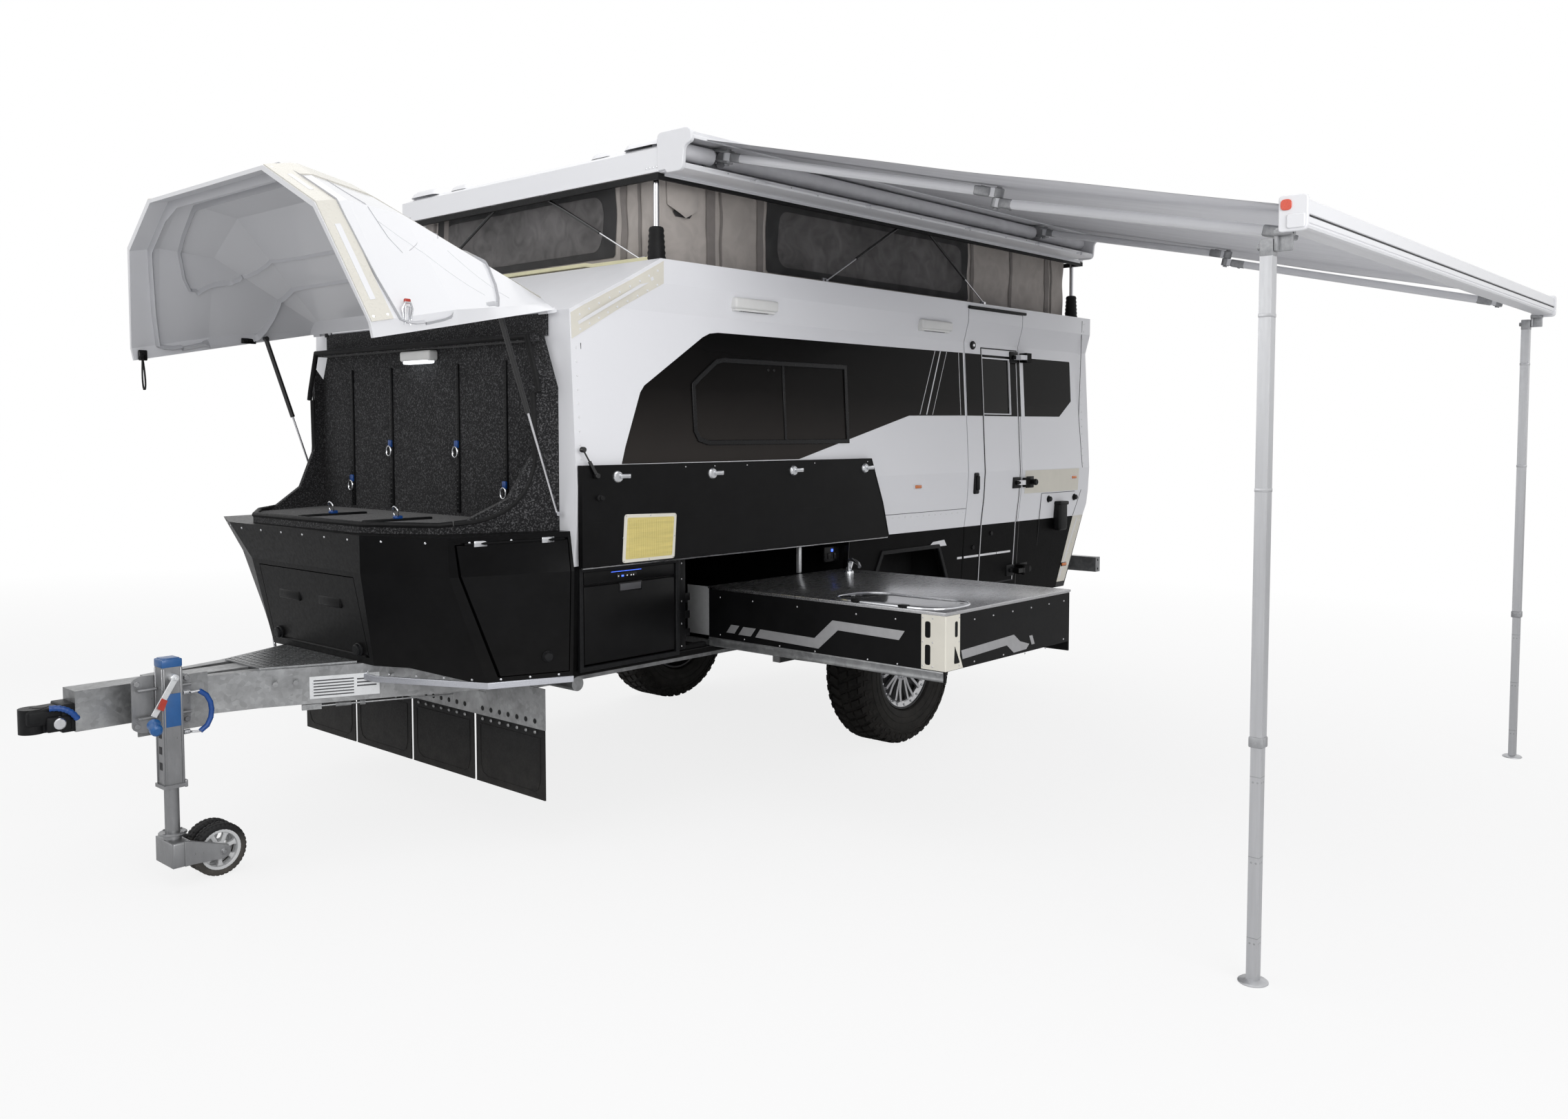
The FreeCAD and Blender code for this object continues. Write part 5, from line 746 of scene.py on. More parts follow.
knobs.append(rounded_box(at + (-0.054, -0.004, 0.070), at + (0.054, 0.058, 0.094), 0.008, 3))
piece("service_knobs", knobs, cast)
lines = [band([(-4.205, 2.150), (-4.038, 1.796)], 0.004, 0.0016, 1, 0.001),
         band([(-4.257, 2.150), (-4.101, 1.796)], 0.008, 0.0016, 1, 0.001),
         band([(-4.319, 2.150), (-4.158, 1.796)], 0.003, 0.0016, 1, 0.001),
         band([(-4.438, 2.150), (-4.438, 1.798)], 0.004, 0.0016, 1, 0.001),
         band([(-4.443, 0.978), (-4.490, 0.978)], 0.012, 0.0020, 1, 0.001)]
piece("pinstripes", lines, white_vinyl)
piece("skirt_badge", [skin([(-4.150, 1.060), (-4.325, 1.060)],
                           [(-4.150, 1.061), (-4.190, 1.088), (-4.300, 1.094), (-4.325, 1.061)],
                           0.0025, 1, 8)], white_vinyl)


# The entry door: the same panel in its own frame. The band and the skirt run on across it, a black rubber
# gutter lies over its head, and a pull handle and lock stand near its leading edge.
x0, x1 = -4.506, -5.099
film_parts = [skin([(x0, 1.795), (-4.672, 1.795)], [(x0, 2.152), (-4.672, 2.152)], 0.001, 1, 4),
              skin([(-4.988, 1.795), (x1, 1.795)], [(-4.988, 2.152), (x1, 2.152)], 0.001, 1, 4),
              skin([(-4.672, 2.138), (-4.988, 2.138)], [(-4.672, 2.152), (-4.988, 2.152)], 0.001, 1, 4),
              skin([(-4.672, 1.795), (-4.988, 1.795)], [(-4.672, 1.804), (-4.988, 1.804)], 0.001, 1, 4)]
piece("door_film", film_parts, film, "entry_door")
piece("door_skirt", [skin([(x0, 0.742), (x1, 0.742)], [(x0, SKIRT_TOP), (x1, SKIRT_TOP)], 0.001, 1, 8)],
      black_coat, "entry_door")
bends = np.array((2.190, 1.470, 1.320, SKIRT_TOP, 0.800))
x, height = np.repeat((-4.672, -5.065), 5), np.concatenate([bends, bends[::-1]])
path = on_wall(x, height, 0.0012)
piece("door_inner_seam", [carried(path, bar(0.006, 0.003), (0, 1, 0), ring=True)], seam, "entry_door")
path = on_wall(x + np.where(x > -4.9, -0.007, 0.007), height - np.where(height > 2.1, 0.007, 0), 0.0008)
piece("door_inner_rim", [carried(path, bar(0.005, 0.003), (0, 1, 0), ring=True)], white_vinyl, "entry_door")
gutter = [carried(on_wall(np.array([-4.490, -5.115]), np.array([2.412, 2.412]), 0.006), bar(0.016, 0.016),
                  (0, 1, 0))]
piece("door_gutter", gutter, rubber, bevel=0.004)
furniture = [turned([(0, 0.012), (0.020, 0.012), (0.024, 0.008), (0.024, 0), (0, 0)], on_wall(-4.584, 2.200),
                    (0, 1, 0), 26)]
at = on_wall(-4.583, 1.405)
furniture += [rounded_box(at - (0.026, 0.010, 0.062), at + (0.026, 0.010, 0.062), 0.012, 4),
              rounded_box(at - (0.014, 0, 0.040), at + (0.014, 0.022, 0.045), 0.008, 3)]
for height in (1.101, 1.030):
    furniture.append(turned([(0, 0.008), (0.012, 0.008), (0.014, 0), (0, 0)],
                            on_wall(-4.790 if height > 1.05 else -4.600, height), (0, 1, 0), 18))
for height in (2.150, 1.395, 0.860):
    at = on_wall(-5.030, height)
    furniture.append(rounded_box(at - (0.045, 0.004, 0.034), at + (0.045, 0.006, 0.034), 0.003, 2))
    furniture.append(rounded_box(at - (0.020, -0.004, 0.012), at + (0.020, 0.022, 0.012), 0.005, 2))
piece("door_furniture", furniture, cast, "entry_door")
lock = [(0, 0.0145), (0.008, 0.0145), (0.009, 0.012), (0, 0.012)]
piece("door_lock_face", [turned(lock, on_wall(-4.584, 2.200), (0, 1, 0), 18)], chrome, "entry_door")
lines = [band([(-4.672, 0.978), (-4.860, 0.978)], 0.012, 0.0020, 1, 0.001),
         band([(-4.866, 0.978), (-5.020, 0.978)], 0.012, 0.0020, 1, 0.001),
         band([(-4.512, 0.978), (-4.664, 0.978)], 0.012, 0.0020, 1, 0.001)]
piece("door_pinstripe", lines, white_vinyl, "entry_door")
catch = []
for height in (1.395, 0.860):
    at = on_wall(-5.185, height)
    catch += [rounded_box(at - (0.045, 0.004, 0.036), at + (0.045, 0.005, 0.036), 0.004),
              turned([(0, 0.045), (0.016, 0.045), (0.020, 0.038), (0.016, 0.004), (0.016, 0), (0, 0)],
                     at - (0.012, 0, 0), (0, 1, 0), 20)]
piece("door_catches", catch, cast)


# The front box: a folded and riveted aluminium box with a flush locker door at the front and one on each
# side, powder coated black. Round knobs turn the latches, and the sill below is bare extrusion.
box_black = finish("box_coat", (0.0030, 0.0030, 0.0033), 0.36, vary=0.3, size=7.0, relief=0.2,
                   relief_size=450.0, dust=0.04, dust_top=1.0, shine=0.10)
dress(box_black, "front_box", "locker_door_centre", "locker_door_left", "locker_door_right")
sill_metal = finish("sill_extrusion", (0.50, 0.51, 0.55), 0.30, metal=0.75, vary=0.05, size=30.0,
                    stretch=(1, 1, 8))
FRONT_X = -1.648
levels = np.array([0.700, 1.140, 1.300])
box_sides = np.array([1.014, 1.030, 1.005])
box_corners = np.array([(1.331, 0.881), (1.175, 0.860), (1.121, 0.935)])
box_noses = np.array([(1.115, 0.420), (1.030, 0.460), (0.975, 0.555)])


def box_ring(height, out=0.0):
    """Plan points of the front box at a height from the left side wall round the nose, pushed outwards."""
    side = np.interp(height, levels, box_sides)
    corner = [np.interp(height, levels, box_corners[:, k]) for k in (0, 1)]
    nose = [np.interp(height, levels, box_noses[:, k]) for k in (0, 1)]
    half = [(FRONT_X, side + out), (-corner[0] + out * 0.5, corner[1] + out),
            (-nose[0] + out, nose[1] + out * 0.3)]
    return np.array(half + [(x, -y) for x, y in half[::-1]])


def box_line(height, out=0.0):
    """The same points at that height as a path."""
    plan = box_ring(height, out)
    return np.column_stack([plan, np.full(len(plan), GROUND + height)])


piece("box_sill", [carried(box_line(0.700, 0.004), bar(0.012, 0.026))], sill_metal, bevel=0.002)
heads, facing = [], []
for height, step in ((0.722, 0.115), (1.278, 0.16)):
    line = box_line(height)
    for first, last in zip(line[:-1], line[1:]):
        count = int(np.linalg.norm(last - first) / step)
        share = (np.arange(count)[:, None] + 0.5) / count
        heads.append(first + (last - first) * share)
        way = unit(np.cross((0, 0, 1), last - first))
        way = way if way @ ((first + last) / 2 + (1.4, 0, 0)) > 0 else -way
        facing.append(np.tile(way, (count, 1)))
piece("box_rivets", [domes(np.vstack(heads), np.vstack(facing), 0.0055, 0.003)], chrome)


def knob(at, way, radius=0.020):
    """A round turn knob on its rose."""
    return turned([(0, 0.024), (radius * 0.8, 0.023), (radius, 0.018), (radius, 0.008),
                   (radius * 1.15, 0.006), (radius * 1.15, 0), (0, 0)], at, way, 24)


def box_face(x_share, height, side=1):
    """A point on the box's long side panel between the wall and its front corner, and the way it faces."""
    ring = box_line(height)
    at = ring[0] + (ring[1] - ring[0]) * x_share
    way = unit(np.cross(ring[1] - ring[0], (0, 0, 1)))
    way = way if way[1] > 0 else -way
    return at * (1, side, 1), way * (1, side, 1)


for name, side in (("left", 1), ("right", -1)):
    piece("side_locker_knob_" + name, [knob(*box_face(0.28, 0.800, side))], cast, "locker_" + name)
    hinges = []
    for share in (0.20, 0.75):
        at, _ = box_face(share, 1.272, side)
        hinges.append(rounded_box(at - (0.030, 0.002, 0.012), at + (0.030, 0.006, 0.012), 0.003))
    piece("side_locker_hinges_" + name, hinges, chrome, "locker_" + name)
x, height = -np.interp(0.815, levels, box_noses[:, 0]), GROUND + 0.815
knobs = [knob((x, y, height), (1, 0, -0.15), 0.024) for y in (-0.335, 0.335)]
piece("centre_locker_knobs", knobs, cast, "locker_centre")
x, height = -np.interp(1.000, levels, box_noses[:, 0]), GROUND + 1.000
pressed = [rounded_box((x - 0.01, y - 0.09, height - 0.022), (x + 0.006, y + 0.09, height + 0.022), 0.010, 3)
           for y in (-0.17, 0.17)]
piece("centre_locker_pulls", pressed, box_black, "locker_centre")


# The boot: boards lined with speckled needle felt. Four black lashing tracks with sliding rings stand on
# the back and two lie on the floor, a lamp hangs under the header and a fat rubber seal runs round the mouth.
def speckled(name, dark, light, size):
    """Needle felt: dark fibre with pale flecks, soft sheen and a rough pile."""
    made, tree, shader = surface(name, {"Roughness": 0.95, "Specular IOR Level": 0.1, "Sheen Weight": 0.15})
    place = add(tree, "TexCoord").outputs["Object"]
    flecks = add(tree, "TexNoise", {"Vector": place, "Scale": size, "Detail": 2.0, "Roughness": 0.7})
    wire(shader, {"Base Color": ramp(tree, flecks.outputs[0], dark, light, 0.50, 0.72).outputs[0]})
    emboss(shader, flecks.outputs[0], 0.5, 0.002)
    return made


def link_ring(centre, along, flat, length=0.046, width=0.036, wire_radius=0.0035):
    """A stadium loop of round wire, lying in the plane of two directions."""
    angle = np.arange(20) * 2 * np.pi / 20
    straight = np.where(np.cos(angle) > 0, 1, -1) * (length - width) / 2
    loop = (np.asarray(centre) + (np.cos(angle) * width / 2 + straight)[:, None] * unit(along)
            + (np.sin(angle) * width / 2)[:, None] * unit(flat))
    return carried(loop, disc(wire_radius, 8), np.cross(unit(along), unit(flat)), ring=True)


felt = speckled("boot_felt", (0.014, 0.014, 0.015), (0.135, 0.135, 0.14), 150.0)
dress(felt, "boot_tub")
back_x = FRONT_X + 0.024
tracks, rings, tabs = [], [], []
for y in (-0.62, -0.27, 0.27, 0.62):
    tracks.append(rounded_box((back_x - 0.001, y - 0.011, GROUND + 1.345),
                              (back_x + 0.010, y + 0.011, GROUND + 2.00), 0.003))
for y, height in ((-0.62, 1.46), (-0.27, 1.63), (0.27, 1.63), (0.62, 1.46)):
    tabs.append(rounded_box((back_x + 0.008, y - 0.013, GROUND + height),
                            (back_x + 0.020, y + 0.013, GROUND + height + 0.034), 0.004))
    rings.append(link_ring((back_x + 0.022, y, GROUND + height - 0.018), (0, 0, 1), (0, 1, 0)))
for y, x in ((-0.20, -1.28), (0.33, -1.28)):
    tracks.append(rounded_box((x - 0.16, y - 0.011, GROUND + 1.329), (x + 0.16, y + 0.011, GROUND + 1.340),
                              0.003))
    tabs.append(rounded_box((x - 0.017, y - 0.013, GROUND + 1.338), (x + 0.017, y + 0.013, GROUND + 1.352),
                            0.004))
    rings.append(link_ring((x + 0.01, y, GROUND + 1.368), (0.25, 0, 1), (0, 1, 0)))
piece("lashing_tracks", tracks, cast)
piece("lashing_tabs", tabs, blue)
piece("lashing_rings", rings, chrome)
notches = [(back_x + 0.0102, y, GROUND + h) for y in (-0.62, -0.27, 0.27, 0.62)
           for h in np.arange(1.36, 1.99, 0.025)]
piece("track_notches", [domes(notches, (1, 0, 0), 0.0065, 0.0008)], gloss_black)
glow_face, tree, shader = surface("boot_lamp_glow", {"Base Color": (0.9, 0.93, 1.0, 1),
                                                     "Emission Color": (0.92, 0.96, 1.0, 1)})
place = add(tree, "TexCoord").outputs["Object"]
dots = add(tree, "TexVoronoi", {"Vector": place, "Scale": 70.0})
level = add(tree, "MapRange", {0: dots.outputs["Distance"], 1: 0.0, 2: 0.8, 3: 2.2, 4: 1.2})
wire(shader, {"Emission Strength": level.outputs[0]})
piece("boot_lamp_body", [rounded_box((back_x, -0.12, GROUND + 2.020), (back_x + 0.050, 0.12, GROUND + 2.066),
                                     0.010, 3)],
      lens)
piece("boot_lamp_glass", [rounded_box((back_x + 0.006, -0.10, GROUND + 2.008),
                                      (back_x + 0.046, 0.10, GROUND + 2.024), 0.006, 3)],
      glow_face)
curve = bent(np.array((-1.564, 0, GROUND + 1.630)), np.array((-1.555, 0, GROUND + 1.345)),
             np.array((-1.264, 0, GROUND + 1.338)), np.linspace(0, 1, 9)[:, None])
seals = []
for side in (-1, 1):
    mouth = np.vstack([[(-1.560, 0, GROUND + 1.860)], curve])
    mouth[:, 1] = side * np.interp(mouth[:, 0], [FRONT_X, -1.200], [0.928, 0.740])
    seals.append(carried(mouth, disc(0.013, 10), (0, 1, 0)))
rim = np.array([(-1.256, 0.765, GROUND + 1.338), (-1.205, 0.745, GROUND + 1.334),
                (-1.042, 0.450, GROUND + 1.334),
                (-1.042, -0.450, GROUND + 1.334), (-1.205, -0.745, GROUND + 1.334),
                (-1.256, -0.765, GROUND + 1.338)])
seals.append(carried(rim, disc(0.012, 10)))
top = np.array([(-1.560, 0.925, GROUND + 1.860), (-1.560, 0.915, GROUND + 1.900),
                (-1.560, 0.850, GROUND + 2.088),
                (-1.560, -0.850, GROUND + 2.088), (-1.560, -0.915, GROUND + 1.900),
                (-1.560, -0.925, GROUND + 1.860)])
seals.append(carried(top, disc(0.012, 10), (1, 0, 0)))
piece("boot_seal", seals, rubber)


# The boot lid: a one-piece moulding, gloss white outside, with a pale inner skin that two raised beads
# stiffen. Tan strips follow its rear corner and ridge, and a latch and a pull strap hang at its free edge.
lid_turn = np.radians(79.0)
hinge_x, hinge_z = -1.635, GROUND + 2.190
lid_profiles = {
    -0.880: [(0.005, 1.035), (0.060, 1.035), (0.493, 0.820), (0.662, 0.510)],
    -0.752: [(0.005, 1.035), (0.060, 1.035), (0.493, 0.820), (0.662, 0.510)],
    -0.526: [(0.005, 1.035), (0.060, 1.035), (0.430, 0.800), (0.573, 0.500)],
    -0.025: [(0.005, 0.970), (0.030, 0.930), (0.060, 0.890), (0.070, 0.850)],
}


def opened(x, y, z):
    """Where a point of the closed lid, measured from its hinge line, lies once the lid is swung open."""
    x, y, z = np.broadcast_arrays(x, y, z)
    return np.stack([hinge_x + x * np.cos(lid_turn) - z * np.sin(lid_turn), y,
                     hinge_z + x * np.sin(lid_turn) + z * np.cos(lid_turn)], -1)


def lid_point(drop, share, out=0.0, side=1):
    """A point on the lid's shell: a depth below the hinge line and a share of the way round one half."""
    drop, share = np.broadcast_arrays(np.asarray(drop, float), np.asarray(share, float))
    levels = np.array(sorted(lid_profiles))
    corners = np.array([lid_profiles[level] for level in levels])
    marks = np.linspace(0, 1, corners.shape[1])
    found = []
    for axis in (0, 1):
        per_level = np.stack([np.interp(share, marks, corners[k, :, axis]) for k in range(len(levels))], -1)
        index = np.clip(np.searchsorted(levels, drop) - 1, 0, len(levels) - 2)
        part = (drop - levels[index]) / (levels[index + 1] - levels[index])
        low = np.take_along_axis(per_level, index[..., None], -1)[..., 0]
        high = np.take_along_axis(per_level, index[..., None] + 1, -1)[..., 0]
        found.append(low + (high - low) * part)
    away = unit(np.stack([found[0] * 0.9 + 0.05, found[1] * 0.6], -1))
    return opened(found[0] + out * away[..., 0], side * (found[1] + out * away[..., 1]), drop)


def lid_patch(drops, shares, lift=0.0015, side=1, rows=6, columns=12):
    """A thin sheet on the lid's shell between two depths and two shares, its border turned in to the shell.
    Each may run from one pair of values to another, as the tapering strips do."""
    u = np.linspace(0, 1, rows)[:, None]
    v = np.linspace(0, 1, columns)[None]
    drop = np.broadcast_to(drops[0] + (drops[1] - drops[0]) * u, (rows, columns))
    low, high = (start + (end - start) * u for start, end in shares)
    share = low + (high - low) * v
    out = np.pad(np.full(drop.shape, lift), 1, constant_values=-0.001)
    return grid(lid_point(np.pad(drop, 1, "edge"), np.pad(share, 1, "edge"), out, side))


def two_sided(name, outer, inner_colour, centre, gloss):
    """A moulding whose two faces differ: the side of each face is told by whether its normal points away
    from a point inside the hollow. The outer skin is smooth and glossy, the inner one has a fine grain."""
    made, tree, shader = surface(name, {"Coat Weight": 0.35, "Coat Roughness": 0.08})
    coords = add(tree, "TexCoord")
    away = add(tree, "VectorMath", {0: coords.outputs["Object"], 1: centre}, operation="SUBTRACT")
    facing = add(tree, "VectorMath", {0: away.outputs[0], 1: coords.outputs["Normal"]},
                 operation="DOT_PRODUCT")
    outside = add(tree, "Math", {0: facing.outputs["Value"], 1: 0.0}, operation="GREATER_THAN")
    mottle = add(tree, "TexNoise", {"Vector": coords.outputs["Object"], "Scale": 1.8, "Detail": 4.0})
    shade = add(tree, "MixRGB", {0: mottle.outputs[0], 1: (*[c * 0.97 for c in outer], 1), 2: (*outer, 1)})
    tint = add(tree, "MixRGB", {0: outside.outputs[0], 1: (*inner_colour, 1), 2: shade.outputs[0]})
    rough = add(tree, "MapRange", {0: outside.outputs[0], 3: 0.42, 4: gloss})
    wire(shader, {"Base Color": tint.outputs[0], "Roughness": rough.outputs[0]})
    grain = add(tree, "TexNoise", {"Vector": coords.outputs["Object"], "Scale": 260.0, "Detail": 3.0})
    height = add(tree, "Math", {0: outside.outputs[0], 1: grain.outputs[0]}, operation="SUBTRACT")
    emboss(shader, height.outputs[0], 0.12)
    return made


lid_white = two_sided("lid_moulding", (0.76, 0.765, 0.79), (0.62, 0.625, 0.65), (-1.05, 0.0, GROUND + 2.10),
                      0.13)
dress(lid_white, "boot_lid")
lid_tan = finish("lid_tan", (0.66, 0.64, 0.58), 0.30, coat=0.2, vary=0.02, size=6.0, relief=0.08,
                 relief_size=700.0)
straps, slots, heads = [], [], []
for side in (-1, 1):
    straps += [lid_patch((-0.876, -0.790), ((0.333, 0.333), (0.667, 0.667)), 0.0050, side),
               lid_patch((-0.876, -0.800), ((0.667, 0.667), (1.0, 1.0)), 0.0050, side),
               lid_patch((-0.800, -0.130), ((0.90, 0.86), (1.0, 1.0)), 0.0050, side, 24, 3),
               lid_patch((-0.130, -0.030), ((0.70, 0.60), (1.0, 1.0)), 0.0050, side, 6, 6)]
    slots += [lid_patch((-0.846, -0.824), ((0.39, 0.39), (0.60, 0.60)), 0.0062, side),
              lid_patch((-0.842, -0.826), ((0.76, 0.76), (0.90, 0.90)), 0.0062, side),
              lid_patch((-0.128, -0.060), ((0.80, 0.78), (0.86, 0.84)), 0.0062, side)]
    heads.append(lid_point(np.array([-0.862, -0.806, -0.862, -0.05]), np.array([0.345, 0.345, 0.97, 0.90]),
                           0.003, side))
piece("lid_strips", straps, lid_tan, "boot_lid")
piece("lid_slots", slots, lid_white, "boot_lid")
facing = unit(np.vstack(heads) - (-1.20, 0.0, GROUND + 2.10))
piece("lid_rivets", [domes(np.vstack(heads), facing, 0.007, 0.003)], chrome, "boot_lid")
creases = []
for side in (-1, 1):
    for start, end in (((-0.66, 0.62), (-0.34, 0.40)), ((-0.40, 0.60), (-0.22, 0.40))):
        share = np.linspace(0, 1, 24)
        path = lid_point(start[0] + (end[0] - start[0]) * share, start[1] + (end[1] - start[1]) * share,
                         0.0, side)
        creases.append(carried(path, disc(0.0016, 8), (0, 0, 1)))
piece("lid_creases", creases, lid_white, "boot_lid")


def lid_loop(corners, radius, out, steps=7):
    """A closed loop on the lid's inner face round corners given as (depth, place round the shell), with each
    corner cut to an arc. The place runs from -1 at one side's edge over the top at 0 to 1 at the other."""
    marks = np.array(corners, float)
    before, after = np.roll(marks, 1, 0), np.roll(marks, -1, 0)
    t = np.linspace(0, 1, steps)[None, :, None]
    start = marks + (before - marks) * radius
    end = marks + (after - marks) * radius
    line = bent(start[:, None], marks[:, None], end[:, None], t).reshape(-1, 2)
    dense = np.concatenate([line, line[:1]])
    share = np.linspace(0, len(line), 260, endpoint=False)
    drop = np.interp(share, np.arange(len(dense)), dense[:, 0])
    place = np.interp(share, np.arange(len(dense)), dense[:, 1])
    edge = np.minimum(1.0, (1 - np.abs(place)) / 0.6)
    on_side = lid_point(drop, edge, out, 1)
    flat = np.clip(np.abs(place) / 0.4, 0, 1) * np.sign(place)
    on_side[:, 1] *= np.where(np.abs(place) < 0.4, flat, np.sign(place))
    return on_side


moulded = finish("lid_bead", (0.50, 0.505, 0.53), 0.38, coat=0.25, vary=0.02, size=3.0, relief=0.08,
                 relief_size=300.0)
bead = np.array([(-0.030, 0.0), (-0.020, 0.009), (-0.008, 0.014), (0.008, 0.014), (0.020, 0.009),
                 (0.030, 0.0), (0.0, -0.006)])
beads = [carried(lid_loop([(-0.80, -0.93), (-0.80, 0.93), (-0.22, 0.80), (-0.22, -0.80)], 0.24, -0.019), bead,
                 (-1, 0, 0.2), True),
         carried(lid_loop([(-0.70, -0.72), (-0.70, 0.72), (-0.34, 0.60), (-0.34, -0.60)], 0.30, -0.019),
                 bead * 0.7, (-1, 0, 0.2), True)]
piece("lid_mouldings", beads, moulded, "boot_lid")
red = finish("red_grip", (0.42, 0.035, 0.02), 0.35, vary=0.1, size=20.0)
latch_at = np.array((-0.904, 1.018, GROUND + 2.125))
latch = [rounded_box(latch_at + (-0.018, -0.004, -0.052), latch_at + (0.018, 0.010, -0.022), 0.004),
         carried(np.array([latch_at + (-0.014, 0.014, -0.045), latch_at + (-0.020, 0.020, 0.012),
                           latch_at + (-0.010, 0.022, 0.034), latch_at + (0.010, 0.022, 0.034),
                           latch_at + (0.020, 0.020, 0.012), latch_at + (0.014, 0.014, -0.045)]),
                 disc(0.0035, 8), (0, 1, 0)),
         carried(np.array([latch_at + (-0.008, 0.018, -0.040), latch_at + (-0.009, 0.022, 0.020),
                           latch_at + (0.009, 0.022, 0.020), latch_at + (0.008, 0.018, -0.040)]),
                 disc(0.003, 8), (0, 1, 0))]
piece("lid_latch", latch, chrome, "boot_lid")
piece("lid_latch_grip", [rounded_box(latch_at + (-0.013, 0.012, 0.030), latch_at + (0.013, 0.024, 0.048),
                                     0.005)],
      red, "boot_lid")
strap_at = lid_point(-0.845, 0.10, -0.024, -1)
t = np.linspace(0, 1, 25)[:, None]
loop = strap_at + np.hstack([0.004 + 0.006 * np.sin(2 * np.pi * t), 0.012 + 0.014 * np.sin(np.pi * t),
                             -0.155 * np.sin(np.pi * t)])
piece("lid_strap_plate", [rounded_box(strap_at + (-0.020, 0.0, -0.02), strap_at + (0.020, 0.012, 0.028),
                                      0.005)],
      gloss_black, "boot_lid")
piece("lid_strap", [carried(loop, bar(0.014, 0.003), (1, 0, 0))], rubber, "boot_lid")
brackets = []
for side in (-1, 1):
    at = lid_point(-0.355, 0.12, -0.030, side)
    brackets.append(rounded_box(at + (-0.036, -0.006, -0.012), at + (0.036, 0.006, 0.014), 0.004))
piece("strut_pads", brackets, gloss_black, "boot_lid")
strut_black = finish("strut_tube", (0.007, 0.007, 0.0075), 0.22, coat=0.4, vary=0.2, size=30.0, shine=0.4)
rod_steel = finish("strut_rod", (0.60, 0.60, 0.62), 0.16, metal=1.0, vary=0.05, size=60.0, stretch=(6, 6, 1))
for material, part in ((strut_black, "tubes"), (rod_steel, "rods")):
    dress(material, "lid_strut_" + part, *["side_strut_%s_%s" % (part, end) for end in ("front", "rear")],
          *["end_strut_%s_%s" % (part, end) for end in ("left", "right")])


# The roof: a white ribbed pop-top whose raised corner blocks and edge pads are separate mouldings, with a
# black seal round its lower edge. Chromed posts run up into it from black rubber boots.
roof_white = finish("roof_white", (0.79, 0.795, 0.82), 0.30, coat=0.2, vary=0.01, size=1.4, relief=0.02,
                    relief_size=320.0, uneven=0.015)
dress(roof_white, "roof_shell")
dress(rod_steel, "roof_posts")
mount_steel = finish("mount_steel", (0.48, 0.48, 0.50), 0.34, metal=0.85, vary=0.08, size=20.0)
dress(mount_steel, "roof_mounts")
roof_low, roof_high = (np.array(corner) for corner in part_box("roof_shell"))


def loop_of(low, high, height):
    """The four corners of a rectangle in plan, at a height."""
    return np.array([(low[0], low[1], height), (high[0], low[1], height), (high[0], high[1], height),
                     (low[0], high[1], height)])


seal_height = roof_low[2] + 0.008
piece("roof_seal", [carried(loop_of(roof_low + 0.004, roof_high - 0.004, seal_height), bar(0.014, 0.026),
                            (0, 0, 1), True)],
      rubber, "roof")
piece("roof_drip", [carried(loop_of(roof_low, roof_high, roof_low[2] + 0.030), bar(0.008, 0.010),
                            (0, 0, 1), True)],
      roof_white, "roof", bevel=0.002)
top = roof_high[2]


def block_moulding(centre, along, size, height, slope):
    """A raised pad with sloping sides: stacked rounded outlines that shrink as they rise."""
    along = np.array(along, float)
    across = np.array((-along[1], along[0]))
    corner_angle = np.linspace(0, 2 * np.pi, 32, endpoint=False) + np.pi / 32
    rings = []
    for rise, shrink in ((-0.002, 0.0), (height * 0.55, slope * 0.35), (height * 0.92, slope * 0.85),
                         (height, slope * 1.15)):
        half = np.array(size) / 2 - shrink
        edge = np.sign(np.cos(corner_angle)) * np.abs(np.cos(corner_angle)) ** 0.28 * half[0]
        side = np.sign(np.sin(corner_angle)) * np.abs(np.sin(corner_angle)) ** 0.28 * half[1]
        plan = edge[:, None] * along + side[:, None] * across
        rings.append(np.column_stack([np.array(centre)[0] + plan[:, 0], np.array(centre)[1] + plan[:, 1],
                                      np.full(32, top + rise)]))
    points, quads, _ = grid(np.array(rings), False, True)
    count = len(rings[0])
    return points, quads, [list(range(len(points) - count, len(points)))]


pads = []
for side in (-1, 1):
    for x in (roof_high[0] - 0.16, roof_low[0] + 0.16):
        pads.append(block_moulding((x, side * 0.855), (1, 0), (0.27, 0.25), 0.034, 0.030))
        pads.append(block_moulding((x, side * 0.900), (1, 0), (0.13, 0.12), 0.050, 0.018))
for y in (-0.56, 0.56):
    pads.append(block_moulding((roof_high[0] - 0.13, y), (0, 1), (0.15, 0.16), 0.026, 0.022))
for x in np.linspace(roof_high[0] - 0.62, roof_low[0] + 0.62, 6):
    pads.append(block_moulding((x, 0), (1, 0), (0.13, 1.50), 0.014, 0.016))
piece("roof_mouldings", pads, roof_white, "roof")
heads = [(roof_high[0] + 0.0006, side * (0.925 + 0.022 * k), roof_low[2] + 0.048)
         for side in (-1, 1) for k in range(4)]
piece("roof_corner_rivets", [domes(heads, (1, 0, 0), 0.005, 0.0025)], chrome, "roof")
rise = np.arange(0, 0.17, 0.012)
widths = 0.030 + 0.010 * (1 - rise / 0.17) + 0.0035 * (np.arange(len(rise)) % 2)
profile = [(0.043, 0.0), *zip(widths, rise + 0.004), (0.022, 0.176), (0.0, 0.176)]
bellows = [turned(profile, (x, y, GROUND + 2.415), (0, 0, 1), 24) for x in (-2.185, -5.860)
           for y in (-0.945, 0.945)]
boots = piece("post_boots", bellows, rubber)
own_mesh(boots)
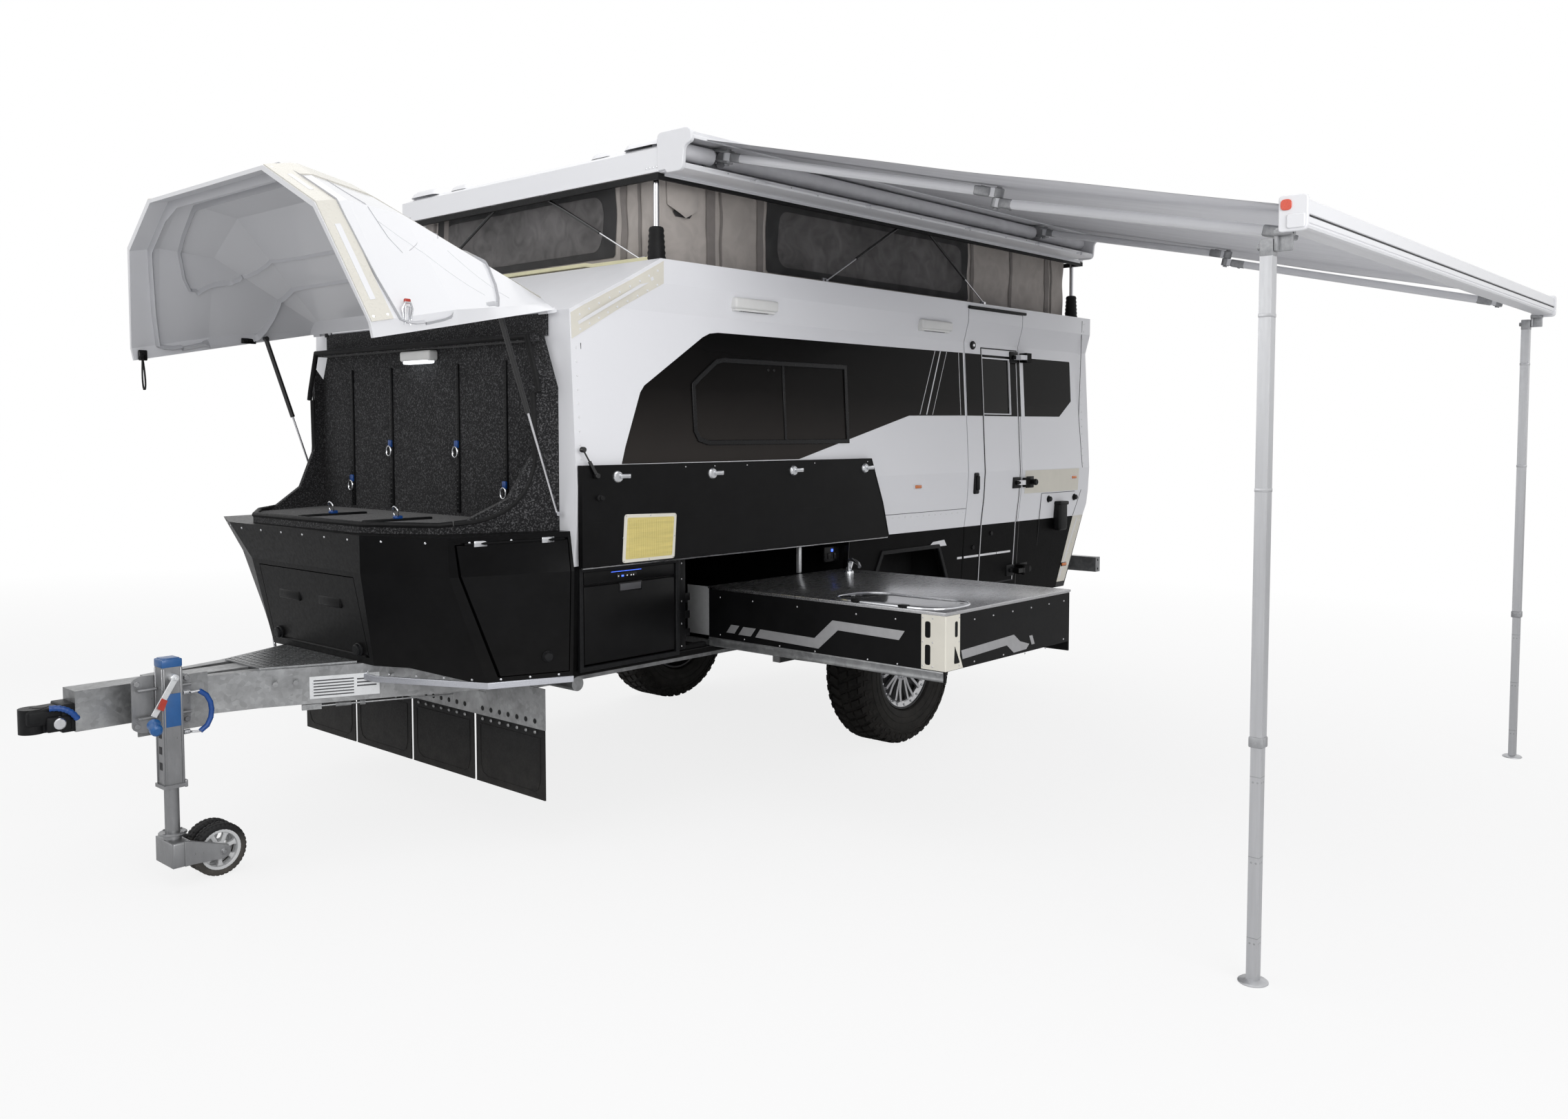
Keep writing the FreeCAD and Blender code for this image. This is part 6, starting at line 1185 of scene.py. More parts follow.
weather_strip = finish("weather_strip", (0.66, 0.63, 0.42), 0.6, vary=0.06, size=10.0, relief=0.2,
                       relief_size=300.0)
path = [(-2.165, y, GROUND + h) for y, h in ((0.93, 2.452), (0.55, 2.454), (0.50, 2.462), (-0.93, 2.462))]
strip = piece("weather_strip", [carried(path, bar(0.030, 0.018))], weather_strip, bevel=0.003)
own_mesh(strip)


# The tent walls: canvas sewn into a ring between the walls' top and the roof. Mesh windows with dark
# borders, folded straps and a hooded vent are stitched to it, and all of it ripples with the same folds.
TENT_FOOT, TENT_RISE = 2.4155, 0.4765


def folds(x, y, height):
    """How far the canvas stands off its flat wall: ripples that die out at the top and bottom hems."""
    share = np.clip((height - TENT_FOOT) / TENT_RISE, 0, 1)
    slack = np.sin(np.pi * share) ** 0.6
    wide = (0.55 * np.sin(8.3 * x + 6.1 * y + 7.0 * height)
            + 0.35 * np.sin(-14.7 * x + 11.3 * y + 17.0 * height + 1.3))
    small = (0.28 * np.sin(33.0 * x - 27.0 * y - 21.0 * height)
             + 0.2 * np.sin(52.0 * x + 47.0 * y + 33.0 * height + 0.7))
    return 0.0072 * slack * (wide + small)


tent_walls = {"kerb": ((0, 0.905), (1, 0), (0, 1)), "off": ((0, -0.905), (1, 0), (0, -1)),
              "nose": ((-2.219, 0), (0, 1), (1, 0)), "tail": ((-5.836, 0), (0, 1), (-1, 0))}


def on_tent(wall, u, height, lift=0.0):
    """A point on one wall of the tent, at a place along it and a height, lifted off the canvas."""
    base, along, out = (np.array(v, float) for v in tent_walls[wall])
    u, height, lift = np.broadcast_arrays(np.asarray(u, float), np.asarray(height, float), lift)
    flat = base + u[..., None] * along
    shift = folds(flat[..., 0], flat[..., 1], height) + lift
    plan = flat + shift[..., None] * out
    return np.stack([plan[..., 0], plan[..., 1], GROUND + height], -1)


def tent_patch(wall, low, high, lift, corner=0.0, step=0.012):
    """A panel on a tent wall from one corner (u, height) to the other, with its corners cut round."""
    u = np.linspace(low[0], high[0], max(int(abs(high[0] - low[0]) / step), 3) + 1)
    share = np.linspace(0, 1, max(int((high[1] - low[1]) / step), 3) + 1)[:, None]
    reach = np.minimum(np.abs(u - low[0]), np.abs(high[0] - u))
    inset = corner - np.sqrt(np.maximum(corner ** 2 - np.maximum(corner - reach, 0) ** 2,
                                        0)) if corner else 0 * u
    height = low[1] + inset + (high[1] - low[1] - 2 * inset) * share
    points, quads, ends = grid(on_tent(wall, np.broadcast_to(u, height.shape), height, lift))
    base, along, out = (np.array(v, float) for v in tent_walls[wall])
    turned_in = np.cross(np.append(along, 0), (0, 0, 1)) @ np.append(out, 0) > 0
    flip = (high[0] > low[0]) != turned_in
    return points, quads[:, ::-1] if flip else quads, ends


def woven(name, colour, thread, rough, vary):
    """Cloth of crossed threads: two fine waves along the wall and up it, with stains, a soft sheen and
    painted shade in the hollows of its creases.
    """
    made, tree, shader = surface(name, {"Roughness": rough, "Specular IOR Level": 0.15, "Sheen Weight": 0.2})
    place = add(tree, "TexCoord").outputs["Object"]
    parts = add(tree, "SeparateXYZ", {0: place})
    run = add(tree, "Math", {0: parts.outputs[0], 1: parts.outputs[1]}, operation="ADD")
    weft = add(tree, "Math", {0: run.outputs[0], 1: thread}, operation="MULTIPLY")
    warp = add(tree, "Math", {0: parts.outputs[2], 1: thread}, operation="MULTIPLY")
    waves = [add(tree, "Math", {0: wave.outputs[0]}, operation="SINE").outputs[0] for wave in (weft, warp)]
    cross = add(tree, "Math", {0: waves[0], 1: waves[1]}, operation="MULTIPLY")
    stain = add(tree, "TexNoise", {"Vector": place, "Scale": 2.4, "Detail": 6.0})
    crease = add(tree, "TexNoise", {"Vector": place, "Scale": 9.0, "Detail": 5.0, "Distortion": 1.5})
    # Painted shade: the crease noise that raises the relief also darkens the colour in its hollows. It makes
    # up half of the tint, and the real stains make up the other half.
    both = add(tree, "Math", {0: stain.outputs[0], 1: crease.outputs[0]}, operation="ADD")
    mean = add(tree, "Math", {0: both.outputs[0], 1: 0.5}, operation="MULTIPLY")
    tint = ramp(tree, mean.outputs[0], [c * (1 - vary) for c in colour],
                [min(c * (1 + vary), 1) for c in colour], 0.36, 0.64)
    wire(shader, {"Base Color": tint.outputs[0]})
    total = add(tree, "Math", {0: crease.outputs[0], 1: 3.0, 2: cross.outputs[0]}, operation="MULTIPLY_ADD")
    emboss(shader, total.outputs[0], 0.35, 0.002)
    return made


canvas = woven("tent_canvas", (0.43, 0.395, 0.37), 2600.0, 0.85, 0.13)
strap_cloth = woven("tent_strap", (0.215, 0.195, 0.185), 2200.0, 0.8, 0.12)
mesh_edge = woven("mesh_border", (0.030, 0.029, 0.030), 2400.0, 0.8, 0.25)
mesh_net = woven("mesh_window", (0.105, 0.100, 0.100), 2000.0, 0.75, 0.42)
corner_round = 0.028
angle = np.linspace(0, np.pi / 2, 7)[:-1]
plan = []
for cx, cy, first in ((-2.219, 0.905, 0), (-5.836, 0.905, 1), (-5.836, -0.905, 2), (-2.219, -0.905, 3)):
    turn = angle + first * np.pi / 2
    centre = np.array((cx, cy)) - corner_round * np.sign((cx + 4.0, cy))
    plan += (centre + corner_round * np.stack([np.cos(turn), np.sin(turn)], 1)).tolist()
plan = np.array(plan + plan[:1])
steps = np.concatenate([[0], np.cumsum(np.linalg.norm(np.diff(plan, axis=0), axis=1))])
along = np.arange(0, steps[-1], 0.011)
ring = np.stack([np.interp(along, steps, plan[:, k]) for k in (0, 1)], 1)
ahead = unit(np.roll(ring, -1, 0) - np.roll(ring, 1, 0))
out = np.stack([ahead[:, 1], -ahead[:, 0]], 1)
heights = np.linspace(TENT_FOOT, 2.892, 40)[:, None]
shift = folds(ring[None, :, 0], ring[None, :, 1], heights)
walls = ring[None] + shift[..., None] * out[None]
cloth = np.concatenate([walls, np.broadcast_to(GROUND + heights[..., None], walls.shape[:2] + (1,))], -1)
tent = piece("tent_canvas", [grid(cloth, False, True)], canvas)
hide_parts("tent_walls")
nets, borders, ribbons = [], [], []
for wall, low, high in (("kerb", (-4.690, 2.470), (-2.935, 2.822)), ("off", (-4.690, 2.470), (-2.935, 2.822)),
                        ("nose", (-0.770, 2.490), (0.640, 2.822)), ("tail", (-0.640, 2.490), (0.640, 2.822))):
    borders.append(tent_patch(wall, low, high, 0.0030, 0.012))
    nets.append(tent_patch(wall, (low[0] + 0.060, low[1] + 0.035), (high[0] - 0.085, high[1] - 0.045),
                           0.0042, 0.075))
for wall in ("kerb", "off"):
    for at, wide in ((-2.555, 0.055), (-2.620, 0.014), (-2.890, 0.045), (-4.735, 0.030), (-5.165, 0.030),
                     (-5.600, 0.050), (-5.655, 0.014)):
        ribbons.append(tent_patch(wall, (at - wide / 2, 2.425), (at + wide / 2, 2.880), 0.0048, 0.0, 0.008))
for wall in ("nose", "tail"):
    for at, wide in ((0.695, 0.040), (-0.695, 0.040), (0.80, 0.018), (-0.80, 0.018)):
        ribbons.append(tent_patch(wall, (at - wide / 2, 2.425), (at + wide / 2, 2.880), 0.0048, 0.0, 0.008))
netting = [piece("mesh_borders", borders, mesh_edge),
           piece("mesh_windows", nets, mesh_net),
           piece("tent_straps", ribbons, strap_cloth)]
hoods, mouths = [], []
for wall in ("kerb", "off"):
    u = np.linspace(-2.480, -2.285, 17)
    fall = np.linspace(0, 1, 13)[:, None]
    centred = (u - u.mean()) / (u[-1] - u[0]) * 2
    height = 2.810 - fall * (0.105 + 0.050 * (1 - np.abs(centred)))
    lift = 0.004 + 0.022 * np.sin(np.pi / 2 * fall) * (1 - np.abs(centred) ** 2.5)
    hoods.append(grid(on_tent(wall, np.broadcast_to(u, height.shape), height, lift)))
    mouths.append(tent_patch(wall, (-2.440, 2.660), (-2.325, 2.700), 0.0052, 0.018))
netting.append(piece("vent_hoods", hoods, canvas))
netting.append(piece("vent_mouths", mouths, mesh_edge))
for part in [tent, *netting]:
    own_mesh(part)


# The awning case: a white aluminium extrusion with a round shoulder and moulded end caps, along the roof's
# kerb edge. It is grey inside, holds the cloth's roller and has a lip rail with clips under its mouth.
def arcs(corners, radii, steps=5):
    """An outline with its corners rounded: each is cut back by its radius and bent as a quadratic curve."""
    corners = np.array(corners, float)
    before, after = np.roll(corners, 1, 0), np.roll(corners, -1, 0)
    radii = np.broadcast_to(np.asarray(radii, float), (len(corners),))[:, None]
    start = corners + unit(before - corners) * radii
    end = corners + unit(after - corners) * radii
    t = np.linspace(0, 1, steps)[:, None, None]
    return bent(start, corners, end, t).transpose(1, 0, 2).reshape(-1, 2)


def along_case(front, rear, section):
    """A profile of (distance from the middle, height) drawn from the front of the caravan to the rear."""
    return carried(np.array([(front, 0, GROUND), (rear, 0, GROUND)]), section)


awning_white = finish("awning_white", (0.76, 0.765, 0.79), 0.33, coat=0.2, vary=0.015, size=2.0, uneven=0.012)
cast_grey = finish("awning_castings", (0.33, 0.335, 0.345), 0.42, metal=0.5, vary=0.15, size=60.0,
                   relief=0.25)
inside_grey = finish("case_inside", (0.68, 0.68, 0.70), 0.5, metal=0.1, vary=0.08, size=20.0,
                     stretch=(0.1, 1, 1))
dress(inside_grey, "awning_case")
shell = [(0.998, 2.9560), (0.998, 2.9580), (1.020, 2.9640), (1.090, 2.9700), (1.150, 2.9690), (1.180, 2.9640),
         (1.196, 2.9520), (1.2035, 2.9380), (1.2035, 2.9270), (1.2005, 2.9270), (1.2005, 2.9560)]
lip = [(0.998, 2.8245), (1.1400, 2.8245), (1.1405, 2.8330), (1.1440, 2.8350), (1.1500, 2.8340),
       (1.1520, 2.8200), (1.1480, 2.8120), (1.1380, 2.8090), (0.998, 2.8110)]
piece("awning_case_shell", [along_case(-2.157, -5.755, shell), along_case(-2.157, -5.755, lip)],
      awning_white, "roof")
cap = arcs([(0.996, 2.816), (1.046, 2.816), (1.056, 2.801), (1.152, 2.801), (1.160, 2.900), (1.206, 2.915),
            (1.206, 2.976), (0.996, 2.976)], [0.004, 0.004, 0.004, 0.030, 0.020, 0.012, 0.040, 0.030])
piece("awning_end_caps", [along_case(-2.142, -2.162, cap), along_case(-5.750, -5.768, cap)], awning_white,
      "roof", bevel=0.006)
rolls = [along_case(start, end, disc(radius, 32) + (1.060, 2.905)) for start, end, radius in
         ((-2.166, -2.400, 0.036), (-2.470, -5.150, 0.036), (-5.220, -5.745, 0.036))]
piece("awning_roller", rolls, woven("roller_cloth", (0.80, 0.80, 0.83), 1800.0, 0.75, 0.06), "roof")
clips, dots = [], []
for x in (-2.62, -3.46, -4.36, -5.10, -5.62):
    clips += [rounded_box((x - 0.030, 1.146, GROUND + 2.808), (x + 0.030, 1.164, GROUND + 2.828), 0.005, 3),
              rounded_box((x - 0.060, 1.149, GROUND + 2.813), (x + 0.060, 1.156, GROUND + 2.823), 0.003)]
for x in np.arange(-2.42, -5.7, -0.42):
    dots.append((x, 1.1515, GROUND + 2.826))
    dots.append((x - 0.19, 1.1515, GROUND + 2.817))
piece("awning_clips", clips, awning_white, "roof")
piece("awning_screws", [domes(dots, (0, 1, 0), 0.0035)], cast_grey, "roof")
track = [(1.0010, 2.7985), (1.0095, 2.7985), (1.0095, 2.8015), (1.0040, 2.8020), (1.0040, 2.8070),
         (1.0095, 2.8075), (1.0095, 2.8105), (1.0010, 2.8105)]
piece("awning_track", [along_case(-2.180, -5.860, track)], awning_white, "roof")


# The folding arms: flat oval tubes in white, each pair joined by a cast elbow and hung from a cast shoulder
# bracket. They swing in a plane that leans down at the slope of the cloth.
fall = np.radians(12.69)
outward = np.array((0, np.cos(fall), -np.sin(fall)))
over = np.array((0, np.sin(fall), np.cos(fall)))


def laid(shape, start, along):
    """A shape drawn flat at the origin, laid in the arms' plane: its x runs along, its z stands over it."""
    points, quads, ends = shape
    along = unit(along)
    return points @ np.array([along, np.cross(over, along), over]) + start, quads, ends


def nut(at, low, high, radius):
    """A six-sided nut standing from one height to another."""
    return turned([(0, high), (radius * 0.8, high), (radius, high - 0.0015), (radius, low), (0, low)],
                  (at[0], at[1], 0), (0, 0, 1), 6)


def knuckle(at, low, high, radius):
    """A round eye with softened rims."""
    soft = 0.003
    rim = [(0, high), (radius - soft, high), (radius, high - soft), (radius, low + soft),
           (radius - soft, low), (0, low)]
    return turned(rim, (at, 0, 0), (0, 0, 1), 28)


dress(awning_white, "arm_upper_front", "arm_lower_front", "arm_upper_back", "arm_lower_back")
for name, shoulder_x, elbow_x in (("front", -2.435, -2.685), ("rear", -5.185, -4.935)):
    shoulder = np.array((shoulder_x, 1.130, GROUND + 2.885))
    elbow = shoulder + outward * 1.25306 + np.array((elbow_x - shoulder_x, 0, 0))
    tip = shoulder + outward * 2.50612
    reach = float(np.linalg.norm(elbow - shoulder))
    bracket = [rounded_box((-0.122, -0.0215, -0.0100), (0.0205, 0.0215, -0.0004), 0.004),
               rounded_box((-0.122, -0.0215, 0.0364), (0.0205, 0.0215, 0.0460), 0.004),
               rounded_box((-0.128, -0.0250, -0.0120), (-0.095, 0.0250, 0.0480), 0.006),
               nut((0, 0), -0.018, -0.010, 0.013), nut((0, 0), 0.046, 0.053, 0.013),
               nut((-0.060, 0.008), -0.0165, -0.010, 0.007), nut((-0.060, -0.010), -0.0165, -0.010, 0.007)]
    bracket = [laid(shape, shoulder, outward) for shape in bracket]
    bracket.append(rounded_box((shoulder_x - 0.034, 1.003, GROUND + 2.850),
                               (shoulder_x + 0.034, 1.034, GROUND + 2.938), 0.006))
    for dx in (-0.024, 0.024):
        bracket.append(turned([(0, 0.008), (0.008, 0.008), (0.008, 0), (0, 0)],
                              (shoulder_x + dx, 1.034, GROUND + 2.862), (0, 1, 0), 6))
    piece("shoulder_bracket_" + name, bracket, cast_grey, "roof")
    tube = arcs([(-0.0235, 0.0002), (0.0235, 0.0002), (0.0235, 0.0364), (-0.0235, 0.0364)], 0.013)
    run = np.array([(0.060, 0, 0), (reach - 0.078, 0, 0)])
    piece("upper_tube_" + name, [laid(carried(run, tube), shoulder, elbow - shoulder)], awning_white,
          "arm_upper_" + name)
    joints = [rounded_box((0.024, -0.0245, -0.0004), (0.078, 0.0245, 0.0372), 0.007, 3),
              rounded_box((reach - 0.098, -0.0250, 0.0001), (reach - 0.028, 0.0250, 0.0376), 0.007, 3),
              knuckle(reach, 0.0006, 0.0378, 0.0215), nut((reach, 0), 0.0378, 0.0440, 0.011),
              nut((reach - 0.070, 0.010), 0.0376, 0.0410, 0.005),
              nut((reach - 0.070, -0.010), 0.0376, 0.0410, 0.005)]
    piece("upper_castings_" + name, [laid(shape, shoulder, elbow - shoulder) for shape in joints], cast_grey,
          "arm_upper_" + name)
    tube = tube * (1, -1)
    piece("lower_tube_" + name, [laid(carried(run, tube), elbow, tip - elbow)], awning_white,
          "arm_lower_" + name)
    joints = [rounded_box((0.028, -0.0245, -0.0376), (0.098, 0.0245, -0.0001), 0.007, 3),
              rounded_box((reach - 0.092, -0.0245, -0.0372), (reach - 0.026, 0.0245, -0.0004), 0.007, 3),
              knuckle(0.0, -0.0378, -0.0006, 0.0215), knuckle(reach, -0.0372, -0.0008, 0.0205),
              nut((0, 0), -0.0440, -0.0378, 0.011), nut((0.070, 0.010), -0.0410, -0.0376, 0.005),
              nut((0.070, -0.010), -0.0410, -0.0376, 0.005)]
    piece("lower_castings_" + name, [laid(shape, elbow, tip - elbow) for shape in joints], cast_grey,
          "arm_lower_" + name)
    tongue = [rounded_box((-0.019, -0.0180, 0.0016), (0.058, 0.0180, 0.0112), 0.003),
              nut((0, 0), 0.0112, 0.0180, 0.010), nut((0, 0), -0.0425, -0.0362, 0.010)]
    piece("arm_tip_" + name, [laid(shape, tip, outward) for shape in tongue], cast_grey, "lead_rail")


# The lead rail: a white extrusion with a grooved face and moulded end caps, one red reflector on each. Its
# legs hang from cast lugs: satin square tubes that telescope, each with a collar, a clip and a round foot.
dress(awning_white, "lead_rail")
face = [(3.6165, 2.3830), (3.6300, 2.3870), (3.6600, 2.3880), (3.6840, 2.3845), (3.6900, 2.3780),
        (3.6905, 2.3400), (3.6868, 2.3375), (3.6868, 2.3320), (3.6905, 2.3295), (3.6905, 2.3140),
        (3.6868, 2.3115), (3.6868, 2.3070), (3.6890, 2.3050), (3.6860, 2.2985), (3.6760, 2.2955),
        (3.6650, 2.2970), (3.6420, 2.2970), (3.6300, 2.2945), (3.6165, 2.2970)]
piece("lead_rail_face", [along_case(-2.217, -5.833, face)], awning_white, "lead_rail")
# Painted shade: a dark strip laid in the groove of the rail's face stands for the shade inside it.
groove = [(3.6867, 2.3323), (3.6880, 2.3323), (3.6880, 2.3372), (3.6867, 2.3372)]
piece("lead_rail_groove_shade", [along_case(-2.219, -5.831, groove)], seam, "lead_rail")
cap = arcs([(3.611, 2.288), (3.696, 2.288), (3.696, 2.394), (3.611, 2.394)], [0.010, 0.020, 0.016, 0.012])
cap_ridge = arcs([(3.636, 2.296), (3.690, 2.296), (3.690, 2.338), (3.636, 2.338)], 0.008)
piece("lead_rail_caps", [along_case(-2.205, -2.222, cap), along_case(-5.828, -5.846, cap),
                         along_case(-2.200, -2.210, cap_ridge), along_case(-5.838, -5.851, cap_ridge)],
      awning_white, "lead_rail", bevel=0.003)
dot = arcs([(3.618, 2.350), (3.650, 2.350), (3.650, 2.382), (3.618, 2.382)], 0.013)
rail_red = finish("rail_reflector", (0.62, 0.060, 0.020), 0.25, coat=0.6, vary=0.08, size=200.0, relief=0.4,
                  relief_size=900.0)
piece("lead_rail_reflectors", [along_case(-2.201, -2.206, dot), along_case(-5.845, -5.850, dot)], rail_red,
      "lead_rail", bevel=0.001)
leg_satin = finish("leg_aluminium", (0.50, 0.505, 0.52), 0.36, metal=0.7, vary=0.05, size=12.0,
                   stretch=(6, 6, 0.3), relief=0.05)
dress(leg_satin, "leg_outer_front", "leg_inner_front", "leg_outer_back", "leg_inner_back")
for name, x in (("front", -2.245), ("rear", -5.815)):
    deep = np.array((x, 3.570, GROUND))
    lug = [rounded_box(deep + (-0.020, 0.0215, 2.238), deep + (0.020, 0.034, 2.300), 0.005),
           rounded_box(deep + (-0.0065, 0.0210, 2.238), deep + (0.0065, 0.0720, 2.300), 0.003),
           rounded_box(deep + (-0.026, 0.0215, 2.282), deep + (0.026, 0.072, 2.300), 0.005),
           turned([(0, 0.008), (0.010, 0.008), (0.011, 0), (0, 0)], deep + (0, -0.0230, 2.255), (0, -1, 0),
                  6)]
    piece("leg_lug_" + name, lug, cast_grey, "lead_rail")
    socket = [rounded_box(deep + (-0.0205, -0.0205, 2.225), deep + (0.0205, 0.0205, 2.277), 0.004),
              rounded_box(deep + (-0.0225, -0.0225, 0.737), deep + (0.0225, 0.0225, 0.770), 0.004),
              rounded_box(deep + (-0.030, -0.008, 0.742), deep + (-0.0220, 0.010, 0.766), 0.003)]
    piece("leg_collar_" + name, socket, cast_grey, "leg_" + name)
    catches = [rounded_box(deep + (-0.0205, -0.0205, h - 0.006), deep + (0.0205, 0.0205, h + 0.006), 0.002)
               for h in (1.525, 2.050)]
    piece("leg_catch_" + name, catches, leg_satin, "leg_" + name)
    bands, buttons = [], []
    for h in (0.645, 0.395, 0.142):
        bands.append(rounded_box(deep + (-0.0166, -0.0166, h), deep + (0.0166, 0.0166, h + 0.003), 0.0003))
        buttons += [deep + (0.0164, dy, h - 0.016) for dy in (-0.007, 0.007)]
        buttons += [deep + (dy, 0.0164, h - 0.016) for dy in (-0.007, 0.007)]
    heads = [domes(buttons, np.array([(1, 0, 0), (1, 0, 0), (0, 1, 0), (0, 1, 0)] * 3), 0.004, 0.0003)]
    piece("leg_marks_" + name, bands + heads, cast_grey, "leg_%s_inner" % name)
    foot = [(0, 0.012), (0.021, 0.012), (0.023, 0.0118), (0.024, 0.0112), (0.040, 0.009), (0.0455, 0.005),
            (0.0460, 0.002), (0.0440, 0.0004), (0, 0.0004)]
    piece("leg_foot_" + name, [turned(foot, deep, (0, 0, 1), 36)], leg_satin, "leg_%s_inner" % name)


# The awning cloth: coated polyester drawn tight from the roller to the lead rail, with faint slanting pulls
# and a hem along its sides and its front edge. Its colour carries painted shade: greyer near the case, where
# it lies in its own shade, and in slanting streaks along the pulls.
def awning_surface(x, share, under=0.0):
    """A point of the cloth: a straight line from lip to rail, a shallow sag across it and slanting pulls."""
    x, share = np.broadcast_arrays(x, share)
    y = 1.2000 + (3.6180 - 1.2000) * share
    bow = np.sin(np.pi * share)
    pulls = 0.0012 * np.sin(9.0 * x + 5.0 * y) + 0.0009 * np.sin(23.0 * x - 8.0 * y + 1.0)
    height = 2.9340 + (2.3735 - 2.9340) * share - bow * 0.009 + bow * pulls - under
    return np.stack([x, y, GROUND + height], -1)


awning_cloth, tree, shader = surface("awning_cloth", {"Roughness": 0.72, "Specular IOR Level": 0.2,
                                                      "Sheen Weight": 0.15})
place = add(tree, "TexCoord").outputs["Object"]
out = add(tree, "SeparateXYZ", {0: place}).outputs[1]
slanted = add(tree, "Mapping", {"Vector": place, "Rotation": (0, 0, 0.62), "Scale": (4.5, 0.45, 1.0)})
# Painted shade: slanting streaks of darker and lighter grey that follow the pulls.
pull_shade_streaks = add(tree, "TexNoise", {"Vector": slanted.outputs[0], "Scale": 2.2, "Detail": 7.0, "Roughness": 0.65})
# Painted shade: the cloth is drawn greyer towards the case, where it lies in its own shade.
share = add(tree, "MapRange", {0: out, 1: 1.2, 2: 3.2})
moved = add(tree, "MapRange", {0: pull_shade_streaks.outputs[0], 1: 0.3, 2: 0.7, 3: -0.12, 4: 0.12})
total = add(tree, "Math", {0: share.outputs[0], 1: moved.outputs[0]}, operation="ADD")
tint = ramp(tree, total.outputs[0], (0.36, 0.36, 0.385), (0.82, 0.825, 0.86))
wire(shader, {"Base Color": tint.outputs[0]})
thread = add(tree, "TexNoise", {"Vector": place, "Scale": 900.0, "Detail": 2.0})
emboss(shader, thread.outputs[0], 0.2)
x = np.linspace(-5.7350, -2.2370, 190)[:, None]
cloth = piece("awning_cloth", [grid(awning_surface(x, np.linspace(0, 1, 90)[None]))], awning_cloth, "roof")
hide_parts("awning_fabric")
hems = [grid(awning_surface(np.linspace(start, start + 0.028, 4)[:, None], np.linspace(0, 1, 60)[None],
                            0.0009)[::-1])
        for start in (-5.7345, -2.2655)]
hems.append(grid(awning_surface(np.linspace(-5.70, -2.27, 90)[:, None], np.linspace(0.960, 0.985, 4)[None],
                                0.0009)[::-1]))
hem = piece("awning_hems", hems, awning_cloth, "roof")
for part in (cloth, hem):
    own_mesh(part)


# The kitchen drawer: a black folded steel box on galvanised slides that stands out of the body. Silver bars
# are let into its sides with rivets round them, and a tan slotted guard wraps its outer front corner.
satin_black = finish("kitchen_black", (0.0040, 0.0040, 0.0043), 0.34, vary=0.25, size=7.0, relief=0.12,
                     relief_size=420.0, shine=0.12, uneven=0.04)
steel = finish("brushed_steel", (0.60, 0.60, 0.61), 0.26, metal=1.0, vary=0.06, size=7.0,
               stretch=(0.25, 6, 6), relief=0.04)
bar_silver = finish("silver_bars", (0.42, 0.42, 0.43), 0.35, metal=0.6, vary=0.05, size=30.0)
dress(satin_black, "kitchen_drawer")
dress(zinc, "kitchen_slide_fixed", "kitchen_slide_middle")
dress(steel, "kitchen_top")


def flat_plate(outline, face, thick, side="front"):
    """A flat plate cut to an outline: (y, height) on a face across x, or (x, height) on a face across y."""
    outline = np.array(outline, float)
    across, height = outline.T
    area = np.sum(across * np.roll(height, -1) - np.roll(across, -1) * height)
    if (area < 0) == (side == "front"):
        across, height = across[::-1], height[::-1]
    layers = []
    for level in (face + thick, face):
        depth = np.full(len(across), level)
        flat = (depth, across) if side == "front" else (across, depth)
        layers.append(np.stack([*flat, GROUND + height], -1))
    points, quads, _ = grid(np.array(layers), False, True)
    count = len(across)
    return points, quads, [list(range(count)), list(range(2 * count - 1, count - 1, -1))]


def slanted_bar(left, right, low, high, lean):
    """A bar with slanted ends."""
    return [(left, low), (right, low), (right + lean, high), (left + lean, high)]


front, end, rear = -2.455, 2.280, -3.430
stripes = [flat_plate(slanted_bar(1.100, 1.150, 0.800, 0.838, 0.030), front, 0.0012),
           flat_plate(slanted_bar(1.175, 1.250, 0.798, 0.836, 0.030), front, 0.0012),
           flat_plate([(1.277, 0.797), (1.640, 0.789), (1.745, 0.878), (2.058, 0.872), (2.086, 0.911),
                       (1.716, 0.917), (1.618, 0.832), (1.307, 0.836)], front, 0.0012),
           flat_plate([(-2.575, 0.806), (-2.905, 0.818), (-2.960, 0.780), (-3.060, 0.782), (-3.085, 0.802),
                       (-3.010, 0.822), (-2.960, 0.856), (-2.565, 0.842)], end, 0.0012, "end"),
           flat_plate(slanted_bar(-3.130, -3.105, 0.796, 0.836, 0.020), end, 0.0012, "end")]
piece("drawer_bars", stripes, bar_silver, "kitchen_drawer", bevel=0.0006)
spots = [(front, y, GROUND + h) for y, h in ((1.06, 0.955), (1.26, 0.955), (1.52, 0.955), (1.84, 0.955),
                                             (2.04, 0.955), (1.06, 0.785), (1.21, 0.780), (1.42, 0.775),
                                             (1.62, 0.775), (1.90, 0.775), (2.05, 0.775))]
tail = [(x, end, GROUND + h) for x, h in ((-2.66, 0.955), (-2.80, 0.955), (-2.95, 0.955), (-3.10, 0.955),
                                          (-3.25, 0.955), (-2.66, 0.785), (-2.88, 0.782), (-3.05, 0.765),
                                          (-3.22, 0.765), (-3.38, 0.955), (-3.38, 0.785))]
piece("drawer_rivets", [domes(spots, (1, 0, 0), 0.0042), domes(tail, (0, 1, 0), 0.0042)], steel,
      "kitchen_drawer")
wrap = np.array([(front + 0.0018, 2.168, 0), (front + 0.0018, end - 0.0004, 0),
                 (front - 0.0004, end + 0.0018, 0), (-2.552, end + 0.0018, 0)]) + (0, 0, GROUND + 0.880)
guard = carried(wrap, bar(0.003, 0.216))
toe = flat_plate([(-2.545, 0.772), (-2.575, 0.772), (-2.545, 0.840)], end, 0.003, "end")
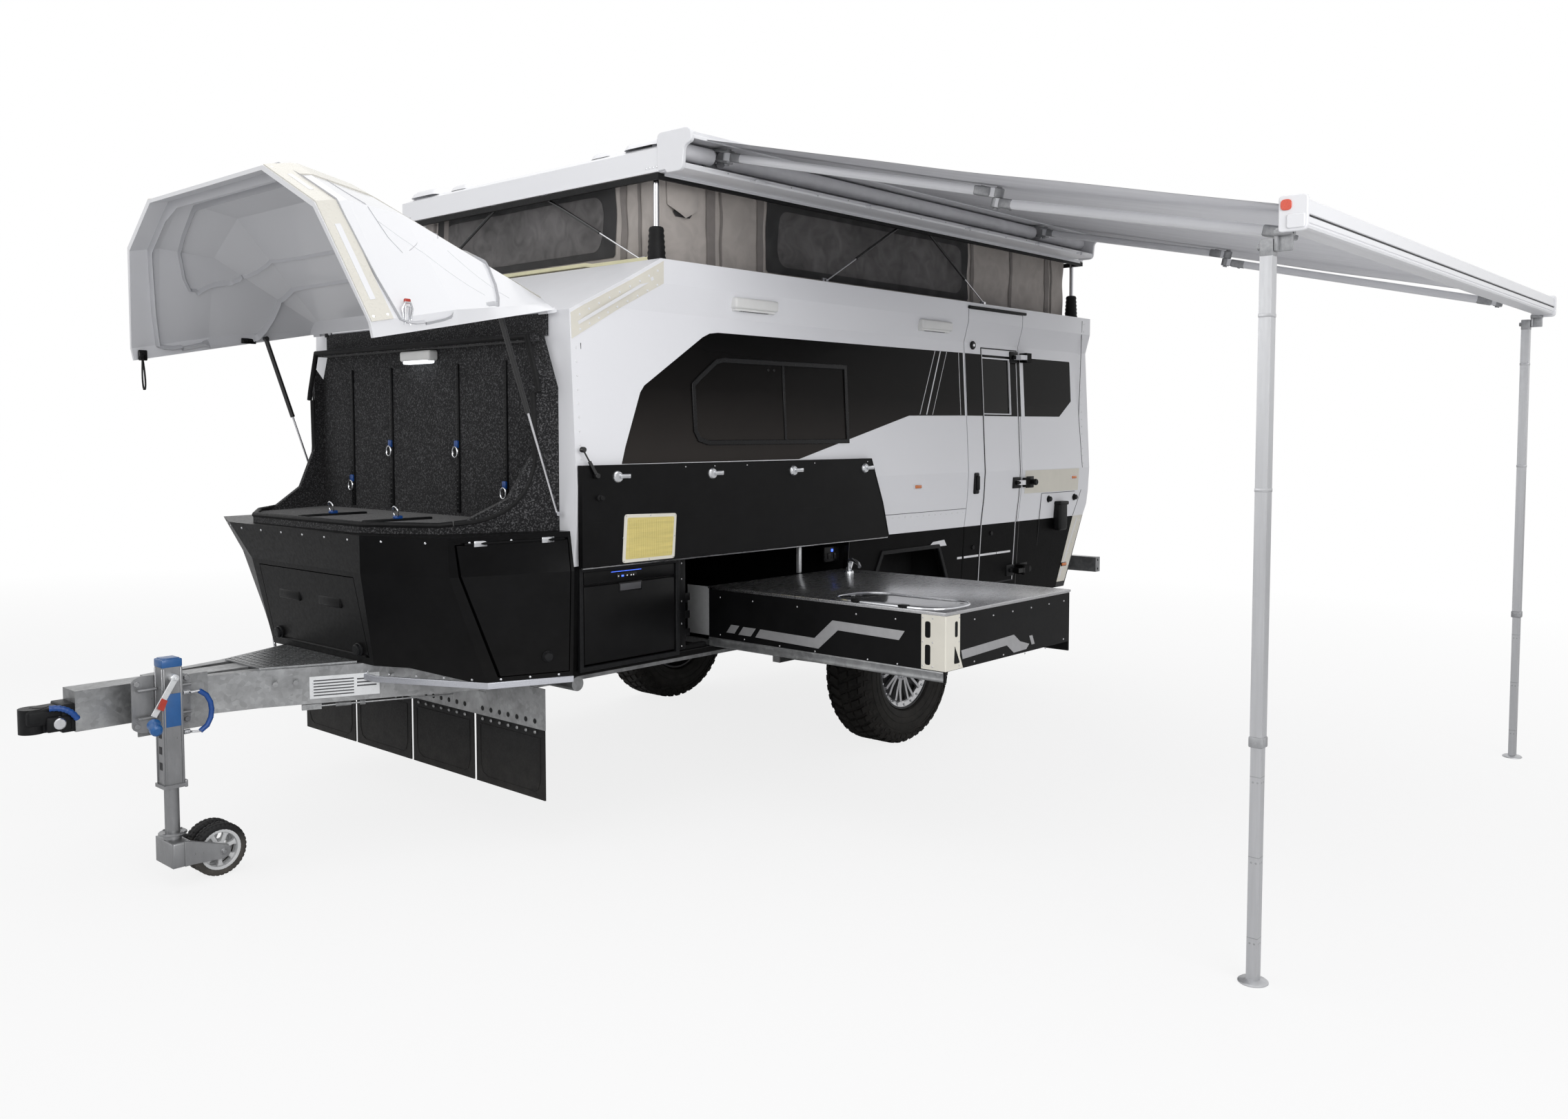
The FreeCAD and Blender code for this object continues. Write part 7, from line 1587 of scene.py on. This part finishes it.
piece("drawer_guard", [guard, toe], tan_trim, "kitchen_drawer", smooth=False, bevel=0.001)
slots = [flat_plate(arcs([(y0, low), (y1, low), (y1, high), (y0, high)], 0.010), front + 0.003, 0.0004)
         for y0, y1, low, high in ((2.186, 2.212, 0.897, 0.962), (2.186, 2.212, 0.790, 0.870))]
slots += [flat_plate(arcs([(-2.515, 0.900), (-2.535, 0.900), (-2.535, 0.962), (-2.515, 0.962)], 0.008),
                     end + 0.003, 0.0004, "end"),
          flat_plate(arcs([(-2.510, 0.795), (-2.552, 0.795), (-2.515, 0.868)], 0.008), end + 0.003,
                     0.0004, "end")]
piece("guard_slots", slots, satin_black, "kitchen_drawer", smooth=False)
guard_screws = [(front + 0.003, y, GROUND + h) for y in (2.176, 2.222) for h in (0.785, 0.880, 0.975)]
piece("guard_screws", [domes(guard_screws, (1, 0, 0), 0.0038),
                       domes([(-2.545, end + 0.003, GROUND + h) for h in (0.785, 0.880, 0.975)],
                             (0, 1, 0), 0.0038)],
      steel, "kitchen_drawer")
channel = [(0.0, 0.729), (0.0, 0.769), (0.0022, 0.769), (0.0040, 0.764), (0.0015, 0.760), (0.0015, 0.738),
           (0.0040, 0.734), (0.0022, 0.729)]
slides = []
for face_x, way in ((front, 1), (rear, -1)):
    section = np.array([(x, h + GROUND) for x, h in channel]) * (way, 1)
    slides.append(carried(np.array([(face_x, 0.992, 0), (face_x, 2.272, 0)]), section))
piece("drawer_slides", slides, zinc, "kitchen_drawer")
piece("drawer_end_plate", [rounded_box((front - 0.003, 0.850, GROUND + 0.775), (front, 0.992, GROUND + 0.998),
                                       0.001)],
      plate_steel, "kitchen_drawer")
lip_path = np.array([(rear, 0.992, 0), (front, 0.992, 0), (front, end, 0),
                     (rear, end, 0)]) + (0, 0, GROUND + 0.997)
piece("drawer_lip",
      [carried(lip_path, arcs([(-0.003, -0.006), (0.004, -0.006), (0.004, 0.0045), (-0.003, 0.0045)],
                              0.002), ring=True)], steel, "kitchen_drawer")
piece("kitchen_deck", [rounded_box((rear + 0.002, 0.994, GROUND + 1.0002), (front - 0.002, end - 0.002,
                                                                            GROUND + 1.0014), 0.0004)],
      steel, "kitchen_drawer")


# The sink: a pressed bowl under a smoked glass lid, with a bright rim round it and two hinges. A folding
# tap lies at the inner end of the bench, and the drain's tail hangs under the drawer.
smoked = finish("smoked_glass", (0.035, 0.036, 0.040), 0.05, coat=1.0, vary=0.1, size=6.0, shine=0.8,
                uneven=0.02)
loop = arcs([(-2.770, 1.660), (-2.480, 1.660), (-2.480, 2.235), (-2.770, 2.235)], 0.132, 12)
ring_path = np.column_stack([loop, np.full(len(loop), GROUND + 1.0030)])
piece("sink_rim",
      [carried(ring_path, arcs([(-0.006, -0.002), (0.006, -0.002), (0.004, 0.005), (-0.004, 0.005)], 0.002),
               ring=True)], chrome, "kitchen_drawer")
layers = np.stack([np.column_stack([(loop - loop.mean(0)) * share + loop.mean(0),
                                    np.full(len(loop), GROUND + h)])
                   for share, h in ((0.0, 1.0068), (0.5, 1.0068), (0.97, 1.0066), (0.985, 1.0055),
                                    (0.985, 1.0015))])
piece("sink_lid", [grid(layers, False, True)], smoked, "kitchen_drawer")
hinges = [rounded_box((-2.500, y, GROUND + 1.0015), (-2.468, y + 0.040, GROUND + 1.012), 0.003)
          for y in (1.80, 2.04)]
piece("sink_hinges", hinges, satin_black, "kitchen_drawer")
sweep = np.array([(-3.300, 1.130, 1.000), (-3.300, 1.130, 1.052), (-3.296, 1.142, 1.066),
                  (-3.286, 1.160, 1.070),
                  (-3.262, 1.200, 1.066), (-3.240, 1.236, 1.058), (-3.232, 1.250, 1.044)]) + (0, 0, GROUND)
tap = [carried(sweep, disc(0.009, 14), (1, 0.2, 0)),
       turned([(0, 0.012), (0.020, 0.012), (0.024, 0.008), (0.025, 0), (0, 0)],
              (-3.300, 1.130, GROUND + 1.001), (0, 0, 1), 24),
       turned([(0, 0.060), (0.012, 0.058), (0.014, 0.050), (0.014, 0), (0, 0)],
              (-3.300, 1.130, GROUND + 1.020), (-0.7, -0.3, 0.6), 16)]
piece("sink_tap", tap, chrome, "kitchen_drawer")
tail_pipe = [turned([(0, 0), (0.040, 0), (0.040, -0.012), (0.028, -0.018), (0.022, -0.045), (0, -0.045)],
                    (-2.625, 1.950, GROUND + 0.775), (0, 0, 1), 24),
             carried(np.array([(-2.625, 1.950, 0.742), (-2.640, 1.880, 0.738), (-2.660, 1.700, 0.738),
                               (-2.660, 1.300, 0.742)]) + (0, 0, GROUND), disc(0.013, 12))]
piece("sink_drain", tail_pipe, rubber, "kitchen_drawer")


# The galley bay behind the drawer: a black sheet box in the body with a flange round its mouth, a grey post,
# a switch panel with a blue light and a row of rivets down each jamb.
def panel(low, high, soft=0.0015):
    """A flat board given by two corners, with heights above the ground."""
    return rounded_box(np.array(low) + (0, 0, GROUND), np.array(high) + (0, 0, GROUND), soft)


bay = [panel((-3.445, -0.445, 0.752), (-3.438, 0.990, 1.146)),
       panel((-2.250, -0.445, 0.752), (-2.243, 0.990, 1.146)),
       panel((-3.445, -0.445, 1.140), (-2.243, 0.985, 1.146)),
       panel((-3.445, -0.450, 0.752), (-2.243, -0.443, 1.146))]
piece("bay_lining", bay, satin_black)
jambs = [panel((-2.300, 0.985, 0.735), (-2.248, 0.9985, 1.146), 0.004),
         panel((-2.440, 0.960, 0.722), (-2.243, 0.986, 0.748)),
         panel((-3.440, -0.445, 0.7150), (-2.246, 0.950, 0.7175), 0.001)]
for h in (0.790, 0.870, 0.950):
    jambs.append(panel((-2.330, 0.988, h), (-2.296, 0.996, h + 0.034), 0.003))
piece("bay_jamb", jambs, satin_black)
piece("bay_post", [panel((-3.120, 0.955, 1.003), (-3.100, 0.975, 1.143), 0.003)], plate_steel)
switches = [panel((-3.420, 0.960, 1.040), (-3.300, 0.972, 1.120), 0.006),
            panel((-3.400, 0.972, 1.055), (-3.372, 0.976, 1.085), 0.002),
            panel((-3.352, 0.972, 1.055), (-3.324, 0.976, 1.085), 0.002)]
piece("bay_switches", switches, gloss_black)
blue_light, tree, shader = surface("blue_light", {"Roughness": 0.2, "Emission Strength": 2.2})
cells = add(tree, "TexNoise", {"Vector": add(tree, "TexCoord").outputs["Object"], "Scale": 300.0})
tint = ramp(tree, cells.outputs[0], (0.015, 0.045, 0.70), (0.10, 0.22, 1.0))
wire(shader, {"Base Color": tint.outputs[0], "Emission Color": tint.outputs[0]})
lights = [panel((-3.366, 0.971, 1.092), (-3.352, 0.9755, 1.106), 0.002),
          panel((-1.905, 1.0215, 1.0945), (-1.917, 1.0235, 1.1015), 0.0008),
          panel((-1.848, 1.0210, 1.1170), (-2.016, 1.0228, 1.1190), 0.0008)]
piece("galley_lights", lights, blue_light)
flange = [(x, 0.9975, GROUND + h) for x, h in ((-2.243, 0.735), (-2.243, 1.148), (-3.448, 1.148),
                                               (-3.448, 0.735))]
piece("bay_flange", [carried(flange, bar(0.010, 0.024), (0, 1, 0))], satin_black)
heads = [(-2.274, 0.9985, GROUND + h) for h in (0.750, 0.850, 0.950, 1.050, 1.120)]
heads += [(-3.448, 1.0025, GROUND + h) for h in (0.800, 0.880, 0.960, 1.040, 1.120)]
piece("bay_rivets", [domes(heads, (0, 1, 0), 0.0042)], steel)


# The fridge: a black upright cabinet in its own bay, with a framed door, a recessed grip under its control
# strip and a small lit display.
dress(satin_black, "fridge")
front_y = 1.0072
door = [panel((-2.214, front_y, 0.745), (-1.706, front_y + 0.012, 1.068), 0.006),
        panel((-2.214, front_y, 1.074), (-1.706, front_y + 0.012, 1.130), 0.006)]
piece("fridge_door", door, satin_black)
surround_path = np.array([(x, 1.012, GROUND + h) for x, h in ((-1.690, 0.728), (-2.229, 0.728),
                                                              (-2.229, 1.138), (-1.690, 1.138))])
piece("fridge_surround", [carried(surround_path, arcs([(-0.010, -0.010), (0.010, -0.010), (0.010, 0.012),
                                                       (-0.010, 0.012)], 0.005), (0, 1, 0), True)],
      cast)
piece("fridge_grip", [panel((-2.020, front_y + 0.011, 1.030), (-1.892, front_y + 0.014, 1.070), 0.004)],
      gloss_black)
piece("fridge_recess", [panel((-2.014, front_y + 0.0135, 1.036), (-1.898, front_y + 0.0145, 1.064), 0.0004)],
      ink)
piece("fridge_display", [panel((-1.990, front_y + 0.0115, 1.086), (-1.880, front_y + 0.0145, 1.110), 0.002)],
      gloss_black)
marks = [panel((x, 1.0212, 1.095), (x + 0.006, 1.0222, 1.101), 0.0005)
         for x in (-1.975, -1.962, -1.940, -1.892)]
piece("fridge_marks", marks, white_vinyl)


# The kitchen hatch: a black sheet door hinged along its foot and folded flat up the side. Its inner face
# shows, with four chromed compression latches, a tan framed vent with a yellow filter, and a short gas stay.
dress(satin_black, "kitchen_hatch")
hatch_y = 1.0752
edge = [(-1.6555, 1.1560), (-3.7040, 1.1560), (-3.6520, 1.3330), (-3.5540, 1.5630), (-1.6555, 1.5630)]
edge_path = np.array([(x, hatch_y, GROUND + h) for x, h in edge])
piece("hatch_edge", [carried(edge_path, arcs([(-0.004, -0.012), (0.002, -0.012), (0.002, 0.0018),
                                              (-0.004, 0.0018)], 0.001),
                             (0, 1, 0), True)], satin_black)
piece("hatch_fold", [flat_plate([(-1.6600, 1.3290), (-3.6500, 1.3290), (-3.6490, 1.3330), (-1.6600, 1.3330)],
                                hatch_y - 0.0002,
                                0.0005, "end")], satin_black, smooth=False)
hinge = [carried(np.array([(-1.662, 1.062, GROUND + 1.1500), (-3.705, 1.062, GROUND + 1.1500)]),
                 disc(0.0055, 10))]
piece("hatch_hinge", hinge, steel)
latches, levers = [], []
for x in (-1.841, -2.392, -2.940, -3.496):
    latches.append(turned([(0, 0.012), (0.020, 0.012), (0.023, 0.009), (0.026, 0.003), (0.026, 0), (0, 0)],
                          (x, hatch_y, GROUND + 1.517), (0, 1, 0), 26))
    levers.append(rounded_box((x - 0.058, hatch_y + 0.010, GROUND + 1.509),
                              (x - 0.004, hatch_y + 0.019, GROUND + 1.529), 0.004))
    levers.append(rounded_box((x - 0.060, hatch_y, GROUND + 1.512),
                              (x - 0.048, hatch_y + 0.014, GROUND + 1.526), 0.003))
piece("hatch_latches", latches, chrome)
piece("hatch_levers", levers, chrome)
vent = arcs([(-1.862, 1.158), (-2.158, 1.158), (-2.172, 1.352), (-1.876, 1.360)], 0.014)
hole = arcs([(-1.878, 1.172), (-2.142, 1.172), (-2.156, 1.338), (-1.892, 1.345)], 0.008)
piece("hatch_vent_frame", [flat_plate(vent, hatch_y, 0.003, "end")], tan_trim, bevel=0.001)
filter_yellow = finish("filter_yellow", (0.66, 0.56, 0.21), 0.55, vary=0.10, size=6.0, stretch=(1, 1, 14),
                       relief=0.5, relief_size=260.0)
piece("hatch_vent_filter", [flat_plate(hole, hatch_y + 0.003, 0.0015, "end")], filter_yellow)
ribs = [panel((x, hatch_y + 0.0045, 1.178), (x + 0.002, hatch_y + 0.0060, 1.334), 0.0004)
        for x in np.arange(-2.140, -1.892, 0.0125)]
piece("hatch_vent_ribs", ribs, filter_yellow, smooth=False)
heads = [(x, hatch_y + 0.003, GROUND + h) for x, h in
         ((-1.869, 1.165), (-2.010, 1.165), (-2.150, 1.165), (-2.164, 1.345), (-2.020, 1.350),
          (-1.884, 1.353), (-1.868, 1.262), (-2.158, 1.255))]
heads += [(x, hatch_y, GROUND + 1.550) for x in (-2.23, -2.41, -2.62, -3.10, -3.52)]
piece("hatch_rivets", [domes(heads, (0, 1, 0), 0.0036)], steel)
knobs = [turned([(0, 0.024), (0.008, 0.024), (0.011, 0.019), (0.009, 0.010), (0.014, 0.004), (0.014, 0),
                 (0, 0)],
                (-1.745, hatch_y, GROUND + 1.433), (0, 1, 0), 20)]
piece("hatch_bumper", knobs, rubber)
stay_low = np.array((-1.722, hatch_y + 0.012, GROUND + 1.524))
stay_high = np.array((-1.664, 1.072, GROUND + 1.630))
middle = stay_low + (stay_high - stay_low) * 0.55
stay = [carried(np.array([stay_low, middle]), disc(0.0075, 14)),
        carried(np.array([middle, stay_high]), disc(0.0035, 10))]
for at in (stay_low, stay_high):
    stay.append(turned([(0, 0.010), (0.010, 0.010), (0.012, 0.006), (0.012, -0.008), (0, -0.008)],
                       at, (0, 1, 0), 16))
piece("hatch_stay", stay, strut_black)


# The jockey jack: a galvanised square sleeve on a bolted pivot plate beside the drawbar, with a blue cap, a
# folding crank and a blue grip that frees its pins. Its round leg ends in a forked head with twin wheels.
jack_zinc = finish("jack_zinc", (0.26, 0.263, 0.27), 0.34, metal=0.65, vary=0.2, size=9.0, relief=0.15,
                   relief_size=200.0, stretch=(1, 1, 0.4))
dress(jack_zinc, "jack_sleeve", "jack_leg", "jockey_fork")
jack_blue = finish("jack_blue", (0.008, 0.090, 0.28), 0.34, coat=0.2, vary=0.08, size=30.0, relief=0.1)
jack = np.array((-0.390, 0.200, GROUND))
cap_parts = [rounded_box(jack + (-0.0375, -0.0375, 0.826), jack + (0.0375, 0.0375, 0.858), 0.005),
             rounded_box(jack + (-0.030, -0.030, 0.856), jack + (0.030, 0.030, 0.861), 0.002)]
piece("jack_cap", cap_parts, jack_blue, "jack_sleeve")
faces = [rounded_box(jack + (-0.0335, 0.0352, 0.604), jack + (0.0335, 0.0368, 0.728), 0.0006)]
piece("jack_sticker", faces, jack_blue, "jack_sleeve")
ribs = [rounded_box(jack + (dx - 0.003, dy - 0.003, 0.385), jack + (dx + 0.003, dy + 0.003, 0.824), 0.002)
        for dx, dy in ((-0.0355, 0.030), (-0.0355, -0.030), (0.0355, 0.030), (0.0355, -0.030),
                       (0.030, 0.0355), (-0.030, 0.0355), (0.030, -0.0355), (-0.030, -0.0355))]
foot_ring = jack + [(dx, dy, 0.379) for dx, dy in ((-0.038, -0.038), (0.038, -0.038), (0.038, 0.038),
                                                   (-0.038, 0.038))]
ribs += [carried(foot_ring, bar(0.007, 0.014), (0, 0, 1), True),
         rounded_box(jack + (-0.046, 0.020, 0.368), jack + (-0.035, 0.040, 0.396), 0.003)]
piece("jack_sleeve_ribs", ribs, jack_zinc, "jack_sleeve")
# Painted shade: dark marks on the sleeve stand for its slots, that is, the shade inside the openings.
slot_shade_marks = [rounded_box(jack + (0.0352, -0.012, h), jack + (0.0360, 0.012, h + 0.028), 0.0003)
              for h in (0.44, 0.50, 0.56)]
piece("jack_slot_shades", slot_shade_marks, seam, "jack_sleeve", smooth=False)
hub = np.array((-0.390, 0.238, GROUND + 0.789))
grip_at = np.array((-0.309, 0.262, GROUND + 0.652))
crank = [turned([(0, 0.030), (0.014, 0.030), (0.016, 0.026), (0.016, 0), (0, 0)], hub - (0, 0.004, 0),
                (0, 1, 0), 20),
         turned([(0, 0.038), (0.008, 0.038), (0.009, 0.034), (0.009, 0), (0, 0)], hub, (0, 1, 0), 6),
         carried(np.array([hub + (0, 0.024, 0), grip_at + (0, 0, 0.006)]), bar(0.022, 0.005), (0, 1, 0))]
piece("jack_crank", crank, plate_steel, "jack_sleeve", bevel=0.001)
way = unit(grip_at - hub)
tape = carried(np.array([hub + way * 0.085 + (0, 0.0158, 0), hub + way * 0.125 + (0, 0.0218, 0)]),
               bar(0.0226, 0.006), (0, 1, 0))
piece("jack_crank_tape", [tape], red, "jack_sleeve")
knob_line = [(0, 0.070), (0.012, 0.070), (0.020, 0.064), (0.023, 0.052), (0.020, 0.034), (0.021, 0.020),
             (0.024, 0.010), (0.021, 0.002), (0.010, 0), (0, 0)]
piece("jack_crank_grip", [turned(knob_line, grip_at - (0, 0.004, 0.020), (0.20, 0.94, -0.25), 26)], jack_blue,
      "jack_sleeve")
sheet_out = arcs([(-0.272, 0.600), (-0.300, 0.582), (-0.455, 0.576), (-0.484, 0.600), (-0.484, 0.770),
                  (-0.455, 0.790), (-0.300, 0.796), (-0.272, 0.780)], 0.012)
mount = [flat_plate(sheet_out, 0.1560, 0.006, "end")]
for x, h in ((-0.288, 0.610), (-0.288, 0.768), (-0.468, 0.610), (-0.468, 0.768)):
    mount.append(turned([(0, 0.012), (0.010, 0.012), (0.0115, 0.010), (0.0115, 0.003), (0.016, 0.003),
                         (0.016, 0), (0, 0)],
                        (x, 0.162, GROUND + h), (0, 1, 0), 6))
piece("jack_mount_plate", mount, jack_zinc)
wings = []
for h in (0.640, 0.745):
    for near, far in ((-0.352, -0.286), (-0.428, -0.478)):
        wings.append(carried(np.array([(near, 0.182, GROUND + h), ((near + far) / 2, 0.182, GROUND + h),
                                       (far, 0.182, GROUND + h)]), disc(0.006, 10)))
piece("jack_wings", wings, jack_zinc, "jack_sleeve")
bow = np.array([(-0.452, 0.250, 0.726), (-0.480, 0.252, 0.728), (-0.505, 0.254, 0.708),
                (-0.519, 0.255, 0.680), (-0.523, 0.255, 0.650), (-0.519, 0.255, 0.620),
                (-0.505, 0.254, 0.592), (-0.480, 0.252, 0.574), (-0.452, 0.250, 0.576)]) + (0, 0, GROUND)
piece("jack_pin_grip", [carried(bow[1:-1], disc(0.0095, 14), (0, 1, 0))], blue, "jack_sleeve")
wires = [carried(np.vstack([bow[near], bow[tip], bow[tip] + (0.010, -0.030, 0.0)]), disc(0.0042, 8))
         for near, tip in ((1, 0), (-2, -1))]
coil = [(0.0060, 0.0016), (0.0090, 0.0016), (0.0090, -0.0016), (0.0060, -0.0016), (0.0060, 0.0016)]
wires += [turned(coil, (-0.448 + step * 0.0044, 0.232, GROUND + h), (1, 0, 0), 14)
          for h in (0.726, 0.576) for step in range(5)]
piece("jack_pins", wires, chrome, "jack_sleeve")
plate_ring = [(0.0265, 0.004), (0.046, 0.004), (0.050, 0.001), (0.050, -0.003), (0.046, -0.005),
              (0.0265, -0.005), (0.0265, 0.004)]
leg_rings = [turned(plate_ring, jack + (0, 0, 0.196), (0, 0, 1), 32),
             turned([(0.0262, 0.008), (0.030, 0.008), (0.031, 0.004), (0.031, -0.008), (0.0262, -0.008),
                     (0.0262, 0.008)],
                    jack + (0, 0, 0.182), (0, 0, 1), 28)]
leg_rings += [turned([(0, 0.005), (0.005, 0.005), (0.005, -0.008), (0, -0.008)],
                     jack + (0.040 * np.cos(t), 0.040 * np.sin(t), 0.198), (0, 0, 1), 6)
              for t in (0.4, 1.97, 3.54, 5.11)]
piece("jack_leg_rings", leg_rings, jack_zinc, "jack_leg")
head_parts = [rounded_box(jack + (-0.0335, -0.0775, 0.079), jack + (0.0335, 0.0775, 0.1745), 0.008, 3)]
for side in (-1, 1):
    near, far = jack + (-0.030, side * 0.0775, 0.128), jack + (-0.155, side * 0.0775, 0.102)
    nose = np.linspace(np.pi / 2, 3 * np.pi / 2, 13)
    arm_line = np.vstack([[(near[0] + 0.02, 0.172), (near[0] - 0.01, 0.168)],
                          np.column_stack([far[0] + 0.027 * np.cos(nose), 0.102 + 0.027 * np.sin(nose)]),
                          [(near[0] - 0.01, 0.080), (near[0] + 0.02, 0.079)]])
    head_parts.append(flat_plate(arm_line, 0.200 + side * 0.0790 - 0.0015, 0.003, "end"))
    head_parts.append(turned([(0, 0.008), (0.009, 0.008), (0.010, 0.006), (0.010, 0.002), (0.015, 0.002),
                              (0.015, 0), (0, 0)], (far[0], 0.200 + side * 0.0805, far[2]), (0, side, 0), 6))
piece("jockey_fork_plates", head_parts, jack_zinc, "jockey_fork", bevel=0.0012)


# The jockey wheels: twin rubber tyres with a block tread on light grey moulded rims, each rim with seven
# rounded openings round a boss, on one steel axle through the fork.
def jockey_tyre(middle):
    """A tyre ring: a rounded section turned about the axle, its crown pressed in where a cosine round the
    wheel dips, which leaves staggered tread blocks."""
    across = np.array([-0.0190, -0.0222, -0.0228, -0.0215, -0.0180, -0.0120, -0.0060, -0.0030, 0.0030,
                       0.0060, 0.0120, 0.0180, 0.0215, 0.0228, 0.0222, 0.0190])
    radius = np.array([0.0770, 0.0785, 0.0880, 0.0965, 0.1005, 0.1016, 0.1018, 0.0995, 0.0995, 0.1018, 0.1016,
                       0.1005, 0.0965, 0.0880, 0.0785, 0.0770])
    turn = np.arange(216)[:, None] * 2 * np.pi / 216
    wave = np.cos(36 * turn + 1.6 * np.sign(across))
    blocks = (np.abs(across) > 0.004) & (np.abs(across) < 0.0220)
    deep = radius - 0.0024 * np.clip(-2.2 * wave, 0, 1) * blocks
    points = np.stack([deep * np.cos(turn), np.broadcast_to(across, deep.shape), deep * np.sin(turn)], -1)
    return grid(points + middle, True, True)


rim_grey = finish("jockey_rim", (0.60, 0.61, 0.62), 0.42, vary=0.04, size=14.0, relief=0.06, dust=0.15,
                  dust_top=0.3)
tyre_black = finish("jockey_tyre", (0.008, 0.008, 0.0085), 0.62, vary=0.25, size=30.0, relief=0.3, dust=0.3,
                    dust_top=0.16, shine=0.3)
axle = np.array((-0.545, 0.200, GROUND + 0.102))
tyres, rims = [], []
for side in (-1, 1):
    middle = axle + (0, side * 0.0345, 0)
    tyres.append(jockey_tyre(middle))
    rims += [turned([(0.0660, 0.0185), (0.0700, 0.0205), (0.0765, 0.0205), (0.0790, 0.0180),
                     (0.0790, -0.0180), (0.0765, -0.0205), (0.0700, -0.0205), (0.0660, -0.0185),
                     (0.0640, -0.0100), (0.0640, 0.0100), (0.0660, 0.0185)], middle, (0, 1, 0), 56),
             turned([(0, 0.0215), (0.0150, 0.0215), (0.0180, 0.0190), (0.0260, 0.0150), (0.0300, 0.0120),
                     (0.0300, -0.0120), (0.0260, -0.0150), (0.0180, -0.0190), (0.0150, -0.0215),
                     (0, -0.0215)],
                    middle, (0, 1, 0), 32)]
    for turn in np.arange(7) * 2 * np.pi / 7 + 0.2:
        way = np.array((np.cos(turn), 0, np.sin(turn)))
        rims.append(carried(middle + np.outer((0.024, 0.052, 0.070), way), arcs(bar(0.016, 0.020), 0.004),
                            (0, 1, 0)))
        flare = np.cross(way, (0, 1, 0)) * 0.010
        for lean in (-1, 1):
            rims.append(carried(np.array([middle + way * 0.050, middle + way * 0.069 + flare * lean]),
                                arcs(bar(0.010, 0.018), 0.003), (0, 1, 0)))
wheels = piece("jockey_tyres", tyres, tyre_black, "jockey_wheels")
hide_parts("jockey_wheels")
piece("jockey_rims", rims, rim_grey, "jockey_wheels")
piece("jockey_axle", [turned([(0, 0.0745), (0.008, 0.0745), (0.008, -0.0745), (0, -0.0745)], axle,
                             (0, 1, 0), 20)],
      zinc_links, "jockey_wheels")


# The rear wall: one white panel with a black skirt over its slope, tan corner trims like those of the sides,
# a lamp cluster at each corner, a blank plate with its lamp, and red reflectors on the galvanised rear bar.
REAR_X = -5.940


def on_rear(across, height, out=0.0):
    """A point on the rear wall: upright above the departure line and drawn forward below it."""
    across, height = np.broadcast_arrays(np.asarray(across, float), np.asarray(height, float))
    x = REAR_X + np.maximum(1.230 - height, 0) * (0.215 / 0.505) - out
    return np.stack([x, across, GROUND + height], -1)


def rear_patch(low, high, out, narrow=0.0):
    """A panel on the rear wall between two corners (y, height), narrower at its foot if asked."""
    height = np.linspace(low[1], high[1], 10)[:, None]
    share = (high[1] - height) / (high[1] - low[1])
    middle, half = (low[0] + high[0]) / 2, (high[0] - low[0]) / 2 - narrow * share
    return grid(on_rear(middle + half * np.linspace(-1, 1, 10)[None], np.broadcast_to(height, (10, 10)), out))


piece("rear_skirt", [rear_patch((-1.000, 0.735), (1.000, 1.156), 0.0015, 0.022)], black_coat)
corners = [rear_patch((side * 0.955 - 0.045, 1.245), (side * 0.955 + 0.045, 1.400), 0.0018)
           for side in (-1, 1)]
corners += [rear_patch((-0.95, 2.300), (0.95, 2.425), 0.0018)]
piece("rear_trims", corners, tan_trim)
lines = [carried(on_rear(np.array((-1.0, 1.0)), height, 0.0006), bar(0.003, 0.003))
         for height in (1.232, 1.470, 2.215, 2.290)]
lines += [carried(on_rear(side * 0.890, np.array((1.245, 2.290)), 0.0006), bar(0.003, 0.003), (-1, 0, 0))
          for side in (-1, 1)]
piece("rear_seams", lines, seam, smooth=False)
heads = [on_rear(np.linspace(-0.92, 0.92, 16), 2.412, 0.0018),
         on_rear(np.linspace(-0.93, 0.93, 14), 1.140, 0.0015),
         on_rear(np.linspace(-0.92, 0.92, 12), 0.755, 0.0015)]
for side in (-1, 1):
    heads += [on_rear(side * 0.905, np.linspace(1.50, 2.26, 10), 0.0002),
              on_rear(side * 0.975, np.array((1.26, 1.385)), 0.0018)]
piece("rear_rivets", [domes(np.vstack(heads), (-1, 0, 0), 0.0040)], mount_steel)


def lens_box(side, near, far, low=1.278, high=1.372, out=0.022):
    """A lamp lens between two distances from the middle of the wall."""
    return rounded_box((REAR_X - out, side * near, GROUND + low), (REAR_X + 0.001, side * far, GROUND + high),
                       0.004)


bases, reds, ambers, clears = [], [], [], []
for side in (-1, 1):
    bases.append(lens_box(side, 0.690, 0.900, 1.270, 1.380, 0.012))
    reds += [lens_box(side, 0.835, 0.892), rounded_box((-6.2905, side * 0.800, GROUND + 0.775),
                                                       (-6.2840, side * 0.900, GROUND + 0.815), 0.004)]
    ambers.append(lens_box(side, 0.770, 0.830))
    clears.append(lens_box(side, 0.698, 0.765))
bases.append(rounded_box(on_rear(-0.060, 1.150, 0.022), on_rear(0.060, 1.172, 0.0), 0.004))
piece("rear_lamp_bases", bases, cast)
piece("rear_red_lenses", reds, rail_red)
piece("rear_amber_lenses", ambers, amber)
piece("rear_clear_lenses", clears, lens)
piece("rear_blank_plate", [rear_patch((-0.190, 0.990), (0.190, 1.120), 0.0060)], white_vinyl, thick=0.003)
piece("rear_plate_frame",
      [carried(on_rear(np.array((-0.196, 0.196, 0.196, -0.196)), np.array((0.984, 0.984, 1.126, 1.126)),
                       0.004), bar(0.010, 0.010), (-1, 0, 0), True)], cast)
